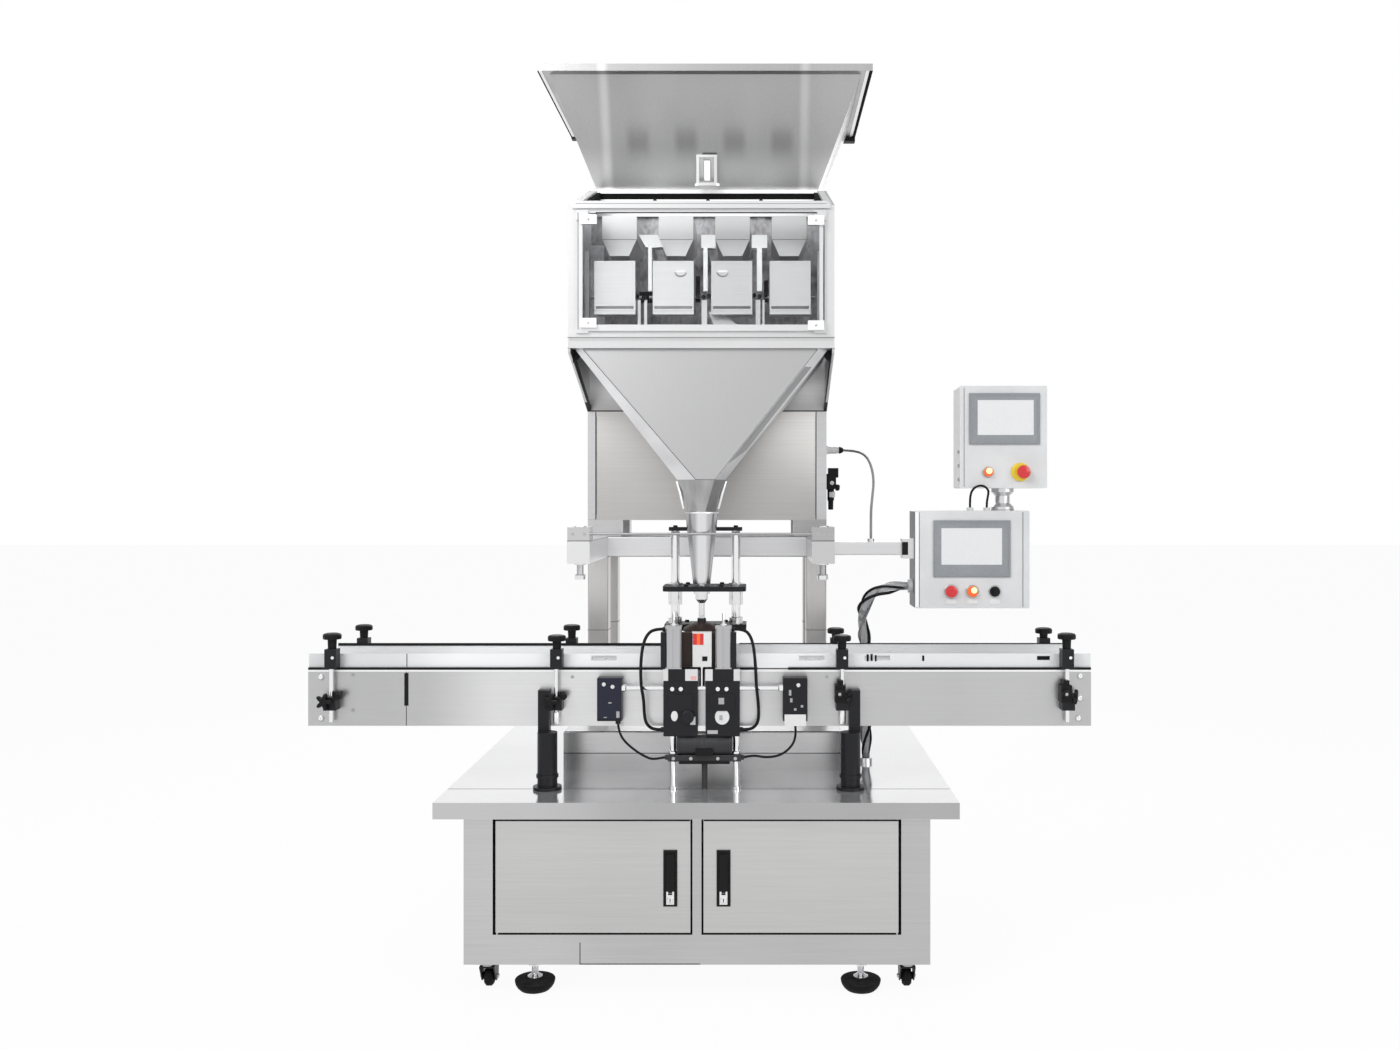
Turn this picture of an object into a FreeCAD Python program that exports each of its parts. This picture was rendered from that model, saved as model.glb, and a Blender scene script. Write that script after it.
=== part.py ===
import FreeCAD, Part
import math
import os
import Sketcher
from FreeCAD import Placement, Rotation, Vector

# Granule filling machine: linear weigher on a stand, chain conveyor, cabinet table.
# X to the right, Y to the rear, Z up. The origin is on the floor at the middle.

SIZES = {
    # Table and cabinet
    "table_width": 1270, "table_depth": 1100, "table_front": -585, "table_height": 483,
    "table_apron": 40, "table_sheet": 3,
    "cabinet_width": 1140, "cabinet_setback": 40, "cabinet_depth": 1020,
    "cabinet_bottom": 78, "cabinet_sheet": 3, "opening_return": 20, "return_sheet": 2,
    # Doors and their handles
    "door_width": 478, "door_head": 51, "door_bottom": 156, "door_depth": 18,
    "door_sheet": 2, "door_gap": 5, "door_middle": 16, "hinge_inset": 5,
    "hinge_pin_radius": 3, "hinge_fit": 0.05, "hinge_grip": 6, "hinge_block": 12,
    "handle_width": 34, "handle_height": 137, "handle_rise": 65, "handle_edge": 32,
    "handle_proud": 4, "lever_width": 20, "lever_height": 96, "lever_proud": 4,
    "lock_radius": 8, "handle_margin": 8,
    # Levelling feet and casters
    "foot_side": 166, "foot_inset": 50, "foot_radius": 50, "foot_disc": 9,
    "foot_cone": 10, "foot_neck_radius": 20, "foot_nut_radius": 13, "foot_nut": 9,
    "foot_stem_radius": 8,
    "caster_side": 52, "caster_inset": 40, "caster_plate": 60, "caster_plate_sheet": 4,
    "caster_trail": 18, "caster_neck_radius": 16, "caster_neck": 9, "fork_sheet": 3,
    "fork_length": 54, "fork_lead": 18, "fork_bridge": 4, "fork_play": 0.3,
    "wheel_radius": 24, "wheel_width": 22, "wheel_height": 30, "wheel_side_gap": 5,
    "wheel_bore_radius": 4, "axle_fit": 0.05, "hub_radius": 9, "wheel_round": 5,
    "wheel_web": 3, "wheel_rim": 4, "fork_toe": 5, "fork_spare": 20,
    # Plinth
    "plinth_width": 750, "plinth_front": -231, "plinth_depth": 636, "plinth_height": 107,
    "plinth_sheet": 3, "plinth_bend": 6,
    # Conveyor
    "conveyor_length": 2000, "conveyor_front": -405, "conveyor_width": 235,
    "plate_sheet": 5, "plate_bottom": 636, "plate_height": 148,
    "chain_width": 190, "chain_radius": 66, "slat_pitch": 38.1, "slat_thickness": 4.8,
    "slat_gap": 1.6, "slat_gap_depth": 3, "chain_end": 4,
    "sprocket_teeth": 12, "sprocket_width": 40, "sprocket_tooth": 8, "sprocket_play": 0.3,
    "shaft_radius": 15, "bearing_radius": 28, "bearing_depth": 12,
    "cross_size": 30, "cross_end": 130, "cross_count": 9, "rail_sheet": 6,
    "rail_spacing": 110, "guard_top": 820, "guard_lap": 22, "guard_sheet": 2,
    "guard_slot_left": -245, "guard_slot_middle": 287, "guard_slot_right": 454,
    "guard_slot_height": 13, "guard_slot_length": 66, "guard_slot_rise": 18,
    "post_spacing": 766, "post_y": -440, "post_radius": 25, "post_top": 627,
    "post_flange_radius": 36, "post_flange": 8, "post_ring_rise": 30, "post_ring": 8,
    "bracket_width": 28, "bracket_depth": 30, "bracket_top": 731, "bracket_foot": 60,
    # Guide clamps on the conveyor
    "end_clamp_spacing": 1870, "mid_clamp_spacing": 726, "clamp_width": 30,
    "clamp_depth": 31, "clamp_height": 50, "clamp_rod_radius": 6, "clamp_rod_bottom": 649,
    "clamp_rod_out": 16, "knob_stem_radius": 9, "knob_stem": 18, "knob_radius": 24,
    "knob_cap": 14, "knob_under": 3, "cross_clamp_width": 32, "cross_clamp_height": 34,
    "cross_clamp_bottom": 680, "star_radius": 14, "star_lobe": 7, "star_thickness": 14,
    "star_offset": 26, "hole_play": 0.05,
    # Container stops in front of the conveyor
    "stop_rod_z": 737, "stop_rod_y": -435, "stop_rod_radius": 6,
    "stop_block_left": -195, "stop_block_right": 212, "stop_block_width": 62,
    "stop_block_bottom": 655, "stop_block_height": 108, "stop_block_depth": 40,
    "carrier_left": -46, "carrier_right": 60, "carrier_width": 86, "carrier_bottom": 618,
    "carrier_height": 169, "carrier_depth": 36, "carrier_foot": 30,
    "cylinder_left": -64, "cylinder_right": 62, "cylinder_width": 40,
    "cylinder_depth": 34, "cylinder_height": 116,
    "cylinder_round": 5, "cylinder_rod_radius": 4, "cylinder_rod": 30,
    "sensor_width": 50, "sensor_depth": 26, "sensor_bottom": 792, "sensor_height": 87,
    "sensor_x": 7, "sensor_stem_radius": 6,
    "vibrator_radius": 24, "vibrator_length": 140, "vibrator_bar": 16,
    "vibrator_bar_depth": 30, "vibrator_bar_width": 184, "vibrator_bar_bottom": 554,
    "vibrator_post_radius": 7.5, "front_post_radius": 8, "front_post_spacing": 160,
    "vibrator_x": 14,
    # Filling station
    "fill_y": -285, "column_spacing": 163, "column_y": -230, "column_radius": 12,
    "station_x": 8,
    "base_plate_bottom": 863, "base_plate_sheet": 17, "base_plate_width": 219,
    "base_plate_front": -255, "base_plate_rear": -160, "base_notch_radius": 58,
    "collar_radius": 18, "collar_height": 18, "base_leg_width": 120, "base_leg_sheet": 10,
    "base_leg_bottom": 700, "top_bar_bottom": 1130, "top_bar_sheet": 10,
    "top_bar_depth": 26, "top_bar_width": 197,
    "slide_plate_bottom": 973, "slide_plate_sheet": 13, "slide_plate_width": 219,
    "slide_plate_front": -330, "slide_plate_rear": -205, "bushing_radius": 18,
    "bushing_height": 41, "slide_fit": 0.08, "sleeve_radius": 16.5, "sleeve_sheet": 1.7,
    "sleeve_bottom": 950, "tube_radius": 8, "tube_bore": 6, "tube_cone": 10,
    "dome_radius": 50, "dome_height": 24, "dome_bottom": 866, "dome_sheet": 3,
    "dome_edge": 8,
    # Stand
    "tube": 60, "stand_width": 700, "stand_front": 65, "stand_rear": 375,
    "beam_bottom": 1046, "arm_front": -335, "pad_width": 58, "pad_depth": 70,
    "arm_pad_height": 36, "foot_pad_width": 97, "foot_pad_height": 48,
    "pad_bolt_radius": 9, "pad_bolt": 30, "pad_cap_radius": 14, "pad_cap": 12,
    "tie_rod_radius": 3, "tie_rod_rise": 18, "tube_round": 4,
    # Weigher
    "cabinet_box_height": 320, "panel_left": -326, "panel_right": 319, "panel_inset": 3,
    "panel_margin": 14, "base_box_height": 138, "weigher_front": -315,
    "gusset_sheet": 6, "floor_sheet": 26, "weigher_rear": 390, "housing_front": 85,
    "weigher_front_top": 1988, "weigher_rear_top": 2124, "wall_sheet": 6,
    "frame_sheet": 3, "window_half": 322, "window_bottom": 1657, "window_top": 1967,
    "window_sheet": 5, "window_lap": 8, "clip_width": 26, "clip_height": 20,
    "clip_depth": 8, "floor_hole_half": 325, "floor_hole_front": -300, "floor_hole_rear": 50,
    "head_pitch": 157, "head_count": 4, "pan_front": -130, "pan_width": 96,
    "pan_foot": 53, "pan_top": 2001, "pan_waist": 1936, "pan_bottom": 1890,
    "pan_sheet": 3, "bucket_width": 110, "bucket_front": -240, "bucket_depth": 110,
    "bucket_top": 1855, "bucket_bottom": 1734, "bucket_lip": 14, "bucket_sheet": 2,
    "hanger_sheet": 12, "hanger_bottom": 1700, "hanger_top": 1760, "hanger_post": 20,
    "hanger_post_top": 1890, "hinge_rod_radius": 5, "hinge_rod_z": 1745,
    "chute_rise": 60, "chute_run": 105, "chute_sheet": 3,
    # Hopper
    "hopper_half": 442, "hopper_front": -55, "hopper_rear": 555, "hopper_top": 2420,
    "hopper_foot_half": 325, "hopper_sheet": 3, "rim_width": 30, "rim_height": 20,
    "gate_width": 62, "gate_high": 2217, "gate_sheet": 8,
    "gate_slot_width": 22, "gate_slot_height": 70,
    # Funnel
    "funnel_half": 335, "funnel_front": -305, "funnel_rear": 55, "funnel_square": 127,
    "funnel_square_z": 1266, "funnel_round_z": 1180, "funnel_round": 44, "funnel_sheet": 2,
    "outlet_radius": 23, "outlet_bottom": 991, "spout_radius": 13, "spout_bottom": 956,
    "spout_sheet": 2,
    # Control arm and boxes
    "arm_tube": 35, "arm_bottom": 1068, "arm_reach": 178, "arm_y": -300,
    "joint_block": 52, "joint_length": 31, "box_front": -335, "box_depth": 105,
    "lower_box_left": 559, "lower_box_width": 299, "lower_box_bottom": 930,
    "lower_box_height": 255, "upper_box_left": 676, "upper_box_width": 228,
    "upper_box_bottom": 1244, "upper_box_height": 267, "box_round": 4, "lid_depth": 12,
    "lid_groove": 2, "post_x": 794, "control_post_radius": 19, "cup_radius": 29.5,
    "cup_height": 20, "bezel_width": 196, "bezel_height": 146, "bezel_sheet": 5,
    "display_width": 154, "display_height": 90, "display_deep": 2, "bezel_drop": 20,
    "upper_bezel_width": 178, "upper_bezel_height": 128, "upper_bezel_drop": 26,
    "button_radius": 15, "button_ring": 3, "button_crown": 3, "stop_ring": 5,
    "button_ring_radius": 19, "button_rise": 44, "button_proud": 12,
    "button_pitch": 56, "stop_radius": 17, "stop_proud": 22, "lamp_radius": 13,
    "upper_button_rise": 42, "upper_button_pitch": 88,
    # Air regulator and plug
    "regulator_y": 95, "regulator_block": 40, "regulator_bottom": 1245,
    "regulator_bowl_radius": 16, "regulator_bowl": 62, "bowl_taper": 10, "regulator_knob_radius": 15,
    "regulator_knob": 24, "plug_z": 1360, "plug_radius": 12, "plug_length": 30,
    "plug_nut_radius": 15, "plug_nut": 10,
    # Cords, with the glands and fittings that they end in
    "sensor_cord": 7, "link_cord": 6, "panel_cord": 22, "air_cord": 8, "block_cord": 6,
    "gland_radius": 9, "gland_height": 8, "hose_gland_radius": 18, "hose_gland": 12,
    "fitting_radius": 6.5, "fitting": 8, "fitting_drop": 17, "hose_exit": 55, "hose_landing": 14,
    "hose_table_x": 450, "hose_table_y": -110, "cord_landing": 97, "link_spacing": 44,
    "link_start": 706, "link_inset": 20, "block_cord_inset": 10,
}

doc = FreeCAD.newDocument("granule_filling_machine")


class Term:
    """A size of the machine together with the sheet expression that gives it."""

    def __init__(self, text, value):
        self.text = text
        self.value = value

    def __add__(self, other):
        other = term(other)
        return Term(f"({self.text} + {other.text})", self.value + other.value)

    def __radd__(self, other):
        return term(other) + self

    def __sub__(self, other):
        other = term(other)
        return Term(f"({self.text} - {other.text})", self.value - other.value)

    def __rsub__(self, other):
        return term(other) - self

    def __mul__(self, other):
        other = term(other)
        return Term(f"({self.text} * {other.text})", self.value * other.value)

    def __rmul__(self, other):
        return term(other) * self

    def __truediv__(self, other):
        other = term(other)
        return Term(f"({self.text} / {other.text})", self.value / other.value)

    def __neg__(self):
        return 0 - self


def term(value):
    """A plain number as a term, or the term itself."""
    if isinstance(value, Term):
        return value
    return Term(f"{float(value):.6g}", float(value))


class Sheet:
    """The spreadsheet of driving sizes, read by name."""

    def __init__(self, sizes):
        self.cells = doc.addObject("Spreadsheet::Sheet", "sizes")
        self.values = sizes
        for row, (name, value) in enumerate(sizes.items(), 1):
            self.cells.set(f"A{row}", name)
            self.cells.set(f"B{row}", str(value))
            self.cells.setAlias(f"B{row}", name)

    def __getattr__(self, name):
        return Term(f"sizes.{name}", float(self.values[name]))


s = Sheet(SIZES)
doc.recompute()

NODES = {}
AXIS_TURN = {
    "x": Rotation(Vector(0, 1, 0), 90),
    "y": Rotation(Vector(1, 0, 0), -90),
    "z": Rotation(),
}


def keep(label, piece):
    """Name a finished sub-part and list it for writing."""
    piece.Label = label
    NODES[label] = piece
    return piece


def slab(name, x, y, z):
    """A block between pairs of faces, each pair given as low and high."""
    block = doc.addObject("Part::Box", name)
    for side, edge, (low, high) in zip(("Length", "Width", "Height"), "xyz", (x, y, z)):
        low, high = term(low), term(high)
        block.setExpression(side, (high - low).text)
        block.setExpression(f"Placement.Base.{edge}", low.text)
    return block


def rod(name, axis, radius, start, length, end_radius=None):
    """A round bar or cone from a start point along X, Y or Z."""
    if end_radius is None:
        bar = doc.addObject("Part::Cylinder", name)
        bar.setExpression("Radius", term(radius).text)
    else:
        bar = doc.addObject("Part::Cone", name)
        bar.setExpression("Radius1", term(radius).text)
        bar.setExpression("Radius2", term(end_radius).text)
    bar.setExpression("Height", term(length).text)
    bar.Placement = Placement(Vector(), AXIS_TURN[axis])
    for edge, place in zip("xyz", start):
        bar.setExpression(f"Placement.Base.{edge}", term(place).text)
    return bar


def group(name, pieces):
    """Like pieces that don't touch, as one object."""
    compound = doc.addObject("Part::Compound", name)
    compound.Links = list(pieces)
    return compound


def fuse(name, pieces):
    """Pieces joined into one solid."""
    joined = doc.addObject("Part::MultiFuse", name)
    joined.Shapes = list(pieces)
    joined.Refine = True
    return joined


def cut(name, base, tools):
    """A base with one or more tools taken out of it."""
    tools = list(tools)
    result = doc.addObject("Part::Cut", name)
    result.Base = base
    result.Tool = tools[0] if len(tools) == 1 else fuse(name + "_tools", tools)
    result.Refine = True
    return result


def new_body(name):
    """An empty PartDesign body."""
    return doc.addObject("PartDesign::Body", name)


def origin_feature(body, role):
    """An origin plane or axis of a body, by its role."""
    return next(item for item in body.Origin.OriginFeatures if item.Role == role)


def draw(body, role, height, outlines=(), circles=(), base=(0, 0)):
    """A sketch at a height from an origin plane, bound to the sheet point by point."""
    sketch = body.newObject("Sketcher::SketchObject", body.Name + "_sketch")
    sketch.AttachmentSupport = (origin_feature(body, role), [""])
    sketch.MapMode = "FlatFace"
    offset = -term(height) if role == "XZ_Plane" else term(height)
    sketch.setExpression("AttachmentOffset.Base.x", term(base[0]).text)
    sketch.setExpression("AttachmentOffset.Base.y", term(base[1]).text)
    sketch.setExpression("AttachmentOffset.Base.z", offset.text)
    for outline in outlines:
        corners = [(term(u), term(v)) for u, v in outline]
        first = sketch.GeometryCount
        for (u0, v0), (u1, v1) in zip(corners, corners[1:] + corners[:1]):
            sketch.addGeometry(Part.LineSegment(Vector(u0.value, v0.value, 0),
                                                Vector(u1.value, v1.value, 0)))
        for step, (u, v) in enumerate(corners):
            line = first + step
            after = first + (step + 1) % len(corners)
            sketch.addConstraint(Sketcher.Constraint("Coincident", line, 2, after, 1))
            pin_point(sketch, line, 1, u, v)
    for u, v, radius in circles:
        u, v, radius = term(u), term(v), term(radius)
        ring = sketch.addGeometry(Part.Circle(Vector(u.value, v.value, 0), Vector(0, 0, 1),
                                              radius.value))
        pin_point(sketch, ring, 3, u, v)
        row = sketch.addConstraint(Sketcher.Constraint("Radius", ring, radius.value))
        sketch.setExpression(f"Constraints[{row}]", radius.text)
    return sketch


def pin_point(sketch, item, end, u, v):
    """Hold one point of a sketch at its place from the sketch's origin."""
    for kind, place in (("DistanceX", u), ("DistanceY", v)):
        row = sketch.addConstraint(Sketcher.Constraint(kind, -1, 1, item, end, place.value))
        sketch.setExpression(f"Constraints[{row}]", place.text)


def extrude(body, role, span, outlines=(), circles=(), kind="Pad", base=(0, 0)):
    """Pad or pocket outlines between two heights over an origin plane."""
    low, high = term(span[0]), term(span[1])
    sketch = draw(body, role, low, outlines, circles, base)
    feature = body.newObject(f"PartDesign::{kind}", f"{body.Name}_{kind.lower()}")
    feature.Profile = sketch
    feature.setExpression("Length", (high - low).text)
    backwards = role == "XZ_Plane"
    feature.Reversed = backwards if kind == "Pad" else not backwards
    return feature


def rectangle(u, v):
    """The corners of a rectangle from its low and high sides."""
    return [(u[0], v[0]), (u[1], v[0]), (u[1], v[1]), (u[0], v[1])]


def turned(name, points, place):
    """A turned piece: a profile of radius and height, spun about a vertical axis."""
    body = new_body(name)
    sketch = draw(body, "XZ_Plane", 0, [points])
    feature = body.newObject("PartDesign::Revolution", name + "_turn")
    feature.Profile = sketch
    feature.ReferenceAxis = (origin_feature(body, "Z_Axis"), [""])
    feature.Angle = 360
    put(body, place)
    return body


def put(piece, place):
    """Bind the place of a piece to the sheet."""
    for edge, value in zip("xyz", place):
        piece.setExpression(f"Placement.Base.{edge}", term(value).text)


def round_edges(body, radius, test, kind="Fillet"):
    """Fillet or chamfer those edges of the last feature that the test picks."""
    doc.recompute()
    base = body.Tip
    names = [f"Edge{row}" for row, edge in enumerate(base.Shape.Edges, 1) if test(edge)]
    feature = body.newObject(f"PartDesign::{kind}", f"{body.Name}_{kind.lower()}")
    feature.Base = (base, names)
    feature.setExpression("Radius" if kind == "Fillet" else "Size", term(radius).text)
    return feature


def runs_along(edge, axis):
    """True for a straight edge along X, Y or Z."""
    if edge.Curve.TypeId != "Part::GeomLine":
        return False
    direction = edge.Curve.Direction
    return abs(getattr(direction, axis)) > 0.999


# Table and cabinet

CABINET_FRONT = s.table_front + s.cabinet_setback
CABINET_REAR = CABINET_FRONT + s.cabinet_depth
CABINET_TOP = s.table_height - s.table_sheet
DOOR_TOP = s.table_height - s.door_head
DOOR_OUTER = s.door_middle + s.door_width
SIDES = {"left": -1, "right": 1}


def mirrored(side, low, high):
    """A pair of X places on the right, or its mirror on the left."""
    low, high = term(low), term(high)
    return (low, high) if side > 0 else (-high, -low)


def make_table_top():
    """A folded sheet with its edges turned down."""
    body = new_body("table_top")
    half = s.table_width / 2
    rear = s.table_front + s.table_depth
    low = s.table_height - s.table_apron
    extrude(body, "XY_Plane", (low, s.table_height),
            [rectangle((-half, half), (s.table_front, rear))])
    inner = half - s.table_sheet
    extrude(body, "XY_Plane", (low, CABINET_TOP),
            [rectangle((-inner, inner), (s.table_front + s.table_sheet, rear - s.table_sheet))],
            kind="Pocket")
    gland = rod("table_gland", "z", s.hose_gland_radius,
                (s.hose_table_x, s.hose_table_y, s.table_height), s.hose_gland)
    keep("table_top", fuse("table_top", [body, gland]))


def make_cabinet_shell():
    """Sides, back and floor folded from sheet, with the caster plates under the floor."""
    body = new_body("cabinet_wrap")
    half = s.cabinet_width / 2
    sheet = s.cabinet_sheet
    front = CABINET_FRONT + sheet
    extrude(body, "XY_Plane", (s.cabinet_bottom, CABINET_TOP),
            [rectangle((-half, half), (front, CABINET_REAR))])
    extrude(body, "XY_Plane", (s.cabinet_bottom + sheet, CABINET_TOP),
            [rectangle((-half + sheet, half - sheet), (front, CABINET_REAR - sheet))],
            kind="Pocket")
    plates = []
    half_plate = s.caster_plate / 2
    for x, y in corner_places(s.caster_side, s.caster_inset):
        plates.append(slab("caster_plate", (x - half_plate, x + half_plate),
                           (y - half_plate, y + half_plate),
                           (s.cabinet_bottom - s.caster_plate_sheet, s.cabinet_bottom)))
    keep("cabinet_shell", fuse("cabinet_shell", [body] + plates))


def corner_places(side, inset):
    """The four corner places under the cabinet: front left, front right, rear left, rear right."""
    x = s.cabinet_width / 2 - side
    front = CABINET_FRONT + inset
    rear = CABINET_REAR - inset
    return [(-x, front), (x, front), (-x, rear), (x, rear)]


def door_opening(side, spare=0):
    """The outline of one door's opening, seen from the front."""
    gap = s.door_gap + spare
    x = mirrored(side, s.door_middle - gap, DOOR_OUTER + gap)
    return rectangle(x, (s.door_bottom - gap, DOOR_TOP + gap))


def hinge_place(side):
    """X and Y of a door's upright hinge line."""
    return (DOOR_OUTER - s.hinge_inset) * side, CABINET_FRONT + s.hinge_inset


def make_cabinet_front():
    """The front sheet with its two openings, their turned-in edges and the hinge pins."""
    body = new_body("cabinet_face")
    half = s.cabinet_width / 2
    openings = [door_opening(side) for side in SIDES.values()]
    extrude(body, "XZ_Plane", (CABINET_FRONT, CABINET_FRONT + s.cabinet_sheet),
            [rectangle((-half, half), (s.cabinet_bottom, CABINET_TOP))] + openings)
    for side, opening in zip(SIDES.values(), openings):
        extrude(body, "XZ_Plane", (CABINET_FRONT, CABINET_FRONT + s.opening_return),
                [door_opening(side, s.return_sheet), opening])
    pins = []
    reach = s.door_gap + s.hinge_grip
    for side in SIDES.values():
        x, y = hinge_place(side)
        for low in (s.door_bottom - s.door_gap, DOOR_TOP + s.door_gap - reach):
            pins.append(rod("hinge_pin", "z", s.hinge_pin_radius, (x, y, low), reach))
    keep("cabinet_front", fuse("cabinet_front", [body] + pins))


def make_doors():
    """Pan doors that turn on pins at their outer edges, each with its handle."""
    for name, side in SIDES.items():
        body = new_body(name + "_door_pan")
        face = CABINET_FRONT
        rear = face + s.door_depth
        extrude(body, "XZ_Plane", (face, rear),
                [rectangle(mirrored(side, s.door_middle, DOOR_OUTER), (s.door_bottom, DOOR_TOP))])
        edge_x = (DOOR_OUTER * side).value
        round_edges(body, s.hinge_inset, lambda edge: runs_along(edge, "z")
                    and abs(edge.CenterOfMass.x - edge_x) < 0.1
                    and abs(edge.CenterOfMass.y - face.value) < 0.1)
        sheet = s.door_sheet
        hollow = mirrored(side, s.door_middle + sheet, DOOR_OUTER - s.hinge_block)
        extrude(body, "XZ_Plane", (face + sheet, rear),
                [rectangle(hollow, (s.door_bottom + sheet, DOOR_TOP - sheet))], kind="Pocket")
        x, y = hinge_place(side)
        radius = s.hinge_pin_radius + s.hinge_fit
        extrude(body, "XY_Plane", (s.door_bottom, DOOR_TOP), circles=[(x, y, radius)],
                kind="Pocket")
        keep(name + "_door", body)
        make_handle(name, side)


def make_handle(name, side):
    """A black plate with a pull lever in it and a lock below the lever."""
    body = new_body(name + "_handle_plate")
    low = s.door_bottom + s.handle_rise
    high = low + s.handle_height
    inner = s.door_middle + s.handle_edge
    face = CABINET_FRONT
    front = face - s.handle_proud
    extrude(body, "XZ_Plane", (front, face),
            [rectangle(mirrored(side, inner, inner + s.handle_width), (low, high))])
    round_edges(body, s.handle_proud / 2, lambda edge: runs_along(edge, "y"))
    middle = inner + s.handle_width / 2
    lever = mirrored(side, middle - s.lever_width / 2, middle + s.lever_width / 2)
    top = high - s.handle_margin
    extrude(body, "XZ_Plane", (front - s.lever_proud, front),
            [rectangle(lever, (top - s.lever_height, top))])
    extrude(body, "XZ_Plane", (front - s.lever_proud, front),
            circles=[(middle * side, low + s.handle_margin + s.lock_radius, s.lock_radius)])
    keep(name + "_door_handle", body)


def make_levelling_feet():
    """Four round feet with stems up to the cabinet's floor."""
    disc, cone = s.foot_disc, s.foot_disc + s.foot_cone
    nut = cone + s.foot_nut
    profile = [(0, 0), (s.foot_radius, 0), (s.foot_radius, disc), (s.foot_neck_radius, cone),
               (s.foot_nut_radius, cone), (s.foot_nut_radius, nut), (s.foot_stem_radius, nut),
               (s.foot_stem_radius, s.cabinet_bottom), (0, s.cabinet_bottom)]
    feet = [turned("foot", profile, (x, y, 0))
            for x, y in corner_places(s.foot_side, s.foot_inset)]
    keep("levelling_feet", group("levelling_feet", feet))


def make_casters():
    """Four swivel forks and their wheels, hung just clear of the floor."""
    names = ["front_left", "front_right", "rear_left", "rear_right"]
    top = s.cabinet_bottom - s.caster_plate_sheet - s.fork_play
    bridge_top = top - s.caster_neck
    bridge_low = bridge_top - s.fork_bridge
    half_in = s.wheel_width / 2 + s.wheel_side_gap
    half_out = half_in + s.fork_sheet
    for name, (x, y) in zip(names, corner_places(s.caster_side, s.caster_inset)):
        wheel_y = y + s.caster_trail
        legs = new_body("fork_" + name)
        radius = s.caster_neck_radius
        lead = y - s.fork_lead
        outline = [(lead, bridge_top), (lead, bridge_low),
                   (wheel_y - s.hub_radius, s.wheel_height - s.hub_radius),
                   (wheel_y + s.hub_radius, s.wheel_height - s.hub_radius),
                   (wheel_y + s.hub_radius + s.fork_toe, s.wheel_height),
                   (lead + s.fork_length, bridge_low),
                   (lead + s.fork_length, bridge_top)]
        extrude(legs, "YZ_Plane", (x - half_out, x + half_out), [outline])
        rear = wheel_y + s.wheel_radius + s.fork_spare
        front = lead - s.fork_spare
        open_side = rectangle((front, rear), (0, bridge_low))
        extrude(legs, "YZ_Plane", (x - half_in, x + half_in), [open_side], kind="Pocket")
        neck = rod("caster_neck", "z", radius, (x, y, bridge_top), s.caster_neck)
        axle = rod("caster_axle", "x", s.wheel_bore_radius - s.axle_fit,
                   (x - half_out, wheel_y, s.wheel_height), half_out * 2)
        keep("caster_fork_" + name, fuse("caster_fork_" + name, [legs, neck, axle]))
        keep("caster_wheel_" + name, caster_wheel("wheel_" + name, (x, wheel_y, s.wheel_height)))


def caster_wheel(name, place):
    """A wheel with rounded tread, a hub that nearly fills its fork and a bore for the axle."""
    body = new_body(name)
    half, bore = s.wheel_width / 2, s.wheel_bore_radius
    hub_half = half + s.wheel_side_gap - s.fork_play
    web, step = half - s.wheel_web, s.wheel_rim
    rim = s.wheel_radius - s.wheel_round
    profile = [(bore, -hub_half), (s.hub_radius, -hub_half), (s.hub_radius, -web),
               (rim - step, -web), (rim - step, -half), (rim, -half),
               (s.wheel_radius, -half + s.wheel_round), (s.wheel_radius, half - s.wheel_round),
               (rim, half), (rim - step, half), (rim - step, web), (s.hub_radius, web),
               (s.hub_radius, hub_half), (bore, hub_half)]
    sketch = draw(body, "XZ_Plane", 0, [profile])
    feature = body.newObject("PartDesign::Revolution", name + "_turn")
    feature.Profile = sketch
    feature.ReferenceAxis = (origin_feature(body, "Z_Axis"), [""])
    feature.Angle = 360
    body.Placement = Placement(Vector(), AXIS_TURN["x"])
    put(body, place)
    return body


def make_plinth():
    """The folded cover on the table that carries the stand."""
    body = new_body("plinth")
    half = s.plinth_width / 2
    front, rear = s.plinth_front, s.plinth_front + s.plinth_depth
    top = s.table_height + s.plinth_height
    extrude(body, "XY_Plane", (s.table_height, top), [rectangle((-half, half), (front, rear))])
    round_edges(body, s.plinth_bend,
                lambda edge: not runs_along(edge, "z") and edge.CenterOfMass.z > top.value - 0.1)
    sheet = s.plinth_sheet
    inside = [rectangle((-half + sheet, half - sheet), (front + sheet, rear - sheet))]
    extrude(body, "XY_Plane", (s.table_height, top - s.plinth_bend), inside, kind="Pocket")
    keep("plinth", body)


make_table_top()
make_cabinet_shell()
make_cabinet_front()
make_doors()
make_levelling_feet()
make_casters()
make_plinth()

# Conveyor

CONVEYOR_REAR = s.conveyor_front + s.conveyor_width
PLATE_TOP = s.plate_bottom + s.plate_height
FRONT_INSIDE = s.conveyor_front + s.plate_sheet
REAR_INSIDE = CONVEYOR_REAR - s.plate_sheet
CHAIN_Y = (s.conveyor_front + CONVEYOR_REAR) / 2
CHAIN_Z = PLATE_TOP - s.chain_radius
SPROCKET_X = s.conveyor_length / 2 - s.chain_radius - s.chain_end
CHAIN_SPAN = (CHAIN_Y - s.chain_width / 2, CHAIN_Y + s.chain_width / 2)
SLAT_TURN = math.degrees(s.slat_pitch.value / s.chain_radius.value)


def make_side_plates():
    """The two long plates that carry the chain between them."""
    half = s.conveyor_length / 2
    plates = []
    for name, low in (("front", s.conveyor_front), ("rear", REAR_INSIDE)):
        body = new_body(f"{name}_plate")
        extrude(body, "XZ_Plane", (low, low + s.plate_sheet),
                [rectangle((-half, half), (s.plate_bottom, PLATE_TOP))])
        plates.append(body)
    keep("conveyor_side_plates", group("conveyor_side_plates", plates))


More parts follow.
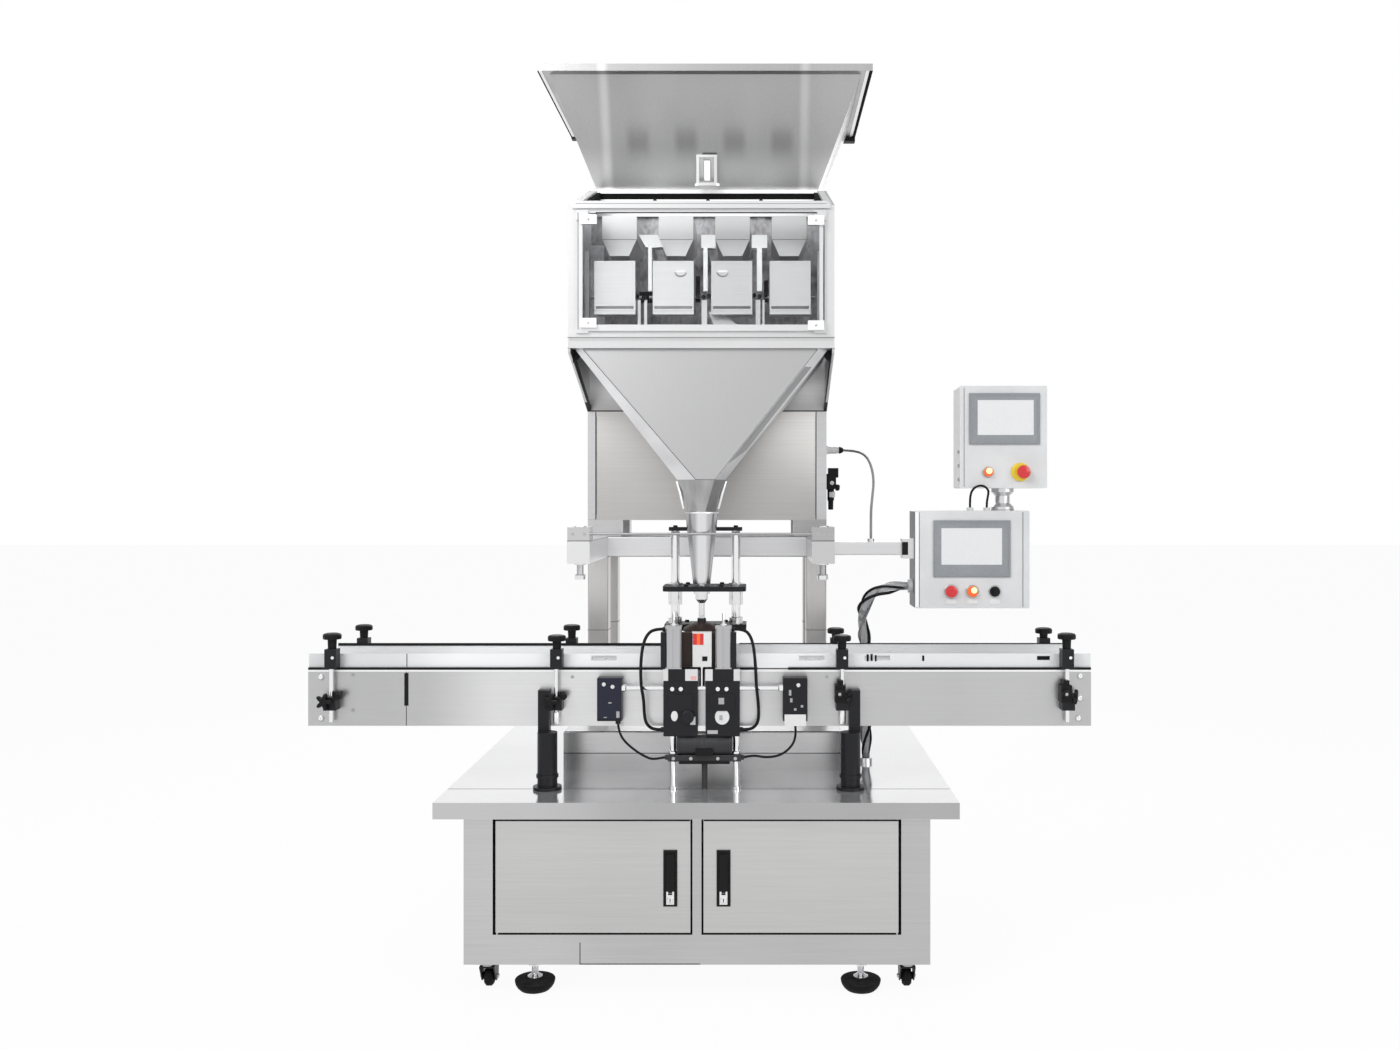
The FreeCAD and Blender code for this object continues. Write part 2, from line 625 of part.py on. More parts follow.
def make_guards():
    """Sheets inside the plates that stand above the chain, the front one with slots."""
    half = s.conveyor_length / 2
    low = PLATE_TOP - s.guard_lap
    front = new_body("front_guard")
    back = new_body("rear_guard")
    for body, y in ((front, FRONT_INSIDE), (back, REAR_INSIDE - s.guard_sheet)):
        extrude(body, "XZ_Plane", (y, y + s.guard_sheet),
                [rectangle((-half, half), (low, s.guard_top))])
    slot_low = PLATE_TOP + s.guard_slot_rise
    slots = [rectangle((x - s.guard_slot_length / 2, x + s.guard_slot_length / 2),
                       (slot_low, slot_low + s.guard_slot_height))
             for x in (s.guard_slot_left, s.guard_slot_middle, s.guard_slot_right)]
    extrude(front, "XZ_Plane", (FRONT_INSIDE, FRONT_INSIDE + s.guard_sheet), slots, kind="Pocket")
    keep("guard_sheets", group("guard_sheets", [front, back]))


def make_slat_chain():
    """The flat-top chain: one closed loop with a gap between each slat and the next."""
    body = new_body("slat_loop")
    inner = s.chain_radius - s.slat_thickness
    ends = (-SPROCKET_X, SPROCKET_X)
    extrude(body, "XZ_Plane", CHAIN_SPAN,
            [rectangle(ends, (CHAIN_Z - s.chain_radius, CHAIN_Z + s.chain_radius))])
    for x in ends:
        extrude(body, "XZ_Plane", CHAIN_SPAN, circles=[(x, CHAIN_Z, s.chain_radius)])
    extrude(body, "XZ_Plane", CHAIN_SPAN, [rectangle(ends, (CHAIN_Z - inner, CHAIN_Z + inner))],
            kind="Pocket")
    for x in ends:
        extrude(body, "XZ_Plane", CHAIN_SPAN, circles=[(x, CHAIN_Z, inner)], kind="Pocket")
    half_gap = s.slat_gap / 2
    deep = s.chain_radius - s.slat_gap_depth
    count = int(2 * SPROCKET_X.value / s.slat_pitch.value) + 1
    for x, sign in zip(ends, (1, -1)):
        gap = rectangle((-half_gap, half_gap), (deep * sign, (s.chain_radius + 1) * sign))
        first = extrude(body, "XZ_Plane", CHAIN_SPAN, [gap], kind="Pocket", base=(x, CHAIN_Z))
        straight = body.newObject("PartDesign::LinearPattern", "slat_gaps")
        straight.Originals = [first]
        straight.Direction = (origin_feature(body, "X_Axis"), [""])
        straight.Reversed = sign < 0
        straight.setExpression("Length", (s.slat_pitch * (count - 1)).text)
        straight.Occurrences = count
        body.Tip = straight
        turn = body.newObject("PartDesign::PolarPattern", "end_gaps")
        turn.Originals = [first]
        turn.Axis = (first.Profile[0], ["N_Axis"])
        steps = int(180 / SLAT_TURN) + 1
        turn.Angle = SLAT_TURN * (steps - 1)
        turn.Reversed = True
        turn.Occurrences = steps
        body.Tip = turn
    keep("slat_chain", body)


def make_sprockets():
    """A toothed wheel on a shaft at each end of the chain, with a bearing at each plate."""
    ends = []
    tip = s.chain_radius - s.slat_thickness - s.sprocket_play
    half = s.sprocket_width / 2
    for name, x in (("left", -SPROCKET_X), ("right", SPROCKET_X)):
        wheel = new_body(name + "_sprocket")
        extrude(wheel, "XZ_Plane", (CHAIN_Y - half, CHAIN_Y + half), circles=[(x, CHAIN_Z, tip)])
        tooth = extrude(wheel, "XZ_Plane", (CHAIN_Y - half, CHAIN_Y + half),
                        circles=[(0, tip, s.sprocket_tooth)], kind="Pocket", base=(x, CHAIN_Z))
        ring = wheel.newObject("PartDesign::PolarPattern", name + "_teeth")
        ring.Originals = [tooth]
        ring.Axis = (tooth.Profile[0], ["N_Axis"])
        ring.Angle = 360
        ring.setExpression("Occurrences", s.sprocket_teeth.text)
        wheel.Tip = ring
        shaft = rod("shaft", "y", s.shaft_radius, (x, FRONT_INSIDE, CHAIN_Z),
                    REAR_INSIDE - FRONT_INSIDE)
        bearings = [rod("bearing", "y", s.bearing_radius, (x, y, CHAIN_Z), s.bearing_depth)
                    for y in (FRONT_INSIDE, REAR_INSIDE - s.bearing_depth)]
        ends.append(fuse(name + "_end", [wheel, shaft] + bearings))
    keep("end_sprockets", group("end_sprockets", ends))


def make_cross_members():
    """Cross bars between the plates with the two rails that the chain slides on."""
    low = CHAIN_Z - s.cross_size / 2
    high = low + s.cross_size
    half = s.cross_size / 2
    reach = SPROCKET_X - s.cross_end
    pitch = reach * 2 / (s.cross_count - 1)
    pieces = []
    for step in range(int(s.cross_count.value)):
        x = pitch * step - reach
        pieces.append(slab("cross_bar", (x - half, x + half), (FRONT_INSIDE, REAR_INSIDE),
                           (low, high)))
    for y in (CHAIN_Y - s.rail_spacing / 2, CHAIN_Y + s.rail_spacing / 2):
        pieces.append(slab("chain_rail", (-reach - half, reach + half),
                           (y - s.rail_sheet / 2, y + s.rail_sheet / 2),
                           (high, PLATE_TOP - s.slat_thickness)))
    keep("cross_members", fuse("cross_members", pieces))


def make_posts():
    """Round posts on the table, each with a flat bracket up to the front plate."""
    posts = []
    half = s.bracket_width / 2
    shift = s.post_radius - half
    for side in SIDES.values():
        x = side * s.post_spacing / 2
        foot = rod("post_foot", "z", s.post_flange_radius, (x, s.post_y, s.table_height),
                   s.post_flange)
        ring = rod("post_ring", "z", s.post_radius + 3,
                   (x, s.post_y, s.table_height + s.post_ring_rise), s.post_ring)
        post = rod("post", "z", s.post_radius, (x, s.post_y, s.table_height),
                   s.post_top - s.table_height)
        middle = x + shift * side
        bracket = slab("bracket", (middle - half, middle + half),
                       (s.conveyor_front - s.bracket_depth, s.conveyor_front),
                       (s.post_top - s.bracket_foot, s.bracket_top))
        posts.append(fuse("conveyor_post", [foot, ring, post, bracket]))
    keep("conveyor_posts", group("conveyor_posts", posts))


def clamp_places():
    """X of the guide clamps along the conveyor, with the side that each is on."""
    return [(side * spacing / 2, side) for spacing in (s.end_clamp_spacing, s.mid_clamp_spacing)
            for side in SIDES.values()]


def make_guide_clamps():
    """Clamp blocks on both plates and cross clamps on the rods below the front ones."""
    rod_y = s.conveyor_front - s.clamp_rod_out
    half = s.clamp_width / 2
    blocks, rods, knobs = [], [], []
    for x, side in clamp_places():
        high = PLATE_TOP + s.clamp_height
        front = (FRONT_INSIDE - s.clamp_depth, FRONT_INSIDE)
        back = (REAR_INSIDE, REAR_INSIDE + s.clamp_depth)
        for y in (front, back):
            blocks.append(slab("clamp_block", (x - half, x + half), y, (PLATE_TOP, high)))
            knobs.append(turned("mushroom_knob", knob_profile(), (x, (y[0] + y[1]) / 2, high)))
        rods.append(rod("guide_rod", "z", s.clamp_rod_radius, (x, rod_y, s.clamp_rod_bottom),
                        PLATE_TOP - s.clamp_rod_bottom))
        wide = s.cross_clamp_width / 2
        low = s.cross_clamp_bottom
        block = slab("cross_clamp", (x - wide, x + wide),
                     (rod_y - s.clamp_rod_out, s.conveyor_front),
                     (low, low + s.cross_clamp_height))
        hole = rod("rod_hole", "z", s.clamp_rod_radius + s.hole_play, (x, rod_y, low - 1),
                   s.cross_clamp_height + 2)
        blocks.append(cut("cross_clamp_block", block, [hole]))
        knobs.append(star_knob(x, rod_y - s.clamp_rod_out, low + s.cross_clamp_height / 2))
    return blocks, rods, knobs


def knob_profile():
    """The stem and rounded cap of a mushroom knob."""
    stem, top = s.knob_stem, s.knob_stem + s.knob_cap
    return [(0, 0), (s.knob_stem_radius, 0), (s.knob_stem_radius, stem - s.knob_under),
            (s.knob_radius, stem), (s.knob_radius, stem + s.knob_cap / 2),
            (s.knob_radius * 0.6, top), (0, top)]


def star_knob(x, rear, z):
    """A five-lobed hand knob that faces the front."""
    body = new_body("star_knob")
    span = (rear - s.star_thickness, rear)
    extrude(body, "XZ_Plane", span, circles=[(x, z, s.star_radius)])
    lobe = extrude(body, "XZ_Plane", span, circles=[(0, s.star_radius, s.star_lobe)],
                   base=(x, z))
    ring = body.newObject("PartDesign::PolarPattern", "star_lobes")
    ring.Originals = [lobe]
    ring.Axis = (lobe.Profile[0], ["N_Axis"])
    ring.Angle = 360
    ring.Occurrences = 5
    body.Tip = ring
    return body


# Container stops and filling station

STOP_SIDES = {"left": s.stop_block_left - s.stop_block_width, "right": s.stop_block_right}
CARRIERS = (s.carrier_left, s.carrier_right)
STOP_TOP = s.carrier_bottom + s.carrier_height


def block_cord_x(side):
    """X of the cord under a stop block."""
    if side == "left":
        return s.stop_block_left - s.block_cord_inset
    return s.stop_block_right + s.stop_block_width / 2


def make_stops():
    """Clamp blocks, the rod between them, two carriers and the cylinders on them."""
    blocks, carriers, cylinders = [], [], []
    for side, low in STOP_SIDES.items():
        block = slab("stop_block", (low, low + s.stop_block_width),
                     (s.conveyor_front - s.stop_block_depth, s.conveyor_front),
                     (s.stop_block_bottom, s.stop_block_bottom + s.stop_block_height))
        gland = rod("block_gland", "z", s.fitting_radius,
                    (block_cord_x(side), s.stop_rod_y, s.stop_block_bottom - s.fitting),
                    s.fitting)
        blocks.append(fuse("stop_block_unit", [block, gland]))
    stop_rod = rod("stop_rod", "x", s.stop_rod_radius,
                   (s.stop_block_left, s.stop_rod_y, s.stop_rod_z),
                   s.stop_block_right - s.stop_block_left)
    rear = s.stop_rod_y + s.carrier_depth / 2
    for x, upper_x in zip(CARRIERS, (s.cylinder_left, s.cylinder_right)):
        half = s.carrier_width / 2
        plate = slab("carrier", (x - half, x + half), (rear - s.carrier_depth, rear),
                     (s.carrier_bottom, STOP_TOP))
        hole = rod("carrier_hole", "x", s.stop_rod_radius + s.hole_play,
                   (x - half - 1, s.stop_rod_y, s.stop_rod_z), s.carrier_width + 2)
        side = -1 if x.value < s.sensor_x.value else 1
        fitting = rod("hose_fitting", "x", s.fitting_radius,
                      (x + half if side > 0 else x - half - s.fitting, s.stop_rod_y,
                       s.carrier_bottom + s.hose_landing), s.fitting)
        carriers.append(cut("cylinder_carrier", fuse("carrier_unit", [plate, fitting]), [hole]))
        cylinders.append(air_cylinder(upper_x, (rear - s.cylinder_depth, rear), side))
    return blocks, [stop_rod], carriers, cylinders


def air_cylinder(x, y, side):
    """An upright cylinder with rounded corners, its rod on top and a fitting on one side."""
    body = new_body("air_cylinder")
    half = s.cylinder_width / 2
    top = STOP_TOP + s.cylinder_height
    extrude(body, "XY_Plane", (STOP_TOP, top), [rectangle((x - half, x + half), y)])
    round_edges(body, s.cylinder_round, lambda edge: runs_along(edge, "z"))
    extrude(body, "XY_Plane", (top, top + s.cylinder_rod),
            circles=[(x, (y[0] + y[1]) / 2, s.cylinder_rod_radius)])
    start = x + half if side > 0 else x - half - s.fitting
    fitting = rod("air_fitting", "x", s.fitting_radius,
                  (start, (y[0] + y[1]) / 2, top - s.fitting_drop), s.fitting)
    return fuse("air_cylinder_unit", [body, fitting])


def make_sensor():
    """The bottle sensor between the cylinders, on a pin from the stop rod."""
    half = s.sensor_width / 2
    y = s.stop_rod_y
    body = new_body("product_sensor")
    extrude(body, "XY_Plane", (s.sensor_bottom, s.sensor_bottom + s.sensor_height),
            [rectangle((s.sensor_x - half, s.sensor_x + half),
                       (y - s.sensor_depth / 2, y + s.sensor_depth / 2))])
    round_edges(body, 3, lambda edge: runs_along(edge, "z"))
    stem_low = s.stop_rod_z + s.stop_rod_radius
    extrude(body, "XY_Plane", (stem_low, s.sensor_bottom),
            circles=[(s.sensor_x, y, s.sensor_stem_radius)])
    return body


def make_vibrator():
    """The vibrator drum on its bar and post between two bright posts."""
    y = s.stop_rod_y
    half = s.vibrator_bar_width / 2
    bar = slab("vibrator_bar", (s.vibrator_x - half, s.vibrator_x + half),
               (y - s.vibrator_bar_depth / 2, y + s.vibrator_bar_depth / 2),
               (s.vibrator_bar_bottom, s.vibrator_bar_bottom + s.vibrator_bar))
    posts, holes = [], []
    for side in SIDES.values():
        x = s.vibrator_x + side * s.front_post_spacing / 2
        posts.append(rod("front_post", "z", s.front_post_radius, (x, y, s.table_height),
                         s.carrier_bottom - s.table_height))
        holes.append(rod("bar_hole", "z", s.front_post_radius + s.hole_play,
                         (x, y, s.vibrator_bar_bottom - 1), s.vibrator_bar + 2))
    drum = rod("drum", "x", s.vibrator_radius,
               (s.vibrator_x - s.vibrator_length / 2, y,
                s.vibrator_bar_bottom + s.vibrator_bar + s.vibrator_radius),
               s.vibrator_length)
    post = rod("vibrator_post", "z", s.vibrator_post_radius,
               (s.vibrator_x, y, s.table_height), s.vibrator_bar_bottom - s.table_height)
    middle = s.vibrator_bar_bottom + s.vibrator_bar / 2
    ends = [rod("cord_fitting", "x", s.fitting_radius, (start, y, middle), s.fitting)
            for start in (s.vibrator_x - half - s.fitting, s.vibrator_x + half)]
    solid = fuse("vibrator_solid", [bar, drum, post] + ends)
    keep("vibrator", cut("vibrator", solid, holes))
    return posts


def tie_rod():
    """The thin rod between the pads on the stand's arms."""
    reach = s.stand_width / 2 - s.tube / 2 - s.pad_width / 2
    return rod("tie_rod", "x", s.tie_rod_radius,
               (-reach, s.arm_front + s.tie_rod_radius, s.beam_bottom + s.tube + s.tie_rod_rise),
               reach * 2)


def make_clamps_and_stops():
    """List the shared nodes of the clamps, rods, knobs and stops."""
    blocks, rods, knobs = make_guide_clamps()
    stop_blocks, stop_rods, carriers, cylinders = make_stops()
    bright = rods + stop_rods + make_vibrator() + make_fill_frame() + [tie_rod()]
    keep("guide_clamps", group("guide_clamps", blocks + stop_blocks + carriers))
    keep("guide_rods", group("guide_rods", bright))
    keep("clamp_knobs", group("clamp_knobs", knobs))
    keep("stop_units", group("stop_units", cylinders + [make_sensor()]))


COLUMN_TOP = s.top_bar_bottom
BASE_TOP = s.base_plate_bottom + s.base_plate_sheet
SLIDE_TOP = s.slide_plate_bottom + s.slide_plate_sheet


def column_places():
    """X and Y of the two columns of the filling station."""
    return [(s.station_x + side * s.column_spacing / 2, s.column_y) for side in SIDES.values()]


def about_station(half):
    """X span of a piece centred on the filling station."""
    return (s.station_x - half, s.station_x + half)


def make_fill_frame():
    """The base plate behind the nozzle, its columns and the bar across their tops."""
    body = new_body("base_plate")
    half = s.base_plate_width / 2
    extrude(body, "XY_Plane", (s.base_plate_bottom, BASE_TOP),
            [rectangle(about_station(half), (s.base_plate_front, s.base_plate_rear))])
    extrude(body, "XY_Plane", (s.base_plate_bottom, BASE_TOP),
            circles=[(0, s.fill_y, s.base_notch_radius)], kind="Pocket")
    leg_half = s.base_leg_width / 2
    extrude(body, "XY_Plane", (s.base_leg_bottom, s.base_plate_bottom),
            [rectangle(about_station(leg_half),
                       (CONVEYOR_REAR, CONVEYOR_REAR + s.base_leg_sheet))])
    columns, collars, holes = [], [], []
    for x, y in column_places():
        columns.append(rod("column", "z", s.column_radius, (x, y, BASE_TOP),
                           COLUMN_TOP - BASE_TOP))
        collars.append(rod("collar", "z", s.collar_radius, (x, y, BASE_TOP),
                           s.collar_height))
        holes.append(rod("collar_hole", "z", s.column_radius + s.hole_play,
                         (x, y, BASE_TOP), s.collar_height))
    base = cut("base_with_collars", fuse("base_solid", [body] + collars), holes)
    bar_half = s.top_bar_width / 2
    bar = slab("top_bar", about_station(bar_half),
               (s.column_y - s.top_bar_depth / 2, s.column_y + s.top_bar_depth / 2),
               (COLUMN_TOP, COLUMN_TOP + s.top_bar_sheet))
    keep("fill_plates", group("fill_plates", [base, bar]))
    return columns


def make_fill_slide():
    """The plate that slides on the columns, with its bushings, and the nozzle under it."""
    body = new_body("slide_plate")
    half = s.slide_plate_width / 2
    bore = s.column_radius + s.slide_fit
    columns = column_places()
    extrude(body, "XY_Plane", (s.slide_plate_bottom, SLIDE_TOP),
            [rectangle(about_station(half), (s.slide_plate_front, s.slide_plate_rear))])
    round_edges(body, s.collar_radius, lambda edge: runs_along(edge, "z"))
    low = s.slide_plate_bottom - s.bushing_height
    extrude(body, "XY_Plane", (low, s.slide_plate_bottom),
            circles=[(x, y, s.bushing_radius) for x, y in columns])
    inner = s.sleeve_radius - s.sleeve_sheet
    extrude(body, "XY_Plane", (low, SLIDE_TOP), circles=[(x, y, bore) for x, y in columns],
            kind="Pocket")
    extrude(body, "XY_Plane", (s.slide_plate_bottom, SLIDE_TOP),
            circles=[(0, s.fill_y, inner)], kind="Pocket")
    keep("slide_plate", body)
    tube_top = s.sleeve_bottom - s.tube_cone
    rim = s.dome_bottom
    top = rim + s.dome_height
    sheet = s.dome_sheet
    profile = [(s.tube_bore, rim), (s.tube_bore, tube_top), (inner, s.sleeve_bottom),
               (inner, s.slide_plate_bottom), (s.sleeve_radius, s.slide_plate_bottom),
               (s.sleeve_radius, s.sleeve_bottom), (s.tube_radius, tube_top),
               (s.tube_radius, top), (s.dome_radius * 0.6, top - 6),
               (s.dome_radius, rim + s.dome_edge), (s.dome_radius, rim),
               (s.dome_radius - sheet, rim), (s.dome_radius - sheet, rim + s.dome_edge - 1),
               (s.dome_radius * 0.6, top - 6 - sheet), (s.tube_radius, top - sheet),
               (s.tube_radius, rim)]
    keep("fill_nozzle", turned("fill_nozzle", profile, (0, s.fill_y, 0)))


make_side_plates()
make_guards()
make_slat_chain()
make_sprockets()
make_cross_members()
make_posts()
make_clamps_and_stops()
make_fill_slide()

# Stand

STAND_HALF = s.stand_width / 2
BEAM_TOP = s.beam_bottom + s.tube
PLINTH_TOP = s.table_height + s.plinth_height


def side_tube(side):
    """X faces of the tube that stands or lies at one side of the stand."""
    return mirrored(side, STAND_HALF - s.tube, STAND_HALF)


def tube_ends():
    """Y faces of the front tubes and of the rear tubes."""
    return [(s.stand_front, s.stand_front + s.tube), (s.stand_rear - s.tube, s.stand_rear)]


def square_tube(name, role, span, outline):
    """A closed square tube with rounded long edges."""
    axis = {"XY_Plane": "z", "XZ_Plane": "y", "YZ_Plane": "x"}[role]
    body = new_body(name)
    extrude(body, role, span, [outline])
    round_edges(body, s.tube_round, lambda edge: runs_along(edge, axis))
    return body


def make_stand():
    """Four legs, two long side beams that run forward, two cross beams and the pads."""
    legs, pads = [], []
    for side in SIDES.values():
        for y in tube_ends():
            legs.append(square_tube("stand_leg", "XY_Plane", (PLINTH_TOP, s.beam_bottom),
                                    rectangle(side_tube(side), y)))
            wide = mirrored(side, STAND_HALF - s.foot_pad_width, STAND_HALF)
            pads.append(slab("foot_pad", wide, y, (BEAM_TOP, BEAM_TOP + s.foot_pad_height)))
    arms = [square_tube("stand_arm", "XZ_Plane", (s.arm_front, s.stand_rear),
                        rectangle(side_tube(side), (s.beam_bottom, BEAM_TOP)))
            for side in SIDES.values()]
    inner = STAND_HALF - s.tube
    beams = [square_tube("cross_beam", "YZ_Plane", (-inner, inner),
                         rectangle(y, (s.beam_bottom, BEAM_TOP))) for y in tube_ends()]
    keep("stand_legs", group("stand_legs", legs))
    keep("stand_beams", fuse("stand_beams", arms + beams))
    keep("stand_pads", group("stand_pads", pads + arm_pads() + pad_bolts()))


def arm_pads():
    """The blocks on the arm ends."""
    pieces = []
    middle = STAND_HALF - s.tube / 2
    for side in SIDES.values():
        x = mirrored(side, middle - s.pad_width / 2, middle + s.pad_width / 2)
        pieces.append(slab("arm_pad", x, (s.arm_front, s.arm_front + s.pad_depth),
                           (BEAM_TOP, BEAM_TOP + s.arm_pad_height)))
    return pieces


def pad_bolts():
    """A capped bolt under each arm end."""
    bolts = []
    for side in SIDES.values():
        place = (side * (STAND_HALF - s.tube / 2), s.arm_front + s.pad_depth / 2, s.beam_bottom)
        low = -(s.pad_bolt + s.pad_cap)
        profile = [(0, 0), (0, low), (s.pad_cap_radius * 0.7, low),
                   (s.pad_cap_radius, low + s.pad_cap / 3), (s.pad_cap_radius, -s.pad_bolt),
                   (s.pad_bolt_radius, -s.pad_bolt), (s.pad_bolt_radius, 0)]
        bolts.append(turned("pad_bolt", profile, place))
    return bolts


# Weigher

BOX_BOTTOM = BEAM_TOP + s.foot_pad_height
BOX_TOP = BOX_BOTTOM + s.cabinet_box_height
FLOOR_BOTTOM = BOX_TOP + s.base_box_height
FLOOR_TOP = FLOOR_BOTTOM + s.floor_sheet
HOUSING_SPAN = (s.housing_front, s.weigher_rear)
HEAD_PLACES = [s.head_pitch * (step - (SIZES["head_count"] - 1) / 2)
               for step in range(SIZES["head_count"])]


def make_weigher_boxes():
    """The closed boxes under and behind the weighing heads, with the side gussets."""
    box = new_body("weigher_box")
    extrude(box, "XY_Plane", (BOX_BOTTOM, BOX_TOP),
            [rectangle((-STAND_HALF, STAND_HALF), (s.stand_front, s.stand_rear))])
    extrude(box, "XZ_Plane", (s.stand_front, s.stand_front + s.panel_inset),
            [rectangle((s.panel_left, s.panel_right),
                       (BOX_BOTTOM + s.panel_margin, BOX_TOP - s.panel_margin))], kind="Pocket")
    keep("weigher_cabinet", box)
    base = new_body("weigher_base")
    extrude(base, "XY_Plane", (BOX_TOP, FLOOR_BOTTOM),
            [rectangle((-STAND_HALF, STAND_HALF), (s.stand_front, s.weigher_rear))])
    keep("weigher_base", base)
    housing = new_body("weigher_housing")
    extrude(housing, "XY_Plane", (FLOOR_TOP, s.weigher_rear_top),
            [rectangle((-STAND_HALF, STAND_HALF), HOUSING_SPAN)])
    round_edges(housing, s.tube_round, lambda edge: runs_along(edge, "z")
                and edge.CenterOfMass.y > s.weigher_rear.value - 1)
    keep("weigher_housing", housing)


def gusset_plates():
    """The plates that carry the overhanging front of the weigher at both sides."""
    gussets = []
    for side in SIDES.values():
        plate = new_body("gusset")
        x = mirrored(side, STAND_HALF - s.gusset_sheet, STAND_HALF)
        outline = [(s.stand_front, BOX_TOP), (s.stand_front, FLOOR_BOTTOM),
                   (s.weigher_front, FLOOR_BOTTOM), (s.weigher_front, FLOOR_BOTTOM - 12)]
        extrude(plate, "YZ_Plane", x, [outline])
        gussets.append(plate)
    return gussets


def make_weigher_walls():
    """Floor frame, sloping side walls and the front frame round the window."""
    floor = new_body("weigher_floor")
    hole = s.floor_hole_half
    extrude(floor, "XY_Plane", (FLOOR_BOTTOM, FLOOR_TOP),
            [rectangle((-STAND_HALF, STAND_HALF), (s.weigher_front, s.weigher_rear)),
             rectangle((-hole, hole), (s.floor_hole_front, s.floor_hole_rear))])
    keep("weigher_floor", fuse("floor_and_chute", [floor, weigh_chute()]))
    walls = gusset_plates()
    rise = (s.weigher_rear_top - s.weigher_front_top) / (s.housing_front - s.weigher_front)
    low = s.weigher_front + s.frame_sheet
    for side in SIDES.values():
        wall = new_body("side_wall")
        x = mirrored(side, STAND_HALF - s.wall_sheet, STAND_HALF)
        outline = [(low, FLOOR_TOP), (s.housing_front, FLOOR_TOP),
                   (s.housing_front, s.weigher_rear_top),
                   (low, s.weigher_front_top + s.frame_sheet * rise)]
        extrude(wall, "YZ_Plane", x, [outline])
        walls.append(wall)
    keep("weigher_side_walls", group("weigher_side_walls", walls))
    frame = new_body("window_frame")
    extrude(frame, "XZ_Plane", (s.weigher_front, low),
            [rectangle((-STAND_HALF, STAND_HALF), (FLOOR_TOP, s.weigher_front_top)),
             rectangle((-s.window_half, s.window_half), (s.window_bottom, s.window_top))])
    window = new_body("front_window")
    lap = s.window_lap
    extrude(window, "XZ_Plane", (low, low + s.window_sheet),
            [rectangle((-s.window_half - lap, s.window_half + lap),
                       (s.window_bottom - lap, s.window_top + lap))])
    keep("front_window", window)
    clips = []
    for side in SIDES.values():
        x = mirrored(side, s.window_half - s.clip_width, s.window_half + 6)
        for z in ((s.window_bottom - 6, s.window_bottom + s.clip_height),
                  (s.window_top - s.clip_height, s.window_top + 6)):
            clips.append(slab("window_clip", x,
                              (s.weigher_front - s.clip_depth, s.weigher_front), z))
    keep("window_frame", fuse("window_frame_and_clips", [frame] + clips))


def make_feeder_pans():
    """Four feeder troughs from the housing to above their buckets."""
    pans = []
    sheet = s.pan_sheet
    for x in HEAD_PLACES:
        pan = new_body("feeder_pan")
        extrude(pan, "XZ_Plane", (s.pan_front, s.housing_front), [pan_outline(x, 0)])
        extrude(pan, "XZ_Plane", (s.pan_front + sheet, s.housing_front - sheet),
                [pan_outline(x, sheet)], kind="Pocket")
        pans.append(pan)
    keep("feeder_pans", group("feeder_pans", pans))


def pan_outline(x, inset):
    """A trough's section: upright sides that draw in to a narrow floor."""
    half, foot = s.pan_width / 2 - inset, s.pan_foot / 2 - inset
    top = s.pan_top + inset
    return [(x - half, top), (x - half, s.pan_waist), (x - foot, s.pan_bottom + inset),
            (x + foot, s.pan_bottom + inset), (x + half, s.pan_waist), (x + half, top)]


def make_weigh_buckets():
    """Four open buckets hung on rods between the hanger plates."""
    buckets, hangers = [], []
    half, sheet = s.bucket_width / 2, s.bucket_sheet
    rear = s.bucket_front + s.bucket_depth
    for x in HEAD_PLACES:
        bucket = new_body("weigh_bucket")
        extrude(bucket, "XY_Plane", (s.bucket_bottom, s.bucket_top),
                [rectangle((x - half, x + half), (s.bucket_front, rear))])
        lip = [(s.bucket_front, s.bucket_bottom),
               (s.bucket_front + s.bucket_lip, s.bucket_bottom - s.bucket_lip),
               (rear - s.bucket_lip, s.bucket_bottom - s.bucket_lip), (rear, s.bucket_bottom)]
        extrude(bucket, "YZ_Plane", (x - half, x + half), [lip])
        extrude(bucket, "XY_Plane", (s.bucket_bottom, s.bucket_top),
                [rectangle((x - half + sheet, x + half - sheet),
                           (s.bucket_front + sheet, rear - sheet))], kind="Pocket")
        buckets.append(bucket)
    for step in range(SIZES["head_count"] + 1):
        x = s.head_pitch * (step - SIZES["head_count"] / 2)
        hangers.append(hanger(x, step))
    keep("weigh_buckets", group("weigh_buckets", buckets))
    keep("bucket_hangers", group("bucket_hangers", hangers))


def hanger(x, step):
    """A plate from the housing with an upright post and the rods that hold the buckets."""
    half = s.hanger_sheet / 2
    front = s.bucket_front + s.bucket_depth / 2
    plate = new_body("hanger_plate")
    outline = [(front - s.hanger_post, s.hanger_bottom), (s.housing_front, s.hanger_bottom),
               (s.housing_front, s.hanger_top), (front, s.hanger_top),
               (front, s.hanger_post_top), (front - s.hanger_post, s.hanger_post_top)]
    extrude(plate, "YZ_Plane", (x - half, x + half), [outline])
    reach = s.head_pitch / 2 - s.bucket_width / 2
    low = x - reach if step > 0 else x
    high = x + reach if step < SIZES["head_count"] else x
    pin = rod("hinge_rod", "x", s.hinge_rod_radius,
              (low, front - s.hanger_post / 2, s.hinge_rod_z), high - low)
    return fuse("bucket_hanger", [plate, pin])


def weigh_chute():
    """The sloping plate that turns the product forward into the funnel."""
    body = new_body("weigh_chute")
    rear = s.housing_front
    run, rise, sheet = s.chute_run, s.chute_rise, s.chute_sheet
    outline = [(rear, FLOOR_TOP + rise), (rear - run, FLOOR_TOP), (rear - run + sheet * 2, FLOOR_TOP),
               (rear, FLOOR_TOP + rise - sheet * 2)]
    hole = s.floor_hole_half
    extrude(body, "YZ_Plane", (-hole, hole), [outline])
    return body


# Hopper and funnel

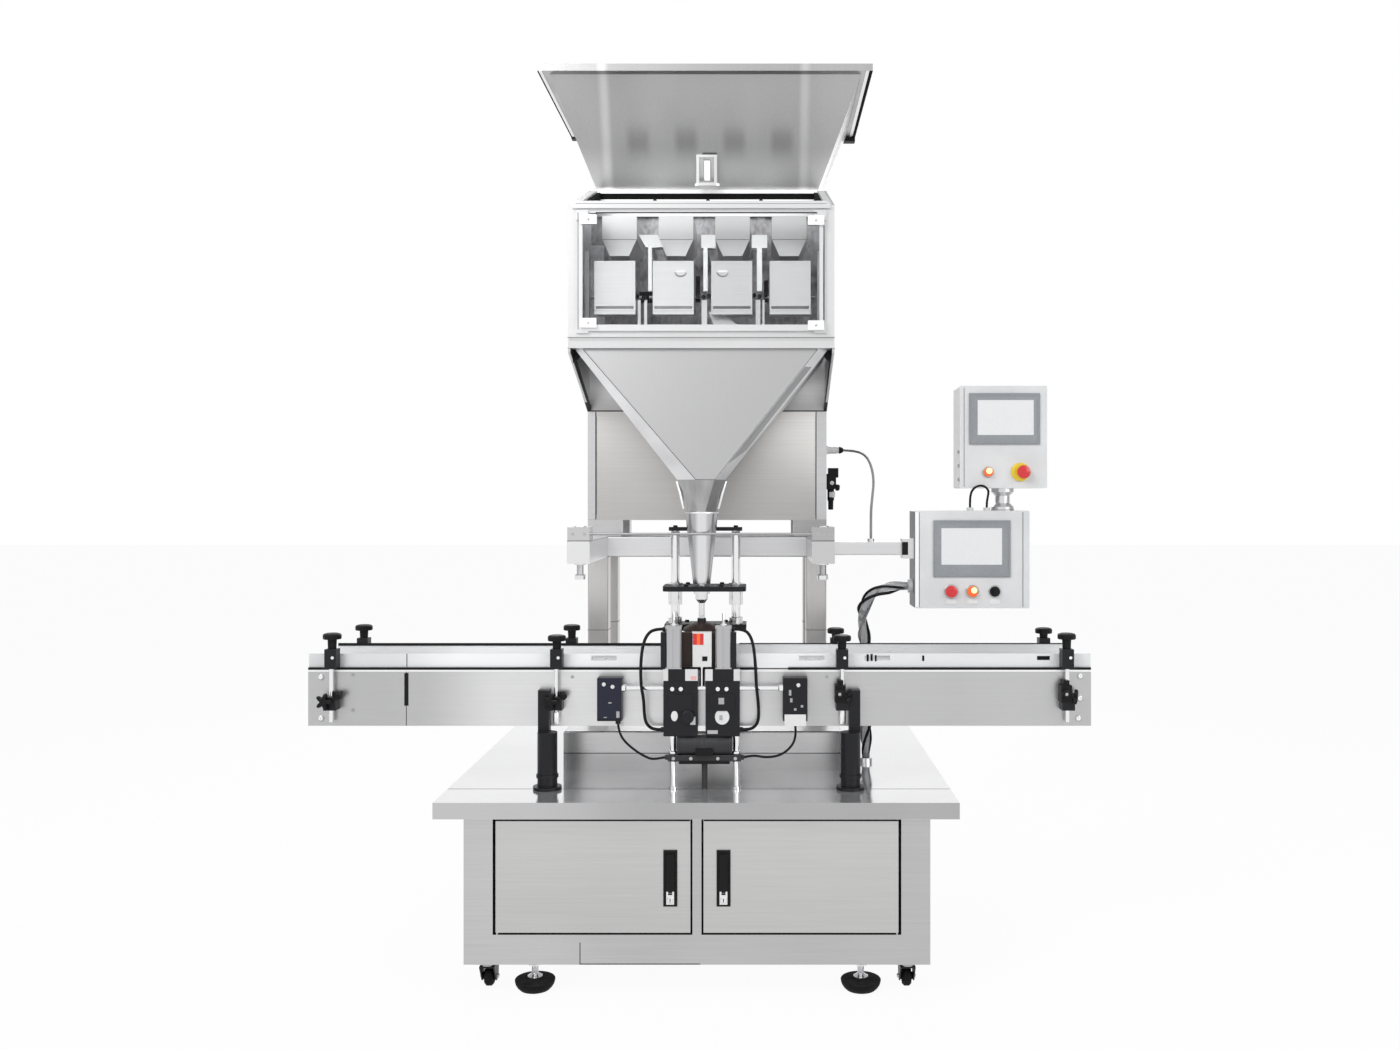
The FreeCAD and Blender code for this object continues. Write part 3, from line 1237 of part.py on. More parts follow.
def frustum(name, low, high):
    """A form with four flat sides between two levels, each a height, an X and a Y span."""
    prisms = []
    for role, across, along in (("XZ_Plane", 1, 2), ("YZ_Plane", 2, 1)):
        body = new_body(f"{name}_{role[:2].lower()}")
        outline = [(low[across][0], low[0]), (low[across][1], low[0]),
                   (high[across][1], high[0]), (high[across][0], high[0])]
        span = (min(low[along][0], high[along][0], key=lambda place: term(place).value),
                max(low[along][1], high[along][1], key=lambda place: term(place).value))
        extrude(body, role, span, [outline])
        prisms.append(body)
    common = doc.addObject("Part::MultiCommon", name)
    common.Shapes = prisms
    return common


def make_hopper():
    """The storage bin: leaning sheet walls with a flat rim round their top, and the gate."""
    forms = []
    for name, step in (("hopper_outside", 0), ("hopper_inside", s.hopper_sheet)):
        foot, half = s.hopper_foot_half - step, s.hopper_half - step
        low = (s.weigher_rear_top, (-foot, foot), (s.housing_front + step, s.weigher_rear - step))
        high = (s.hopper_top, (-half, half), (s.hopper_front + step, s.hopper_rear - step))
        forms.append(frustum(name, low, high))
    rim = new_body("hopper_rim")
    out, sheet = s.rim_width, s.hopper_sheet
    wide, half = s.hopper_half + out, s.hopper_half - sheet
    extrude(rim, "XY_Plane", (s.hopper_top, s.hopper_top + s.rim_height),
            [rectangle((-wide, wide), (s.hopper_front - out, s.hopper_rear + out)),
             rectangle((-half, half), (s.hopper_front + sheet, s.hopper_rear - sheet))])
    keep("hopper_bin", fuse("hopper_bin", [cut("hopper_walls", forms[0], forms[1:]), rim]))
    make_gate_handle()


def panel_y(z):
    """Y of the hopper's leaning front panel at a height."""
    lean = (s.hopper_front - s.housing_front) / (s.hopper_top - s.weigher_rear_top)
    return s.housing_front + (z - s.weigher_rear_top) * lean


def make_gate_handle():
    """The bracket of the feed gate, with its upright slot, on the leaning panel."""
    body = new_body("gate_handle")
    half, sheet = s.gate_width / 2, s.gate_sheet
    low = s.weigher_rear_top
    outline = [(panel_y(low), low), (panel_y(s.gate_high), s.gate_high),
               (panel_y(s.gate_high) - sheet, s.gate_high), (panel_y(low) - sheet, low)]
    extrude(body, "YZ_Plane", (-half, half), [outline])
    slot_half = s.gate_slot_width / 2
    middle = (low + s.gate_high) / 2
    top = middle + s.gate_slot_height / 2
    bottom = middle - s.gate_slot_height / 2
    front = panel_y(s.gate_high) - sheet - 1
    slot = [(front, bottom), (panel_y(bottom) - sheet / 2, bottom),
            (panel_y(top) - sheet / 2, top), (front, top)]
    extrude(body, "YZ_Plane", (-slot_half, slot_half), [slot], kind="Pocket")
    keep("gate_handle", body)


def make_funnel():
    """The big funnel from the weigher's floor: four leaning sheets, then square to round."""
    forms = []
    neck = None
    for name, kind, step in (("funnel_outside", "AdditiveLoft", 0),
                             ("funnel_inside", "SubtractiveLoft", s.funnel_sheet)):
        half, square = s.funnel_half - step, s.funnel_square / 2 - step
        waist = ((-square, square), (s.fill_y - square, s.fill_y + square))
        forms.append(frustum(name, (s.funnel_square_z, *waist),
                             (FLOOR_BOTTOM, (-half, half),
                              (s.funnel_front + step, s.funnel_rear - step))))
        neck = neck or new_body("funnel_neck")
        sketches = [draw(neck, "XY_Plane", s.funnel_square_z, [rectangle(*waist)]),
                    draw(neck, "XY_Plane", s.funnel_round_z, (),
                         [(0, s.fill_y, s.funnel_round - step)])]
        feature = neck.newObject(f"PartDesign::{kind}", name + "_neck")
        feature.Profile = sketches[0]
        feature.Sections = sketches[1:]
        feature.Ruled = True
    keep("funnel", fuse("funnel", [cut("funnel_sheets", forms[0], forms[1:]), neck]))
    wide, narrow, spout = s.funnel_round, s.outlet_radius, s.spout_radius
    sheet = s.spout_sheet
    profile = [(wide, s.funnel_round_z), (narrow, s.outlet_bottom), (spout, s.outlet_bottom),
               (spout, s.spout_bottom), (spout - sheet, s.spout_bottom),
               (spout - sheet, s.outlet_bottom + sheet), (narrow - sheet, s.outlet_bottom + sheet * 3),
               (wide - sheet, s.funnel_round_z)]
    keep("funnel_outlet", turned("funnel_outlet", profile, (0, s.fill_y, 0)))


# Control arm and boxes

BOX_REAR = s.box_front + s.box_depth
LOWER_TOP = s.lower_box_bottom + s.lower_box_height
UPPER_TOP = s.upper_box_bottom + s.upper_box_height


def make_control_arm():
    """The arm from the stand, its joint, and the post between the two boxes."""
    half = s.arm_tube / 2
    middle = s.arm_bottom + half
    arm = square_tube("control_arm_tube", "YZ_Plane", (STAND_HALF, STAND_HALF + s.arm_reach),
                      rectangle((s.arm_y - half, s.arm_y + half),
                                (s.arm_bottom, s.arm_bottom + s.arm_tube)))
    block = s.joint_block / 2
    start = STAND_HALF + s.arm_reach
    joint = slab("arm_joint", (start, s.lower_box_left), (s.arm_y - block, s.arm_y + block),
                 (middle - block, middle + block))
    gland = rod("arm_gland", "z", s.gland_radius,
                (STAND_HALF + s.cord_landing, s.arm_y, s.arm_bottom + s.arm_tube), s.gland_height)
    jointed = fuse("arm_with_joint", [arm, joint, gland])
    profile = [(0, 0), (s.cup_radius, 0), (s.cup_radius, s.cup_height / 2),
               (s.control_post_radius, s.cup_height),
               (s.control_post_radius, s.upper_box_bottom - LOWER_TOP - s.cup_height),
               (s.cup_radius, s.upper_box_bottom - LOWER_TOP - s.cup_height / 2),
               (s.cup_radius, s.upper_box_bottom - LOWER_TOP),
               (0, s.upper_box_bottom - LOWER_TOP)]
    post = turned("control_post", profile, (s.post_x, s.arm_y, LOWER_TOP))
    keep("control_arm", group("control_arm", [jointed, post]))


def control_box(name, x, z):
    """A closed box with rounded edges and a groove round its lid."""
    body = new_body(name)
    extrude(body, "XZ_Plane", (s.box_front, BOX_REAR), [rectangle(x, z)])
    round_edges(body, s.box_round, lambda edge: runs_along(edge, "y"))
    lid = s.box_front + s.lid_depth
    deep = s.lid_groove
    extrude(body, "XZ_Plane", (lid, lid + deep),
            [rectangle((x[0] - deep, x[1] + deep), (z[0] - deep, z[1] + deep)),
             rectangle((x[0] + deep, x[1] - deep), (z[0] + deep, z[1] - deep))],
            kind="Pocket")
    return body


def screen(name, middle, size, drop, top, display):
    """A bezel on a box's face with the display sunk in it."""
    body = new_body(name)
    wide, high = size[0] / 2, size[1]
    face = s.box_front
    z_top = top - drop
    extrude(body, "XZ_Plane", (face - s.bezel_sheet, face),
            [rectangle((middle - wide, middle + wide), (z_top - high, z_top))])
    show_wide, show_high = display[0] / 2, display[1]
    border = (size[0] - display[0]) / 2
    extrude(body, "XZ_Plane", (face - s.bezel_sheet, face - s.bezel_sheet + s.display_deep),
            [rectangle((middle - show_wide, middle + show_wide),
                       (z_top - border - show_high, z_top - border))], kind="Pocket")
    return body


def button(name, x, z, ring, radius, proud):
    """A round button: a ring on the face and a rounded head."""
    body = new_body(name)
    profile = [(0, 0), (ring, 0), (ring, s.button_ring), (radius, s.button_ring),
               (radius, proud - s.button_crown), (radius * 0.7, proud), (0, proud)]
    sketch = draw(body, "XZ_Plane", 0, [profile])
    feature = body.newObject("PartDesign::Revolution", name + "_turn")
    feature.Profile = sketch
    feature.ReferenceAxis = (origin_feature(body, "Z_Axis"), [""])
    feature.Angle = 360
    body.Placement = Placement(Vector(), Rotation(Vector(1, 0, 0), 90))
    put(body, (x, s.box_front, z))
    return body


def make_control_boxes():
    """The two boxes with their screens and buttons."""
    lower_x = (s.lower_box_left, s.lower_box_left + s.lower_box_width)
    upper_x = (s.upper_box_left, s.upper_box_left + s.upper_box_width)
    lower_middle = (lower_x[0] + lower_x[1]) / 2
    upper_middle = (upper_x[0] + upper_x[1]) / 2
    y = s.box_front + s.link_inset
    glands = [rod("link_gland", "z", s.gland_radius, (x, y, LOWER_TOP), s.gland_height)
              for x in (s.link_start, s.link_start + s.link_spacing)]
    glands.append(rod("hose_gland", "x", s.hose_gland_radius,
                      (s.lower_box_left - s.hose_gland, (s.box_front + BOX_REAR) / 2,
                       s.lower_box_bottom + s.hose_exit), s.hose_gland))
    lower = control_box("lower_box", lower_x, (s.lower_box_bottom, LOWER_TOP))
    boxes = [fuse("lower_box_unit", [lower] + glands),
             control_box("upper_box", upper_x, (s.upper_box_bottom, UPPER_TOP))]
    keep("control_boxes", group("control_boxes", boxes))
    display = (s.display_width, s.display_height)
    screens = [screen("lower_screen", lower_middle, (s.bezel_width, s.bezel_height),
                      s.bezel_drop, LOWER_TOP, display),
               screen("upper_screen", upper_middle, (s.upper_bezel_width, s.upper_bezel_height),
                      s.upper_bezel_drop, UPPER_TOP, display)]
    keep("control_screens", group("control_screens", screens))
    buttons = [button("panel_button", lower_middle + s.button_pitch * step,
                      s.lower_box_bottom + s.button_rise, s.button_ring_radius,
                      s.button_radius, s.button_proud) for step in (-1, 0, 1)]
    z = s.upper_box_bottom + s.upper_button_rise
    half = s.upper_button_pitch / 2
    buttons.append(button("lamp_button", upper_middle - half, z, s.button_radius,
                          s.lamp_radius, s.button_proud))
    buttons.append(button("stop_button", upper_middle + half, z, s.button_ring_radius + s.stop_ring,
                          s.stop_radius, s.stop_proud))
    keep("control_buttons", group("control_buttons", buttons))


def make_regulator():
    """The air regulator and the sensor plug on the weigher's right side."""
    half = s.regulator_block / 2
    x = STAND_HALF + half
    y = s.regulator_y
    low, high = s.regulator_bottom, s.regulator_bottom + s.regulator_block
    block = slab("regulator_block", (STAND_HALF, x + half), (y - half, y + half), (low, high))
    bowl_low = -s.regulator_bowl
    bowl = turned("regulator_bowl", [(0, bowl_low), (s.regulator_bowl_radius * 0.6, bowl_low),
                                     (s.regulator_bowl_radius, bowl_low + s.bowl_taper),
                                     (s.regulator_bowl_radius, 0), (0, 0)], (x, y, low))
    knob = rod("regulator_knob", "z", s.regulator_knob_radius, (x, y, high), s.regulator_knob)
    regulator = fuse("air_regulator", [block, bowl, knob])
    nut = rod("plug_nut", "x", s.plug_nut_radius, (STAND_HALF, y, s.plug_z), s.plug_nut)
    shell = rod("plug_shell", "x", s.plug_radius, (STAND_HALF, y, s.plug_z), s.plug_length)
    plug = fuse("sensor_plug", [nut, shell])
    keep("side_fittings", group("side_fittings", [regulator, plug]))


make_stand()
make_weigher_boxes()
make_weigher_walls()
make_feeder_pans()
make_weigh_buckets()
make_hopper()
make_funnel()
make_control_arm()
make_control_boxes()
make_regulator()

# Cords


def cord(label, diameter, start, leaving, arriving, end):
    """A cord as straight runs joined by arcs as large as the runs allow.

    Points in leaving are offsets from the start, and points in arriving from the end."""
    start, end = (Vector(*(term(part).value for part in place)) for place in (start, end))
    points = [start] + [start + Vector(*step) for step in leaving]
    points += [end + Vector(*step) for step in arriving] + [end]
    edges, radii, here = [], [], start
    for before, corner, after in zip(points, points[1:], points[2:]):
        way_in, way_out = (corner - before).normalize(), (after - corner).normalize()
        run = min((corner - before).Length, (after - corner).Length)
        half_turn = way_in.getAngle(way_out) / 2
        radius = 0.45 * run / math.tan(half_turn)
        reach = radius * math.tan(half_turn)
        arc_start, arc_end = corner - way_in * reach, corner + way_out * reach
        inward = (way_out - way_in).normalize()
        middle = corner + inward * (radius / math.cos(half_turn) - radius)
        edges.append(Part.LineSegment(here, arc_start).toShape())
        edges.append(Part.Arc(arc_start, middle, arc_end).toShape())
        radii.append(round(radius))
        here = arc_end
    edges.append(Part.LineSegment(here, end).toShape())
    path = Part.Wire(edges)
    section = Part.Wire(Part.Circle(start, points[1] - start, diameter.value / 2).toShape())
    tube = path.makePipe(Part.Face(section))
    expected = math.pi * (diameter.value / 2) ** 2 * path.Length
    if abs(tube.Volume / expected - 1) > 0.01:
        raise RuntimeError(f"{label} has {tube.Volume:.0f} mm3 and not {expected:.0f}")
    piece = doc.addObject("Part::Feature", label)
    piece.Shape = tube
    keep(label, piece)
    runs = [round((b - a).Length) for a, b in zip(points, points[1:])]
    print(label, "length", round(path.Length), "radii", radii, "runs", runs)
    print(label, "points", [tuple(round(part, 1) for part in point) for point in points])


def make_cords():
    """The cables and air hoses between the machine's own parts."""
    cord("sensor_cable", s.sensor_cord,
         (STAND_HALF + s.plug_length, s.regulator_y, s.plug_z),
         [(48, 0, 0), (82, -48, -14), (93, -128, -50), (92, -212, -94)],
         [(13, 98, 112), (4, 38, 78), (0, 0, 40)],
         (STAND_HALF + s.cord_landing, s.arm_y, s.arm_bottom + s.arm_tube + s.gland_height))
    y = s.box_front + s.link_inset
    top = LOWER_TOP + s.gland_height
    cord("link_cable", s.link_cord, (s.link_start, y, top),
         [(0, 0, 14), (-1, -11, 30), (0, -29, 45), (13, -35, 57)],
         [(-13, -35, 57), (0, -29, 45), (1, -11, 30), (0, 0, 14)],
         (s.link_start + s.link_spacing, y, top))
    cord("panel_hose", s.panel_cord,
         (s.lower_box_left - s.hose_gland, (s.box_front + BOX_REAR) / 2,
          s.lower_box_bottom + s.hose_exit),
         [(-60, 0, 0), (-104, 20, -30), (-120, 70, -92)],
         [(-3, -28, 323), (-1, -2, 238), (3, 4, 151), (0, 0, 70)],
         (s.hose_table_x, s.hose_table_y, s.table_height + s.hose_gland))
    top = STOP_TOP + s.cylinder_height - s.fitting_drop
    rear = s.stop_rod_y + s.carrier_depth / 2
    y = rear - s.cylinder_depth / 2
    bar_z = s.vibrator_bar_bottom + s.vibrator_bar / 2
    half = s.cylinder_width / 2 + s.fitting
    bar = s.vibrator_bar_width / 2 + s.fitting
    carrier = s.carrier_width / 2 + s.fitting
    landing = s.carrier_bottom + s.hose_landing
    cord("left_air_hose", s.air_cord, (s.cylinder_left - half, y, top),
         [(-24, 0, 0), (-42, -6, -17), (-51, -15, -48), (-54, -24, -92), (-52, -30, -140)],
         [(-41, -23, 80), (-41, -12, 48), (-39, -3, 23), (-31, 0, 8), (-16, 0, 0)],
         (s.carrier_left - carrier, s.stop_rod_y, landing))
    cord("right_air_hose", s.air_cord, (s.cylinder_right + half, y, top),
         [(24, 0, 0), (41, -6, -17), (49, -15, -48), (53, -24, -92), (55, -30, -140)],
         [(38, -23, 80), (40, -12, 48), (39, -3, 23), (31, 0, 8), (16, 0, 0)],
         (s.carrier_right + carrier, s.stop_rod_y, landing))
    low = s.stop_block_bottom - s.fitting
    cord("left_block_cable", s.block_cord, (block_cord_x("left"), s.stop_rod_y, low),
         [(0, 0, -22), (12, -4, -48), (39, -6, -74)],
         [(-43, -5, -7), (-20, 0, 0)],
         (s.vibrator_x - bar, s.stop_rod_y, bar_z))
    cord("right_block_cable", s.block_cord, (block_cord_x("right"), s.stop_rod_y, low),
         [(0, 0, -22), (-13, -4, -48), (-42, -6, -72)],
         [(48, -5, -6), (22, 0, 0)],
         (s.vibrator_x + bar, s.stop_rod_y, bar_z))


make_cords()


def check_and_write():
    """Stop on any failed object, then write each sub-part to its own file."""
    doc.recompute()
    for item in doc.Objects:
        if "Invalid" in item.State or "Error" in item.State:
            raise RuntimeError(f"{item.Name} failed: {item.State}")
        if item.TypeId in ("PartDesign::Pocket", "PartDesign::Groove"):
            if item.Shape.Volume > item.BaseFeature.Shape.Volume - 1e-6:
                raise RuntimeError(f"{item.Name} cuts nothing")
    os.makedirs("parts", exist_ok=True)
    for label, item in NODES.items():
        if item.Shape.isNull() or not item.Shape.isValid() or not item.Shape.Solids:
            raise RuntimeError(f"{label} has no valid solid")
        item.Shape.exportStep(f"parts/{label}.step")
    print(len(NODES), "sub-parts written")


check_and_write()
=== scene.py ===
"""Finishes, lights and fine pieces of a granule filling machine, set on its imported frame."""
import logging
import math
from dataclasses import dataclass
from enum import Enum
from typing import Any, Sequence

import bmesh
import bpy
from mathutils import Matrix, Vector


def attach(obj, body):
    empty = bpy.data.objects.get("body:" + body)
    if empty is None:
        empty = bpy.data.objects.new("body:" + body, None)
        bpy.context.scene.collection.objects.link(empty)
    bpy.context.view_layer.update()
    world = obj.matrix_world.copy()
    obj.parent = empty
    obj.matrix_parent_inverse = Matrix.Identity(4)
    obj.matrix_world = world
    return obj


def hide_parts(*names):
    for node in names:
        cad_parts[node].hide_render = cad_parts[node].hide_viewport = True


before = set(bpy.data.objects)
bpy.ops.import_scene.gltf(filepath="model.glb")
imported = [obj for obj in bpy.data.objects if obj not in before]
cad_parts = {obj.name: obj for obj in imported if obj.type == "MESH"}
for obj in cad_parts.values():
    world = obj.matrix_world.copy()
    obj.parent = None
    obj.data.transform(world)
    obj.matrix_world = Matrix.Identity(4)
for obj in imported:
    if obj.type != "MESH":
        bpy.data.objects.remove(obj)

LOG = logging.getLogger("filling_machine")
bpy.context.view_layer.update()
MILLIMETRES = 1000.0
Point = tuple[float, float, float]
Pair = tuple[float, float]
Socket = bpy.types.NodeSocket
ORIGIN, WHITE = (0.0, 0.0, 0.0), (1.0, 1.0, 1.0, 1.0)
EAST, SOUTH, UP = (1.0, 0.0, 0.0), (0.0, -1.0, 0.0), (0.0, 0.0, 1.0)


class Graph:
    """A node tree with short calls to add nodes and to join them."""

    def __init__(self, tree: bpy.types.NodeTree) -> None:
        """Keeps the tree."""
        self.tree = tree

    def feed(self, socket: Socket, value: Any) -> None:
        """Joins a socket to another one, or sets its value.

        Args:
            socket: the input.
            value: an output socket or a plain value.
        """
        if isinstance(value, bpy.types.NodeSocket):
            self.tree.links.new(value, socket)
        else:
            socket.default_value = value

    def add(self, kind: str, inputs: dict | None = None, **settings: Any) -> bpy.types.Node:
        """Adds a node.

        Args:
            kind: the node's type.
            inputs: values or sockets, by input name or number.
            settings: the node's own options.

        Returns:
            The node.
        """
        node = self.tree.nodes.new(kind)
        for key, value in settings.items():
            setattr(node, key, value)
        for key, value in (inputs or {}).items():
            self.feed(node.inputs[key], value)
        return node

    def group(self, tree: bpy.types.NodeTree, **values: Any) -> Any:
        """Adds a shader node group.

        Args:
            tree: the group.
            values: its inputs by name, in lower case and with _ for spaces.

        Returns:
            The node's outputs.
        """
        node = self.add("ShaderNodeGroup", node_tree=tree)
        for key, value in values.items():
            self.feed(node.inputs[key.replace("_", " ").title()], value)
        return node.outputs

    def math(self, operation: str, *values: Any) -> Socket:
        """Adds a Math node and returns its value."""
        return self.add("ShaderNodeMath", dict(enumerate(values)), operation=operation).outputs[0]

    def times(self, product: Any, *factors: Any) -> Socket:
        """Multiplies values in turn.

        Args:
            product: the first value.
            factors: those that it is multiplied by.

        Returns:
            The product.
        """
        for factor in factors:
            product = self.math("MULTIPLY", product, factor)
        return product

    def vector(self, operation: str, first: Any, second: Any, result: str = "Vector") -> Socket:
        """Adds a Vector Math node of two vectors and returns its vector or value."""
        return self.add("ShaderNodeVectorMath", {0: first, 1: second}, operation=operation).outputs[result]

    def split(self, vector: Socket) -> Any:
        """Splits a vector and returns the sockets of its three parts."""
        return self.add("ShaderNodeSeparateXYZ", {0: vector}).outputs

    def joint(self, x: Any = 0.0, y: Any = 0.0, z: Any = 0.0) -> Socket:
        """Joins three numbers or sockets into a vector and returns it."""
        return self.add("ShaderNodeCombineXYZ", {0: x, 1: y, 2: z}).outputs[0]

    def noise(self, place: Socket, scale: Any, detail: float) -> Socket:
        """Adds a noise texture and returns its value."""
        return self.add("ShaderNodeTexNoise", {"Vector": place, "Scale": scale, "Detail": detail}).outputs["Fac"]

    def ramp(
        self, value: Any, low: Any, high: Any, start: Any = 0.0, end: Any = 1.0, blend: str = "LINEAR"
    ) -> Socket:
        """Spreads a value from one range over another, held at both ends.

        Args:
            value: the socket that is spread.
            low: its lowest value of use.
            high: its highest value of use.
            start: the result at the lowest.
            end: the result at the highest.
            blend: the way between them.

        Returns:
            The spread value.
        """
        inputs = dict(enumerate((value, low, high, start, end)))
        return self.add("ShaderNodeMapRange", inputs, interpolation_type=blend).outputs[0]


def shader_group(name: str, inputs: dict[str, Any], *outputs: str) -> tuple[Graph, Any, Any]:
    """Starts a shader node group, whose first input is the coordinates.

    Args:
        name: the group's name.
        inputs: the first value of each other input by name, a tuple for a vector.
        outputs: the names of the numbers that it gives.

    Returns:
        The group's graph, its inputs and its outputs.
    """
    tree = bpy.data.node_groups.new(name, "ShaderNodeTree")
    for label, value in {"Coordinates": ORIGIN, **inputs}.items():
        kind = "NodeSocketVector" if isinstance(value, tuple) else "NodeSocketFloat"
        tree.interface.new_socket(label, in_out="INPUT", socket_type=kind).default_value = value
    for label in outputs:
        tree.interface.new_socket(label, in_out="OUTPUT", socket_type="NodeSocketFloat")
    return Graph(tree), tree.nodes.new("NodeGroupInput").outputs, tree.nodes.new("NodeGroupOutput").inputs


class Effects:
    """The shader effects that several finishes share, each built once."""

    def __init__(self) -> None:
        """Builds the groups."""
        self.grain = self.build_grain()
        self.dust = self.build_dust()
        self.wear = self.build_wear()
        self.shade = self.build_shade()
        self.patches = self.build_patches()

    @staticmethod
    def build_grain() -> bpy.types.NodeTree:
        """Builds the streaks and soft clouds of a brushed or rolled surface.

        Returns:
            The group, which gives a tone about 1 and a height.
        """
        inputs = {"Stretch": ORIGIN, "Streaks": 0.1, "Clouds": 0.1, "Cloud Size": 3.0, "Cloud Stretch": (1.0, 1.0, 1.0)}
        graph, given, result = shader_group("brushed_grain", inputs, "Tone", "Height")
        place = given["Coordinates"]
        fine = graph.noise(graph.vector("MULTIPLY", place, given["Stretch"]), 1.0, 3.0)
        wide = graph.noise(graph.vector("MULTIPLY", place, given["Cloud Stretch"]), given["Cloud Size"], 2.0)
        streaks = graph.times(graph.math("SUBTRACT", fine, 0.5), given["Streaks"])
        clouds = graph.times(graph.math("SUBTRACT", wide, 0.5), given["Clouds"])
        graph.feed(result["Tone"], graph.math("ADD", graph.math("ADD", streaks, clouds), 1.0))
        graph.feed(result["Height"], fine)
        return graph.tree

    @staticmethod
    def build_dust() -> bpy.types.NodeTree:
        """Builds the thin uneven dust that lies on upper faces.

        Returns:
            The group, which gives a mask.
        """
        graph, given, result = shader_group("settled_dust", {"Amount": 0.2}, "Mask")
        normal = graph.add("ShaderNodeNewGeometry").outputs["Normal"]
        upward = graph.ramp(graph.split(normal)[2], 0.3, 0.9)
        specks = graph.ramp(graph.noise(given["Coordinates"], 38.0, 5.0), 0.35, 0.75)
        graph.feed(result["Mask"], graph.times(upward, specks, given["Amount"]))
        return graph.tree

    @staticmethod
    def build_wear() -> bpy.types.NodeTree:
        """Builds the rubbed look of edges, from the turn of the surface within a small radius.

        Returns:
            The group, which gives a mask.
        """
        graph, given, result = shader_group("rubbed_edges", {"Radius": 0.002, "Amount": 0.5}, "Mask")
        rounded = graph.add("ShaderNodeBevel", {"Radius": given["Radius"]}, samples=2).outputs[0]
        flat = graph.add("ShaderNodeNewGeometry").outputs["True Normal"]
        turn = graph.ramp(graph.vector("DOT_PRODUCT", rounded, flat, "Value"), 0.97, 0.8)
        worn = graph.ramp(graph.noise(given["Coordinates"], 60.0, 4.0), 0.3, 0.65)
        graph.feed(result["Mask"], graph.times(turn, worn, given["Amount"]))
        return graph.tree

    @staticmethod
    def build_shade() -> bpy.types.NodeTree:
        """Builds painted light and shade: a soft change of tone along one direction of the piece.

        Returns:
            The group, which gives a tone from Start to End.
        """
        inputs = {"Direction": UP, "Low": 0.0, "High": 1.0, "Start": 1.0, "End": 1.0, "Front": 100.0}
        graph, given, result = shader_group("painted_panel_shade", inputs, "Tone")
        # Painted light and shade: the tone along the direction brightens or darkens the colour.
        along = graph.vector("DOT_PRODUCT", given["Coordinates"], given["Direction"], "Value")
        tone = graph.ramp(along, *(given[name] for name in ("Low", "High", "Start", "End")), "SMOOTHSTEP")
        before = graph.math("LESS_THAN", graph.split(given["Coordinates"])[1], given["Front"])
        change = graph.times(graph.math("SUBTRACT", tone, 1.0), before)
        graph.feed(result["Tone"], graph.math("ADD", change, 1.0))
        return graph.tree

    @staticmethod
    def build_patches() -> bpy.types.NodeTree:
        """Builds a level row of soft dark patches at an even pitch, painted as reflections.

        Returns:
            The group, which gives a tone of 1 or less.
        """
        names = ("Pitch", "Shift", "Level", "Spread", "Depth", "Reach", "Front")
        graph, given, result = shader_group("painted_reflection_patches", dict.fromkeys(names, 1.0), "Tone")
        x, y, z = graph.split(given["Coordinates"])
        turn = graph.math("DIVIDE", graph.math("SUBTRACT", x, given["Shift"]), given["Pitch"])
        wave = graph.ramp(graph.math("COSINE", graph.times(turn, math.tau)), -0.25, 0.6)
        middle = graph.math("ABSOLUTE", graph.times(graph.math("ADD", turn, 0.5), given["Pitch"]))
        within = graph.math("LESS_THAN", middle, given["Reach"])
        before = graph.math("LESS_THAN", y, given["Front"])
        away = graph.math("ABSOLUTE", graph.math("SUBTRACT", z, given["Level"]))
        near = graph.ramp(away, 0.0, given["Spread"], 1.0, 0.0, "SMOOTHSTEP")
        mark = graph.times(wave, within, before, near, given["Depth"])
        graph.feed(result["Tone"], graph.math("SUBTRACT", 1.0, mark))
        return graph.tree


EFFECTS = Effects()


class Brush(Enum):
    """The way in which steel was brushed, as the stretch of its streaks on each axis."""

    ALONG_X = (5.0, 300.0, 300.0)
    ALONG_Y = (300.0, 5.0, 300.0)
    ALONG_Z = (300.0, 300.0, 5.0)
    EVEN = (140.0, 140.0, 140.0)
    COARSE = (95.0, 95.0, 60.0)


@dataclass(frozen=True)
class PaintedShade:
    """Painted light and shade: a soft change of tone over a panel, in front of one depth."""

    low: float
    high: float
    start: float
    end: float
    direction: Point = UP
    front: float = 100.0


@dataclass(frozen=True)
class PaintedReflections:
    """A row of soft darker patches painted as reflections, as a polished panel mirrors what stands before it."""

    pitch: float
    shift: float
    level: float
    spread: float
    depth: float
    reach: float
    front: float


@dataclass(frozen=True)
class Finish:
    """What every finish has: a name, a colour, a roughness and the slot that it belongs to."""

    name: str
    colour: Point = (0.6, 0.6, 0.6)
    roughness: float = 0.4
    slot: str = "brushed_steel"

    def start(self) -> tuple[bpy.types.Material, Graph, Any, Socket]:
        """Starts the material.

        Returns:
            The material, its graph, the inputs of its Principled shader and the object coordinates.
        """
        material = bpy.data.materials.new(self.name)
        material.use_nodes = True
        graph = Graph(material.node_tree)
        shader = material.node_tree.nodes["Principled BSDF"].inputs
        shader["Roughness"].default_value = self.roughness
        return material, graph, shader, graph.add("ShaderNodeTexCoord").outputs["Object"]

    def tinted(self, graph: Graph, tone: Socket) -> Socket:
        """Multiplies the finish's colour by a tone and returns it."""
        return graph.add("ShaderNodeVectorMath", {0: self.colour, "Scale": tone}, operation="SCALE").outputs[0]

    def relief(self, graph: Graph, strength: float, distance: float, height: Socket) -> Socket:
        """Adds a Bump node and returns its normal."""
        inputs = {"Strength": strength, "Distance": distance, "Height": height}
        return graph.add("ShaderNodeBump", inputs).outputs[0]

    def material(self) -> bpy.types.Material:
        """Builds the finish's material."""
        raise NotImplementedError


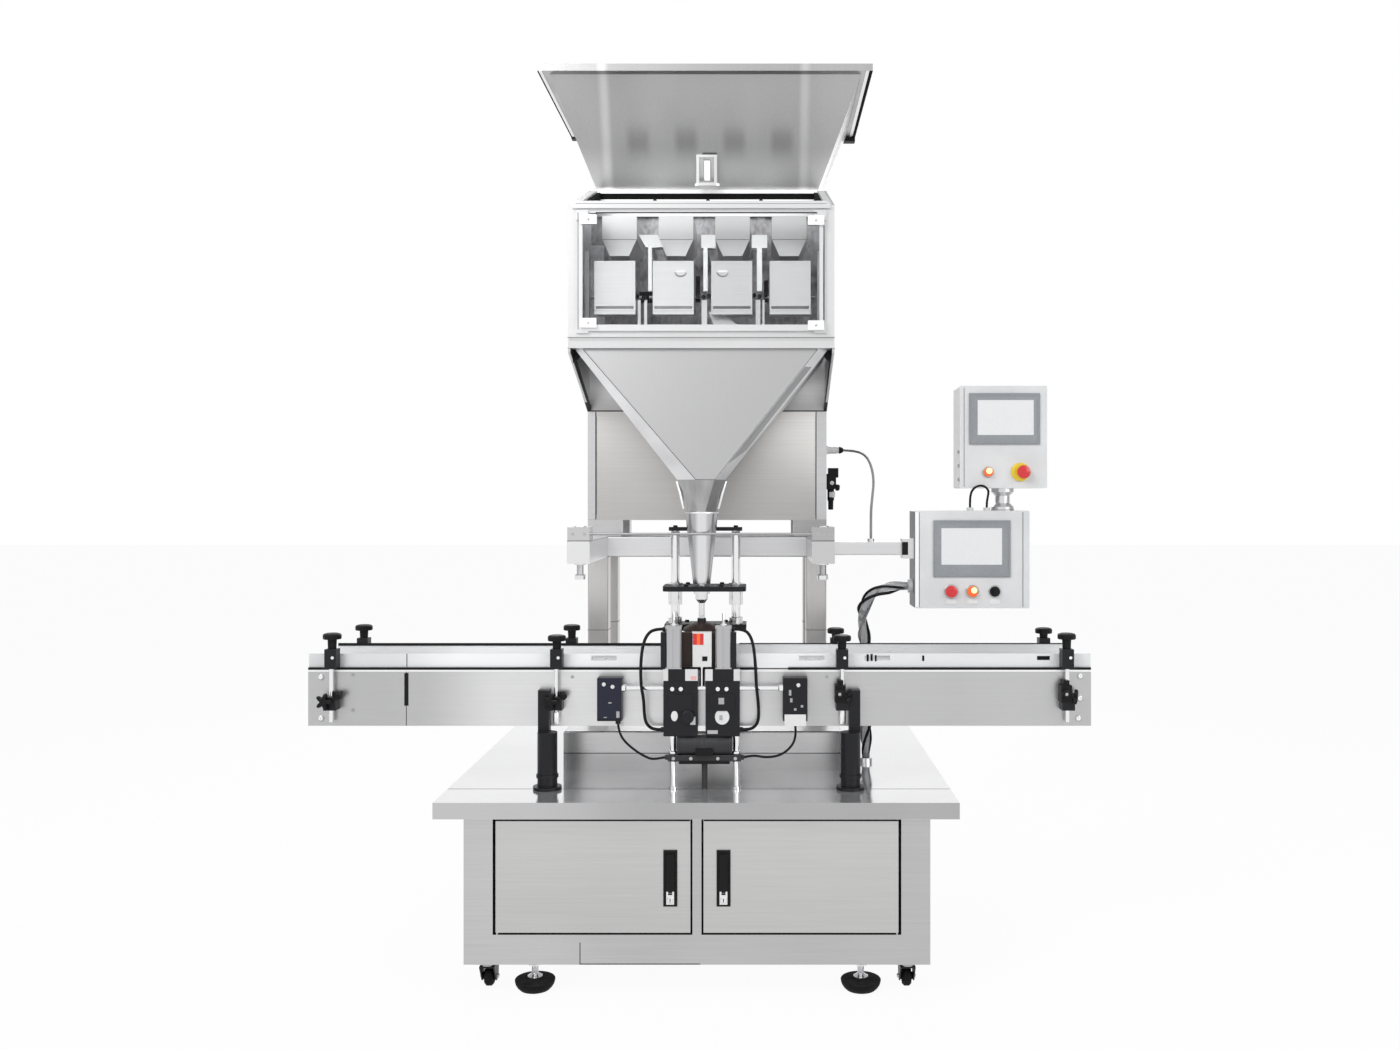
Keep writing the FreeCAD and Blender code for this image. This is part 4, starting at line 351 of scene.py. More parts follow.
@dataclass(frozen=True)
class Steel(Finish):
    """Bare steel with the streaks of its brushing."""

    brush: Brush = Brush.ALONG_X
    streaks: float = 0.16
    clouds: float = 0.12
    cloud_size: float = 3.0
    cloud_stretch: Point = (1.0, 1.0, 1.0)
    # Painted light and shade over the panel.
    shades: tuple[PaintedShade, ...] = ()
    # Painted reflections as a row of dark patches.
    patches: PaintedReflections | None = None
    metallic: float = 1.0
    bump: float = 0.06
    dust: float = 0.0

    def material(self) -> bpy.types.Material:
        """Builds the material from the grain, the painted reflection patches, the painted light and shade and the dust.

        Returns:
            The material.
        """
        material, graph, shader, place = self.start()
        grain = graph.group(
            EFFECTS.grain, coordinates=place, stretch=self.brush.value, streaks=self.streaks, clouds=self.clouds,
            cloud_size=self.cloud_size, cloud_stretch=self.cloud_stretch
        )
        tone = grain["Tone"]
        # Painted reflections: a row of dark patches multiplied into the colour.
        if self.patches:
            tone = graph.times(tone, graph.group(EFFECTS.patches, coordinates=place, **vars(self.patches))["Tone"])
        # Painted light and shade, multiplied into the colour.
        for shade in self.shades:
            tone = graph.times(tone, graph.group(EFFECTS.shade, coordinates=place, **vars(shade))["Tone"])
        graph.feed(shader["Base Color"], self.tinted(graph, tone))
        rough = graph.times(graph.math("SUBTRACT", 2.0, grain["Tone"]), self.roughness)
        if self.dust:
            mask = graph.group(EFFECTS.dust, coordinates=place, amount=self.dust)["Mask"]
            rough = graph.math("ADD", rough, mask)
        graph.feed(shader["Roughness"], rough)
        shader["Metallic"].default_value = self.metallic
        graph.feed(shader["Normal"], self.relief(graph, self.bump, 0.0006, grain["Height"]))
        return material


@dataclass(frozen=True)
class Moulded(Finish):
    """Plastic, rubber or paint with a fine pebble, rubbed edges and a little dust."""

    slot: str = "black_plastic"
    pebble: float = 700.0
    bump: float = 0.12
    wear: float = 0.35
    dust: float = 0.15
    coat: float = 0.0
    specular: float = 0.5

    def material(self) -> bpy.types.Material:
        """Builds the material from the pebble, the wear and the dust.

        Returns:
            The material.
        """
        material, graph, shader, place = self.start()
        grain = graph.group(
            EFFECTS.grain, coordinates=place, stretch=(self.pebble,) * 3, streaks=0.25, clouds=0.3, cloud_size=9.0
        )
        wear = graph.group(EFFECTS.wear, coordinates=place, amount=self.wear)["Mask"]
        dust = graph.group(EFFECTS.dust, coordinates=place, amount=self.dust)["Mask"]
        pale = tuple(min(1.0, 0.25 + 0.75 * value) for value in self.colour) + (1.0,)
        parts = {0: graph.math("MAXIMUM", wear, dust), 6: self.tinted(graph, grain["Tone"]), 7: pale}
        graph.feed(shader["Base Color"], graph.add("ShaderNodeMix", parts, data_type="RGBA").outputs[2])
        graph.feed(shader["Roughness"], graph.times(grain["Tone"], self.roughness))
        shader["Coat Weight"].default_value = self.coat
        shader["Specular IOR Level"].default_value = self.specular
        graph.feed(shader["Normal"], self.relief(graph, self.bump, 0.0004, grain["Height"]))
        return material


@dataclass(frozen=True)
class Clear(Finish):
    """Clear sheet or hose with faint wipe marks."""

    slot: str = "clear_acrylic"
    transmission: float = 1.0
    marks: float = 0.06

    def material(self) -> bpy.types.Material:
        """Builds the material with its marks in the roughness.

        Returns:
            The material.
        """
        material, graph, shader, place = self.start()
        marks = graph.ramp(graph.noise(place, 14.0, 4.0), 0.35, 0.8, self.roughness, self.roughness + self.marks)
        graph.feed(shader["Roughness"], marks)
        shader["Base Color"].default_value = (*self.colour, 1.0)
        shader["Transmission Weight"].default_value = self.transmission
        shader["IOR"].default_value = 1.2
        return material


@dataclass(frozen=True)
class Lit(Finish):
    """A lamp lens or a display that gives its own soft light, or a glowing painted glint."""

    slot: str = "screen_black"
    glow: float = 0.6
    cell: float = 160.0

    def material(self) -> bpy.types.Material:
        """Builds the material with a fine cell pattern in its light.

        Returns:
            The material.
        """
        material, graph, shader, place = self.start()
        cells = graph.add("ShaderNodeTexVoronoi", {"Vector": place, "Scale": self.cell}).outputs["Distance"]
        colour = self.tinted(graph, graph.ramp(cells, 0.0, 1.0, 1.0, 0.86))
        graph.feed(shader["Base Color"], colour)
        graph.feed(shader["Emission Color"], colour)
        shader["Emission Strength"].default_value = self.glow
        return material


LEVEL, EVEN, ALONG_Z = (1.0, 1.0, 0.1), Brush.EVEN, Brush.ALONG_Z


class Palette:
    """The machine's finishes, each made into a material on its first use."""

    SHEET = Steel("brushed sheet", (0.6, 0.6, 0.61), 0.32, clouds=0.1)
    # Painted light: the guard sheet is darker towards its left end and over its right part.
    GUARD = Steel("guard sheet", (0.9, 0.91, 0.92), 0.35, streaks=0.05, clouds=0.14, cloud_stretch=LEVEL,
                  metallic=0.25, shades=(PaintedShade(-0.8, -0.6, 0.8, 1.0, EAST), PaintedShade(0.2, 0.5, 1.0, 0.84, EAST)))
    # Painted light: the frame sheet is lighter on the left than on the right.
    PALE = Steel("pale frame sheet", (0.77, 0.77, 0.775), 0.38, streaks=0.05, clouds=0.08, metallic=0.4,
                 shades=(PaintedShade(-0.34, 0.34, 0.97, 0.88, EAST),))
    FLANGE = Steel("floor sheet", (0.67, 0.67, 0.675), 0.36, metallic=0.6)
    # Painted light: the chamber's side walls take this copy of the mottled lining, painted far lighter than the rear
    # wall's.
    PALE_MOTTLED = Steel("pale mottled sheet", (0.92, 0.92, 0.94), 0.5, brush=Brush.COARSE, streaks=0.7,
                         clouds=0.7, cloud_size=18.0, metallic=0.1)
    UPRIGHT = Steel("brushed upright sheet", (0.56, 0.56, 0.57), 0.34, brush=ALONG_Z)
    # Painted light: the cabinet front is lighter towards the left.
    FRONT = Steel("cabinet front sheet", (0.53, 0.53, 0.53), 0.36, clouds=0.16,
                  shades=(PaintedShade(-0.45, 0.0, 1.04, 0.95, EAST),))
    # Painted light: the doors are lighter towards their top.
    DOOR = Steel("door sheet", (0.56, 0.56, 0.555), clouds=0.1, shades=(PaintedShade(0.156, 0.432, 0.97, 1.03),))
    TABLE = Steel("polished table sheet", (0.84, 0.84, 0.85), 0.1, "polished_steel", streaks=0.04, clouds=0.1,
                  cloud_size=4.0, dust=0.05, metallic=0.8)
    # Painted shade: this finish repaints the table's edge, the same sheet as its top, much darker, and lighter towards
    # its left end.
    APRON = Steel("table edge sheet", (0.46, 0.46, 0.465), streaks=0.06, clouds=0.24, cloud_size=4.0,
                  cloud_stretch=(1.0, 1.0, 0.2), shades=(PaintedShade(-0.45, 0.0, 1.24, 0.95, EAST),))
    # Painted light: the arm end plates are lighter on the left than on the right.
    ARM_END = Steel("arm end plate", (0.66, 0.66, 0.665), 0.42, brush=EVEN, streaks=0.04, clouds=0.06,
                    shades=(PaintedShade(-0.29, 0.29, 1.12, 0.84, EAST),))
    # Painted reflection: the side plates are darker towards the left end and over the right part.
    CONVEYOR = Steel("conveyor side sheet", (0.76, 0.76, 0.765), 0.3, streaks=0.1, clouds=0.26, cloud_size=3.2,
                     cloud_stretch=(1.0, 1.0, 0.12), metallic=0.85,
                     shades=(PaintedShade(-0.72, -0.5, 0.68, 0.97, EAST), PaintedShade(0.02, 0.3, 1.0, 0.7, EAST)))
    TUBE = Steel("square tube", (0.61, 0.597, 0.59), 0.34, brush=ALONG_Z, streaks=0.12, clouds=0.16)
    # Painted light: the cross tubes are darker on the right.
    BEAM = Steel("cross tube", (0.74, 0.74, 0.75), 0.32, clouds=0.16, shades=(PaintedShade(0.0, 0.2, 1.0, 0.9, EAST),))
    # Painted light: the pads are lighter on the left and darker on the right.
    PAD = Steel("pad steel", (0.5, 0.5, 0.505), 0.34, shades=(PaintedShade(-0.29, 0.29, 1.16, 0.88, EAST),))
    # Painted light: the lower weigher sheet is darker towards the bottom, and lighter towards the upper right as a
    # painted reflection.
    BOX_LOWER = Steel("lower weigher sheet", (0.6, 0.59, 0.575), 0.38, clouds=0.14,
                      shades=(PaintedShade(1.16, 1.47, 0.84, 1.06), PaintedShade(3.3, 3.85, 1.0, 1.32, (1.0, 0.0, 2.5))))
    # Painted shade: the base box's front face is darker towards the bottom, in the funnel's shade, and lighter at the
    # top.
    BOX_BASE = Steel("base box sheet", (0.6, 0.6, 0.6), 0.34, clouds=0.14,
                     shades=(PaintedShade(1.478, 1.555, 0.8, 1.6, UP, 0.068),))
    # Painted shade: the plinth is darker along its foot, near the table.
    PLINTH = Steel("plinth sheet", (0.6, 0.6, 0.605), 0.25, clouds=0.4, cloud_size=5.0,
                   shades=(PaintedShade(0.525, 0.535, 0.76, 0.9),))
    HOUSING = Steel("weigher housing sheet", (0.6, 0.6, 0.6), 0.32, brush=ALONG_Z)
    # Painted light: a row of dark patches on the front wall painted as reflections, the lower part lighter, and a pale
    # and a dark painted streak near each side of the front wall.
    HOPPER = Steel("hopper sheet", (0.5, 0.5, 0.5), 0.36, brush=ALONG_Z, clouds=0.42, cloud_size=5.0,
                   cloud_stretch=(1.0, 1.0, 0.16), patches=PaintedReflections(0.139, 0.08, 2.252, 0.062, 0.27, 0.27, 0.25),
                   shades=(PaintedShade(2.15, 2.25, 1.3, 0.88), PaintedShade(-0.312, -0.292, 1.0, 1.35, EAST, 0.25),
                           PaintedShade(-0.288, -0.27, 1.0, 0.7, EAST, 0.25), PaintedShade(0.262, 0.28, 1.0, 1.35, EAST, 0.25),
                           PaintedShade(0.284, 0.304, 1.0, 0.78, EAST, 0.25)))
    FUNNEL = Steel("funnel sheet", (0.425, 0.425, 0.43), 0.42, brush=ALONG_Z, streaks=0.05, clouds=0.06)
    # Painted light: a much lighter copy of the funnel sheet for its folded front corners.
    FOLD = Steel("folded corner sheet", (0.8, 0.8, 0.81), 0.3, brush=ALONG_Z, streaks=0.1, clouds=0.6,
                 cloud_size=9.0, cloud_stretch=(0.4, 0.4, 1.0))
    NECK = Steel("neck sheet", (0.4, 0.4, 0.405), 0.3, brush=ALONG_Z, streaks=0.1, clouds=0.7, cloud_size=40.0,
                 cloud_stretch=(1.0, 1.0, 0.2))
    SEAM = Steel("weld seam", (0.2, 0.2, 0.205), 0.5, brush=EVEN, clouds=0.2)
    # Painted light: everything of this finish left of the middle, the two left buckets among it, is lighter.
    BUCKET = Steel("bucket sheet", (0.66, 0.66, 0.66), 0.3, clouds=0.1, shades=(PaintedShade(-0.05, 0.05, 1.18, 1.0, EAST),))
    # Painted highlight: a bright stripe down the middle of the outlet cone, with painted shade on its sides.
    OUTLET = Steel("outlet cone sheet", (0.62, 0.62, 0.63), 0.25, "polished_steel", streaks=0.04, clouds=0.1,
                   shades=(PaintedShade(-0.018, -0.006, 0.75, 1.2, EAST), PaintedShade(0.008, 0.02, 1.0, 0.66, EAST)))
    WHITE_METAL = Steel("pale satin metal", (0.9, 0.9, 0.9), 0.42, brush=EVEN, streaks=0.04, clouds=0.04)
    CHAIN = Steel("chain slat sheet", (0.74, 0.74, 0.74), 0.2, brush=Brush.ALONG_Y, clouds=0.2, cloud_size=9.0)
    MOTTLED = Steel("mottled lining sheet", (0.4, 0.395, 0.41), 0.5, brush=Brush.COARSE, streaks=1.3, clouds=1.3,
                    cloud_size=16.0, metallic=0.5)
    # Painted shade: a dark sheet laid on the lower control box's left side.
    BOX_SIDE = Steel("painted shade side sheet", (0.16, 0.165, 0.175), brush=ALONG_Z)
    BRIGHT = Steel("polished steel", (0.8, 0.8, 0.81), 0.14, "polished_steel", brush=EVEN, streaks=0.04, clouds=0.05)
    CHROME = Steel("chromed bar", (0.86, 0.86, 0.87), 0.06, "chrome", brush=EVEN, streaks=0.02, clouds=0.02)
    ZINC = Steel("plated steel", (0.5, 0.5, 0.49), 0.36, "zinc_steel", brush=EVEN, clouds=0.3, cloud_size=30.0)
    GREY_METAL = Steel("cast grey metal", (0.42, 0.42, 0.43), 0.45, "grey_metal", brush=EVEN, bump=0.15)
    ALUMINIUM = Steel("drawn aluminium", (0.5, 0.5, 0.51), 0.3, "grey_metal", brush=ALONG_Z, clouds=0.08)
    BLACK_PLASTIC = Moulded("black plastic", (0.006, 0.006, 0.0065), 0.45, wear=0.08, dust=0.04, specular=0.18)
    BLACK_METAL = Moulded("black finished metal", (0.01, 0.01, 0.0125), 0.4, "black_metal", wear=0.16, dust=0.04,
                          specular=0.25)
    DRUM = Moulded("worn dark metal", (0.03, 0.03, 0.032), 0.5, "black_metal", wear=0.5, dust=0.2, specular=0.3)
    NAVY = Moulded("dark blue coat", (0.012, 0.014, 0.03), 0.35, "black_metal", wear=0.1, dust=0.04, specular=0.3)
    BROWN = Moulded("dark brown cap", (0.035, 0.022, 0.018), 0.45, "black_metal", wear=0.05, dust=0.04, specular=0.25)
    RUBBER = Moulded("black rubber", (0.008, 0.008, 0.0085), 0.7, "black_rubber", pebble=420.0, wear=0.08, dust=0.06,
                     specular=0.12)
    CABLE = Moulded("cable sheath", (0.007, 0.007, 0.0075), 0.5, "cable_black", wear=0.0, dust=0.03, specular=0.15)
    GREY_CABLE = Moulded("grey cable sheath", (0.2, 0.2, 0.21), 0.45, "cable_black", wear=0.0, dust=0.1)
    WHITE_PLASTIC = Moulded("white plastic", (0.74, 0.74, 0.73), 0.35, "white_plastic", wear=0.1)
    PAINTED = Moulded("painted box", (0.655, 0.66, 0.665), 0.38, "painted_box", pebble=900.0, bump=0.06, wear=0.15,
                      coat=0.15)
    RED = Moulded("red plastic", (0.62, 0.015, 0.02), 0.25, "button_red", bump=0.02, wear=0.1, coat=0.4)
    YELLOW = Moulded("yellow plastic", (0.8, 0.6, 0.03), 0.35, "button_red", bump=0.03, wear=0.1)
    GAP = Moulded("dark seam", (0.012, 0.012, 0.0125), 0.8, wear=0.0, dust=0.0, specular=0.05)
    SCREEN_FRAME = Moulded("screen surround", (0.26, 0.275, 0.29), 0.35, "screen_black", pebble=120.0, bump=0.02,
                           wear=0.05, coat=0.2)
    PINK = Moulded("pink tile", (0.8, 0.42, 0.42), 0.4, "white_plastic", wear=0.0, dust=0.0)
    SCREEN = Lit("lit display", (0.72, 0.73, 0.74), 0.3, glow=0.1, cell=420.0)
    AMBER = Lit("amber lens", (0.85, 0.13, 0.02), 0.2, glow=0.25)
    # Painted highlight: a small glowing glint on a lens.
    GLOW = Lit("lamp glow", (1.0, 0.86, 0.42), 0.2, glow=0.7)
    ACRYLIC = Clear("clear window sheet", (0.97, 0.98, 0.985), 0.02)
    HOSE = Clear("clear hose", (0.5, 0.51, 0.52), 0.16, "cable_black", transmission=0.5)

    made: dict[str, bpy.types.Material] = {}

    @classmethod
    def get(cls, finish: Finish) -> bpy.types.Material:
        """Finds a finish's material, built at the first call.

        Args:
            finish: the finish.

        Returns:
            The material.
        """
        if finish.name not in cls.made:
            cls.made[finish.name] = finish.material()
        return cls.made[finish.name]


def circle(steps: int, radius: float, tall: float | None = None) -> list[Pair]:
    """Lists the points of a circle or an oval about the origin.

    Args:
        steps: the number of points.
        radius: its radius, or half the width of an oval.
        tall: half the height of an oval.

    Returns:
        The points as pairs.
    """
    turns = [math.tau * step / steps for step in range(steps)]
    return [(radius * math.cos(turn), (tall or radius) * math.sin(turn)) for turn in turns]


def linked(name: str, data: Any) -> bpy.types.Object:
    """Makes an object and links it to the scene.

    Args:
        name: the object's name.
        data: its mesh, curve, lamp or camera.

    Returns:
        The object.
    """
    made = bpy.data.objects.new(name, data)
    bpy.context.scene.collection.objects.link(made)
    return made


@dataclass(frozen=True)
class Studio:
    """Pale floor, soft light and the camera of the photograph."""

    eye: Point = (0.149, -3.585, 1.213)
    lens: float = 32.01
    shift: Pair = (-0.0414, -0.0179)
    floor_size: float = 60.0
    fill: float = 0.52
    glow: float = 0.94
    lamps: tuple[tuple[str, Point, Point, float, float], ...] = (
        ("key", (-2.6, -3.6, 4.2), (0.0, 0.0, 1.2), 2.4, 130.0),
        ("fill", (3.4, -3.0, 2.6), (0.0, 0.0, 1.0), 2.6, 60.0),
        ("back", (0.0, 3.6, 3.6), (0.0, 0.0, 1.2), 2.6, 70.0),
    )

    def camera(self) -> None:
        """Sets up the level camera in front."""
        data = bpy.data.cameras.new("camera")
        data.lens, data.sensor_width, data.clip_end = self.lens, 36.0, 200.0
        data.shift_x, data.shift_y = self.shift
        eye = linked("camera", data)
        eye.location = self.eye
        eye.rotation_euler.x = math.radians(90.0)
        bpy.context.scene.camera = eye

    @staticmethod
    def seen(graph: Graph) -> Socket:
        """Tells the rays of the camera, mirrors and glass from the rest.

        Args:
            graph: the graph that takes the nodes.

        Returns:
            1 for those rays and 0 for the rest.
        """
        path = graph.add("ShaderNodeLightPath").outputs
        mirror = graph.math("MAXIMUM", path["Is Glossy Ray"], path["Is Transmission Ray"])
        return graph.math("MAXIMUM", path["Is Camera Ray"], mirror)

    def world(self) -> None:
        """Makes the soft surroundings, white where they are seen, a little darker to the sides."""
        world = bpy.data.worlds.new("studio")
        world.use_nodes = True
        graph = Graph(world.node_tree)
        soft = world.node_tree.nodes["Background"]
        soft.inputs["Color"].default_value = (0.97, 0.985, 1.0, 1.0)
        soft.inputs["Strength"].default_value = self.fill
        x = graph.split(graph.add("ShaderNodeTexCoord").outputs["Generated"])[0]
        band = graph.ramp(graph.math("ABSOLUTE", x), 0.62, 0.92, 1.0, 0.25)
        mirror = graph.add("ShaderNodeLightPath").outputs["Is Glossy Ray"]
        lost = graph.times(mirror, graph.math("SUBTRACT", 1.0, band))
        plain = graph.add("ShaderNodeBackground", {0: WHITE, 1: graph.math("SUBTRACT", 1.0, lost)})
        mix = graph.add("ShaderNodeMixShader", {0: self.seen(graph), 1: soft.outputs[0], 2: plain.outputs[0]})
        graph.feed(world.node_tree.nodes["World Output"].inputs[0], mix.outputs[0])
        bpy.context.scene.world = world

    def floor(self) -> None:
        """Lays the pale floor, which keeps a weak shadow of the object."""
        half = self.floor_size / 2
        mesh = bpy.data.meshes.new("floor")
        mesh.from_pydata([(-half, -half, 0), (half, -half, 0), (half, half, 0), (-half, half, 0)], [], [range(4)])
        floor = linked("floor", mesh)
        floor.location.z = -0.0005
        material = bpy.data.materials.new("pale floor")
        material.use_nodes = True
        graph = Graph(material.node_tree)
        shader = material.node_tree.nodes["Principled BSDF"]
        shader.inputs["Base Color"].default_value = (0.86, 0.86, 0.86, 1.0)
        shader.inputs["Roughness"].default_value = 0.9
        glow = graph.add("ShaderNodeEmission", {1: 1.0})
        share = graph.times(self.seen(graph), self.glow)
        mix = graph.add("ShaderNodeMixShader", {0: share, 1: shader.outputs[0], 2: glow.outputs[0]})
        graph.feed(material.node_tree.nodes["Material Output"].inputs[0], mix.outputs[0])
        mesh.materials.append(material)

    def build(self) -> None:
        """Sets up everything round the object."""
        bpy.context.scene.view_settings.view_transform = "Standard"
        self.camera()
        self.world()
        self.floor()
        for name, place, aim, size, power in self.lamps:
            data = bpy.data.lights.new(name, "AREA")
            data.size, data.energy = size, power
            lamp = linked(name, data)
            lamp.location = place
            lamp.rotation_euler = (Vector(aim) - Vector(place)).to_track_quat("-Z", "Y").to_euler()


class FrameFinish:
    """Gives each node of the frame its finish."""

    NODES: dict[Finish, str] = {
        Palette.GUARD: "guard_sheets",
        Palette.PALE: "window_frame",
        Palette.FLANGE: "weigher_floor",
        Palette.UPRIGHT: "cabinet_shell weigher_side_walls",
        Palette.FRONT: "cabinet_front",
        Palette.DOOR: "left_door right_door",
        Palette.TABLE: "table_top",
        Palette.CONVEYOR: "conveyor_side_plates",
        Palette.TUBE: "stand_legs",
        Palette.BEAM: "stand_beams control_arm",
        Palette.PAD: "stand_pads",
        Palette.BOX_LOWER: "weigher_cabinet",
        Palette.BOX_BASE: "weigher_base",
        Palette.PLINTH: "plinth",
        Palette.HOUSING: "weigher_housing",
        Palette.HOPPER: "hopper_bin",
        Palette.FUNNEL: "funnel",
        Palette.BUCKET: "weigh_buckets feeder_pans bucket_hangers gate_handle",
        Palette.OUTLET: "funnel_outlet",
        Palette.BRIGHT: "fill_nozzle cross_members end_sprockets slat_chain",
        Palette.CHROME: "guide_rods",
        Palette.ALUMINIUM: "stop_units",
        Palette.BLACK_PLASTIC: "clamp_knobs left_door_handle right_door_handle side_fittings",
        Palette.BLACK_METAL: "fill_plates slide_plate guide_clamps conveyor_posts caster_fork_",
        Palette.DRUM: "vibrator",
        Palette.RUBBER: "caster_wheel_ levelling_feet",
        Palette.CABLE: "_cable _hose",
        Palette.PAINTED: "control_boxes",
        Palette.RED: "control_buttons",
        Palette.SCREEN: "control_screens",
        Palette.ACRYLIC: "front_window",
    }

    def finish_of(self, name: str) -> Finish:
        """Finds a node's finish.

        Args:
            name: the node's name, of which the table may hold the start or the end alone.

        Returns:
            The finish.
        """
        for finish, names in self.NODES.items():
            for known in names.split():
                if name == known or known[0] == "_" and name.endswith(known):
                    return finish
                if known[-1] == "_" and name.startswith(known):
                    return finish
        LOG.warning("no finish for %s", name)
        return Palette.SHEET

    def build(self) -> None:
        """Assigns the materials."""
        for name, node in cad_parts.items():
            node.data.materials.clear()
            node.data.materials.append(Palette.get(self.finish_of(name)))
        LOG.info("finished %d frame nodes", len(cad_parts))


class Form:
    """Closed forms gathered into one mesh, which becomes one piece on a body.

    Edges whose faces meet at more than SHARP radians are eased.
    """

    SHARP = 0.5

    def __init__(self, name: str, finish: Finish, body: str = "root") -> None:
        """Starts an empty piece.

        Args:
            name: the piece's name.
            finish: the finish of the forms that come next.
            body: the body that it rides on.
        """
        self.name = name
        self.body = body
        self.mesh = bmesh.new()
        self.finishes = [finish]
        self.current = 0

    def use(self, finish: Finish) -> "Form":
        """Gives the forms that come next another finish.

        Args:
            finish: the finish.

        Returns:
            This form.
        """
        if finish not in self.finishes:
            self.finishes.append(finish)
        self.current = self.finishes.index(finish)
        return self

    def take(self, vertices: Sequence[Sequence[float]], faces: Sequence[Sequence[int]]) -> list:
        """Adds vertices and faces.

        Args:
            vertices: the points.
            faces: rows of point numbers.

        Returns:
            The new faces.
        """
        points = [self.mesh.verts.new(vertex) for vertex in vertices]
        made = [self.mesh.faces.new([points[row] for row in face]) for face in faces]
        for face in made:
            face.material_index = self.current
        return made

    def rounded(self, faces: list, size: float, steps: int = 1) -> "Form":
        """Bevels the edges of new faces that meet at a real angle.

        Args:
            faces: the new faces.
            size: the size of the eased edges, 0 to leave them sharp.
            steps: the faces across an edge.

        Returns:
            This form.
        """
        if size > 0:
            edges = {edge for face in faces for edge in face.edges}
            sharp = [edge for edge in edges if edge.calc_face_angle(0.0) > self.SHARP]
            result = bmesh.ops.bevel(
                self.mesh, geom=sharp, offset=size, segments=steps, affect="EDGES", profile=0.6, clamp_overlap=True
            )
            for face in result["faces"]:
                face.material_index = self.current
        return self

    def block(self, low: Point, high: Point, edge: float = 0.0008, steps: int = 1) -> "Form":
        """Adds a block with eased edges.

        Args:
            low: its lowest corner.
            high: its highest corner.
            edge: the size of the eased edges.
            steps: the faces across an edge.

        Returns:
            This form.
        """
        corners = [(x, y, z) for x in (low[0], high[0]) for y in (low[1], high[1]) for z in (low[2], high[2])]
        faces = [(0, 1, 3, 2), (4, 6, 7, 5), (0, 4, 5, 1), (2, 3, 7, 6), (0, 2, 6, 4), (1, 5, 7, 3)]
        return self.rounded(self.take(corners, faces), edge, steps)

    def plates(
        self, rows: Sequence[Sequence[float]], near: float, far: float, edge: float = 0.0, steps: int = 1
    ) -> "Form":
        """Adds upright blocks of one depth.

        Args:
            rows: the left, the bottom, the right and the top of each.
            near: the front of all.
            far: the rear of all.
            edge: the size of the eased edges.
            steps: the faces across an edge.

        Returns:
            This form.
        """
        for left, low, right, top in rows:
            self.block((left, near, low), (right, far, top), edge, steps)
        return self

    def pair(self, outline: Sequence[Pair], near: float, far: float) -> "Form":
        """Adds an outline drawn across X twice, once on either side of the middle.

        Args:
            outline: points on Y and Z, in their order.
            near: where it starts, counted from the middle.
            far: where it ends.

        Returns:
            This form.
        """
        for side in (-1.0, 1.0):
            self.prism(outline, 0, tuple(sorted((side * near, side * far))), 0.0)
        return self

    def prism(self, outline: Sequence[Pair], axis: int, span: Pair, edge: float = 0.0005) -> "Form":
        """Adds a flat outline drawn across an axis and stretched along it.

        Args:
            outline: points on the other two axes, in their order.
            axis: 0, 1 or 2 for X, Y or Z.
            span: where it starts and ends on the axis.
            edge: the size of the eased edges.

        Returns:
            This form.
        """
        points = [(*pair[:axis], place, *pair[axis:]) for place in span for pair in outline]
        count = len(outline)
        sides = [(row, (row + 1) % count, (row + 1) % count + count, row + count) for row in range(count)]
        ends = [tuple(range(count)), tuple(range(2 * count - 1, count - 1, -1))]
        return self.rounded(self.take(points, sides + ends), edge)

    def bands(self, points: Sequence[Sequence[float]], rings: int, closed: bool = False) -> "Form":
        """Adds bands of faces between rings of points.

        Args:
            points: the points of all rings in turn, as many for each.
            rings: the number of rings.
            closed: True if the last ring meets the first one, and False for a face at either end.

        Returns:
            This form.
        """
        steps = len(points) // rings
        faces = []
        for row in range(rings if closed else rings - 1):
            low, high = row * steps, (row + 1) % rings * steps
            for step in range(steps):
                after = (step + 1) % steps
                faces.append((low + step, low + after, high + after, high + step))
        if not closed:
            faces += [tuple(reversed(range(steps))), tuple(range((rings - 1) * steps, rings * steps))]
        self.take(points, faces)
        return self

    def lathe(
        self, profile: Sequence[Pair], centre: Point, along: Point = UP, steps: int = 32, closed: bool = False
    ) -> "Form":
        """Adds a turned form.

        Args:
            profile: radius and place along the axis, from one end to the other.
            centre: the point from which the places count.
            along: the direction of the axis.
            steps: the faces round it.
            closed: True for a form with a hole, whose outline closes on itself.

        Returns:
            This form.
        """
        turn = Vector(along).to_track_quat("Z", "Y").to_matrix()
        middle = Vector(centre)
        points = [
            middle + turn @ Vector((*spot, place)) for radius, place in profile for spot in circle(steps, radius)
        ]
        return self.bands(points, len(profile), closed)

    def ring(self, profile: Sequence[Pair], centre: Point, steps: int = 32, along: Point = UP) -> "Form":
        """Adds a turned form with a hole, from an outline that closes on itself."""
        return self.lathe(profile, centre, along, steps, closed=True)

    def tube(self, points: Sequence[Point], radius: float, sides: int = 12, closed: bool = False) -> "Form":
        """Adds a round bar along points.

        Args:
            points: the line that it follows.
            radius: its radius.
            sides: the faces round it.
            closed: True for a ring.

        Returns:
            This form.
        """
        line = [Vector(point) for point in points]
        count = len(line)
        normal = None
        rings = []
        for row, point in enumerate(line):
            before = line[row - 1] if row or closed else point
            after = line[(row + 1) % count] if row < count - 1 or closed else point
            way = (after - before).normalized()
            if normal is None:
                normal = way.orthogonal().normalized()
            normal = (normal - way * normal.dot(way)).normalized()
            across = way.cross(normal)
            rings += [point + normal * out + across * up for out, up in circle(sides, radius)]
        return self.bands(rings, count, closed)

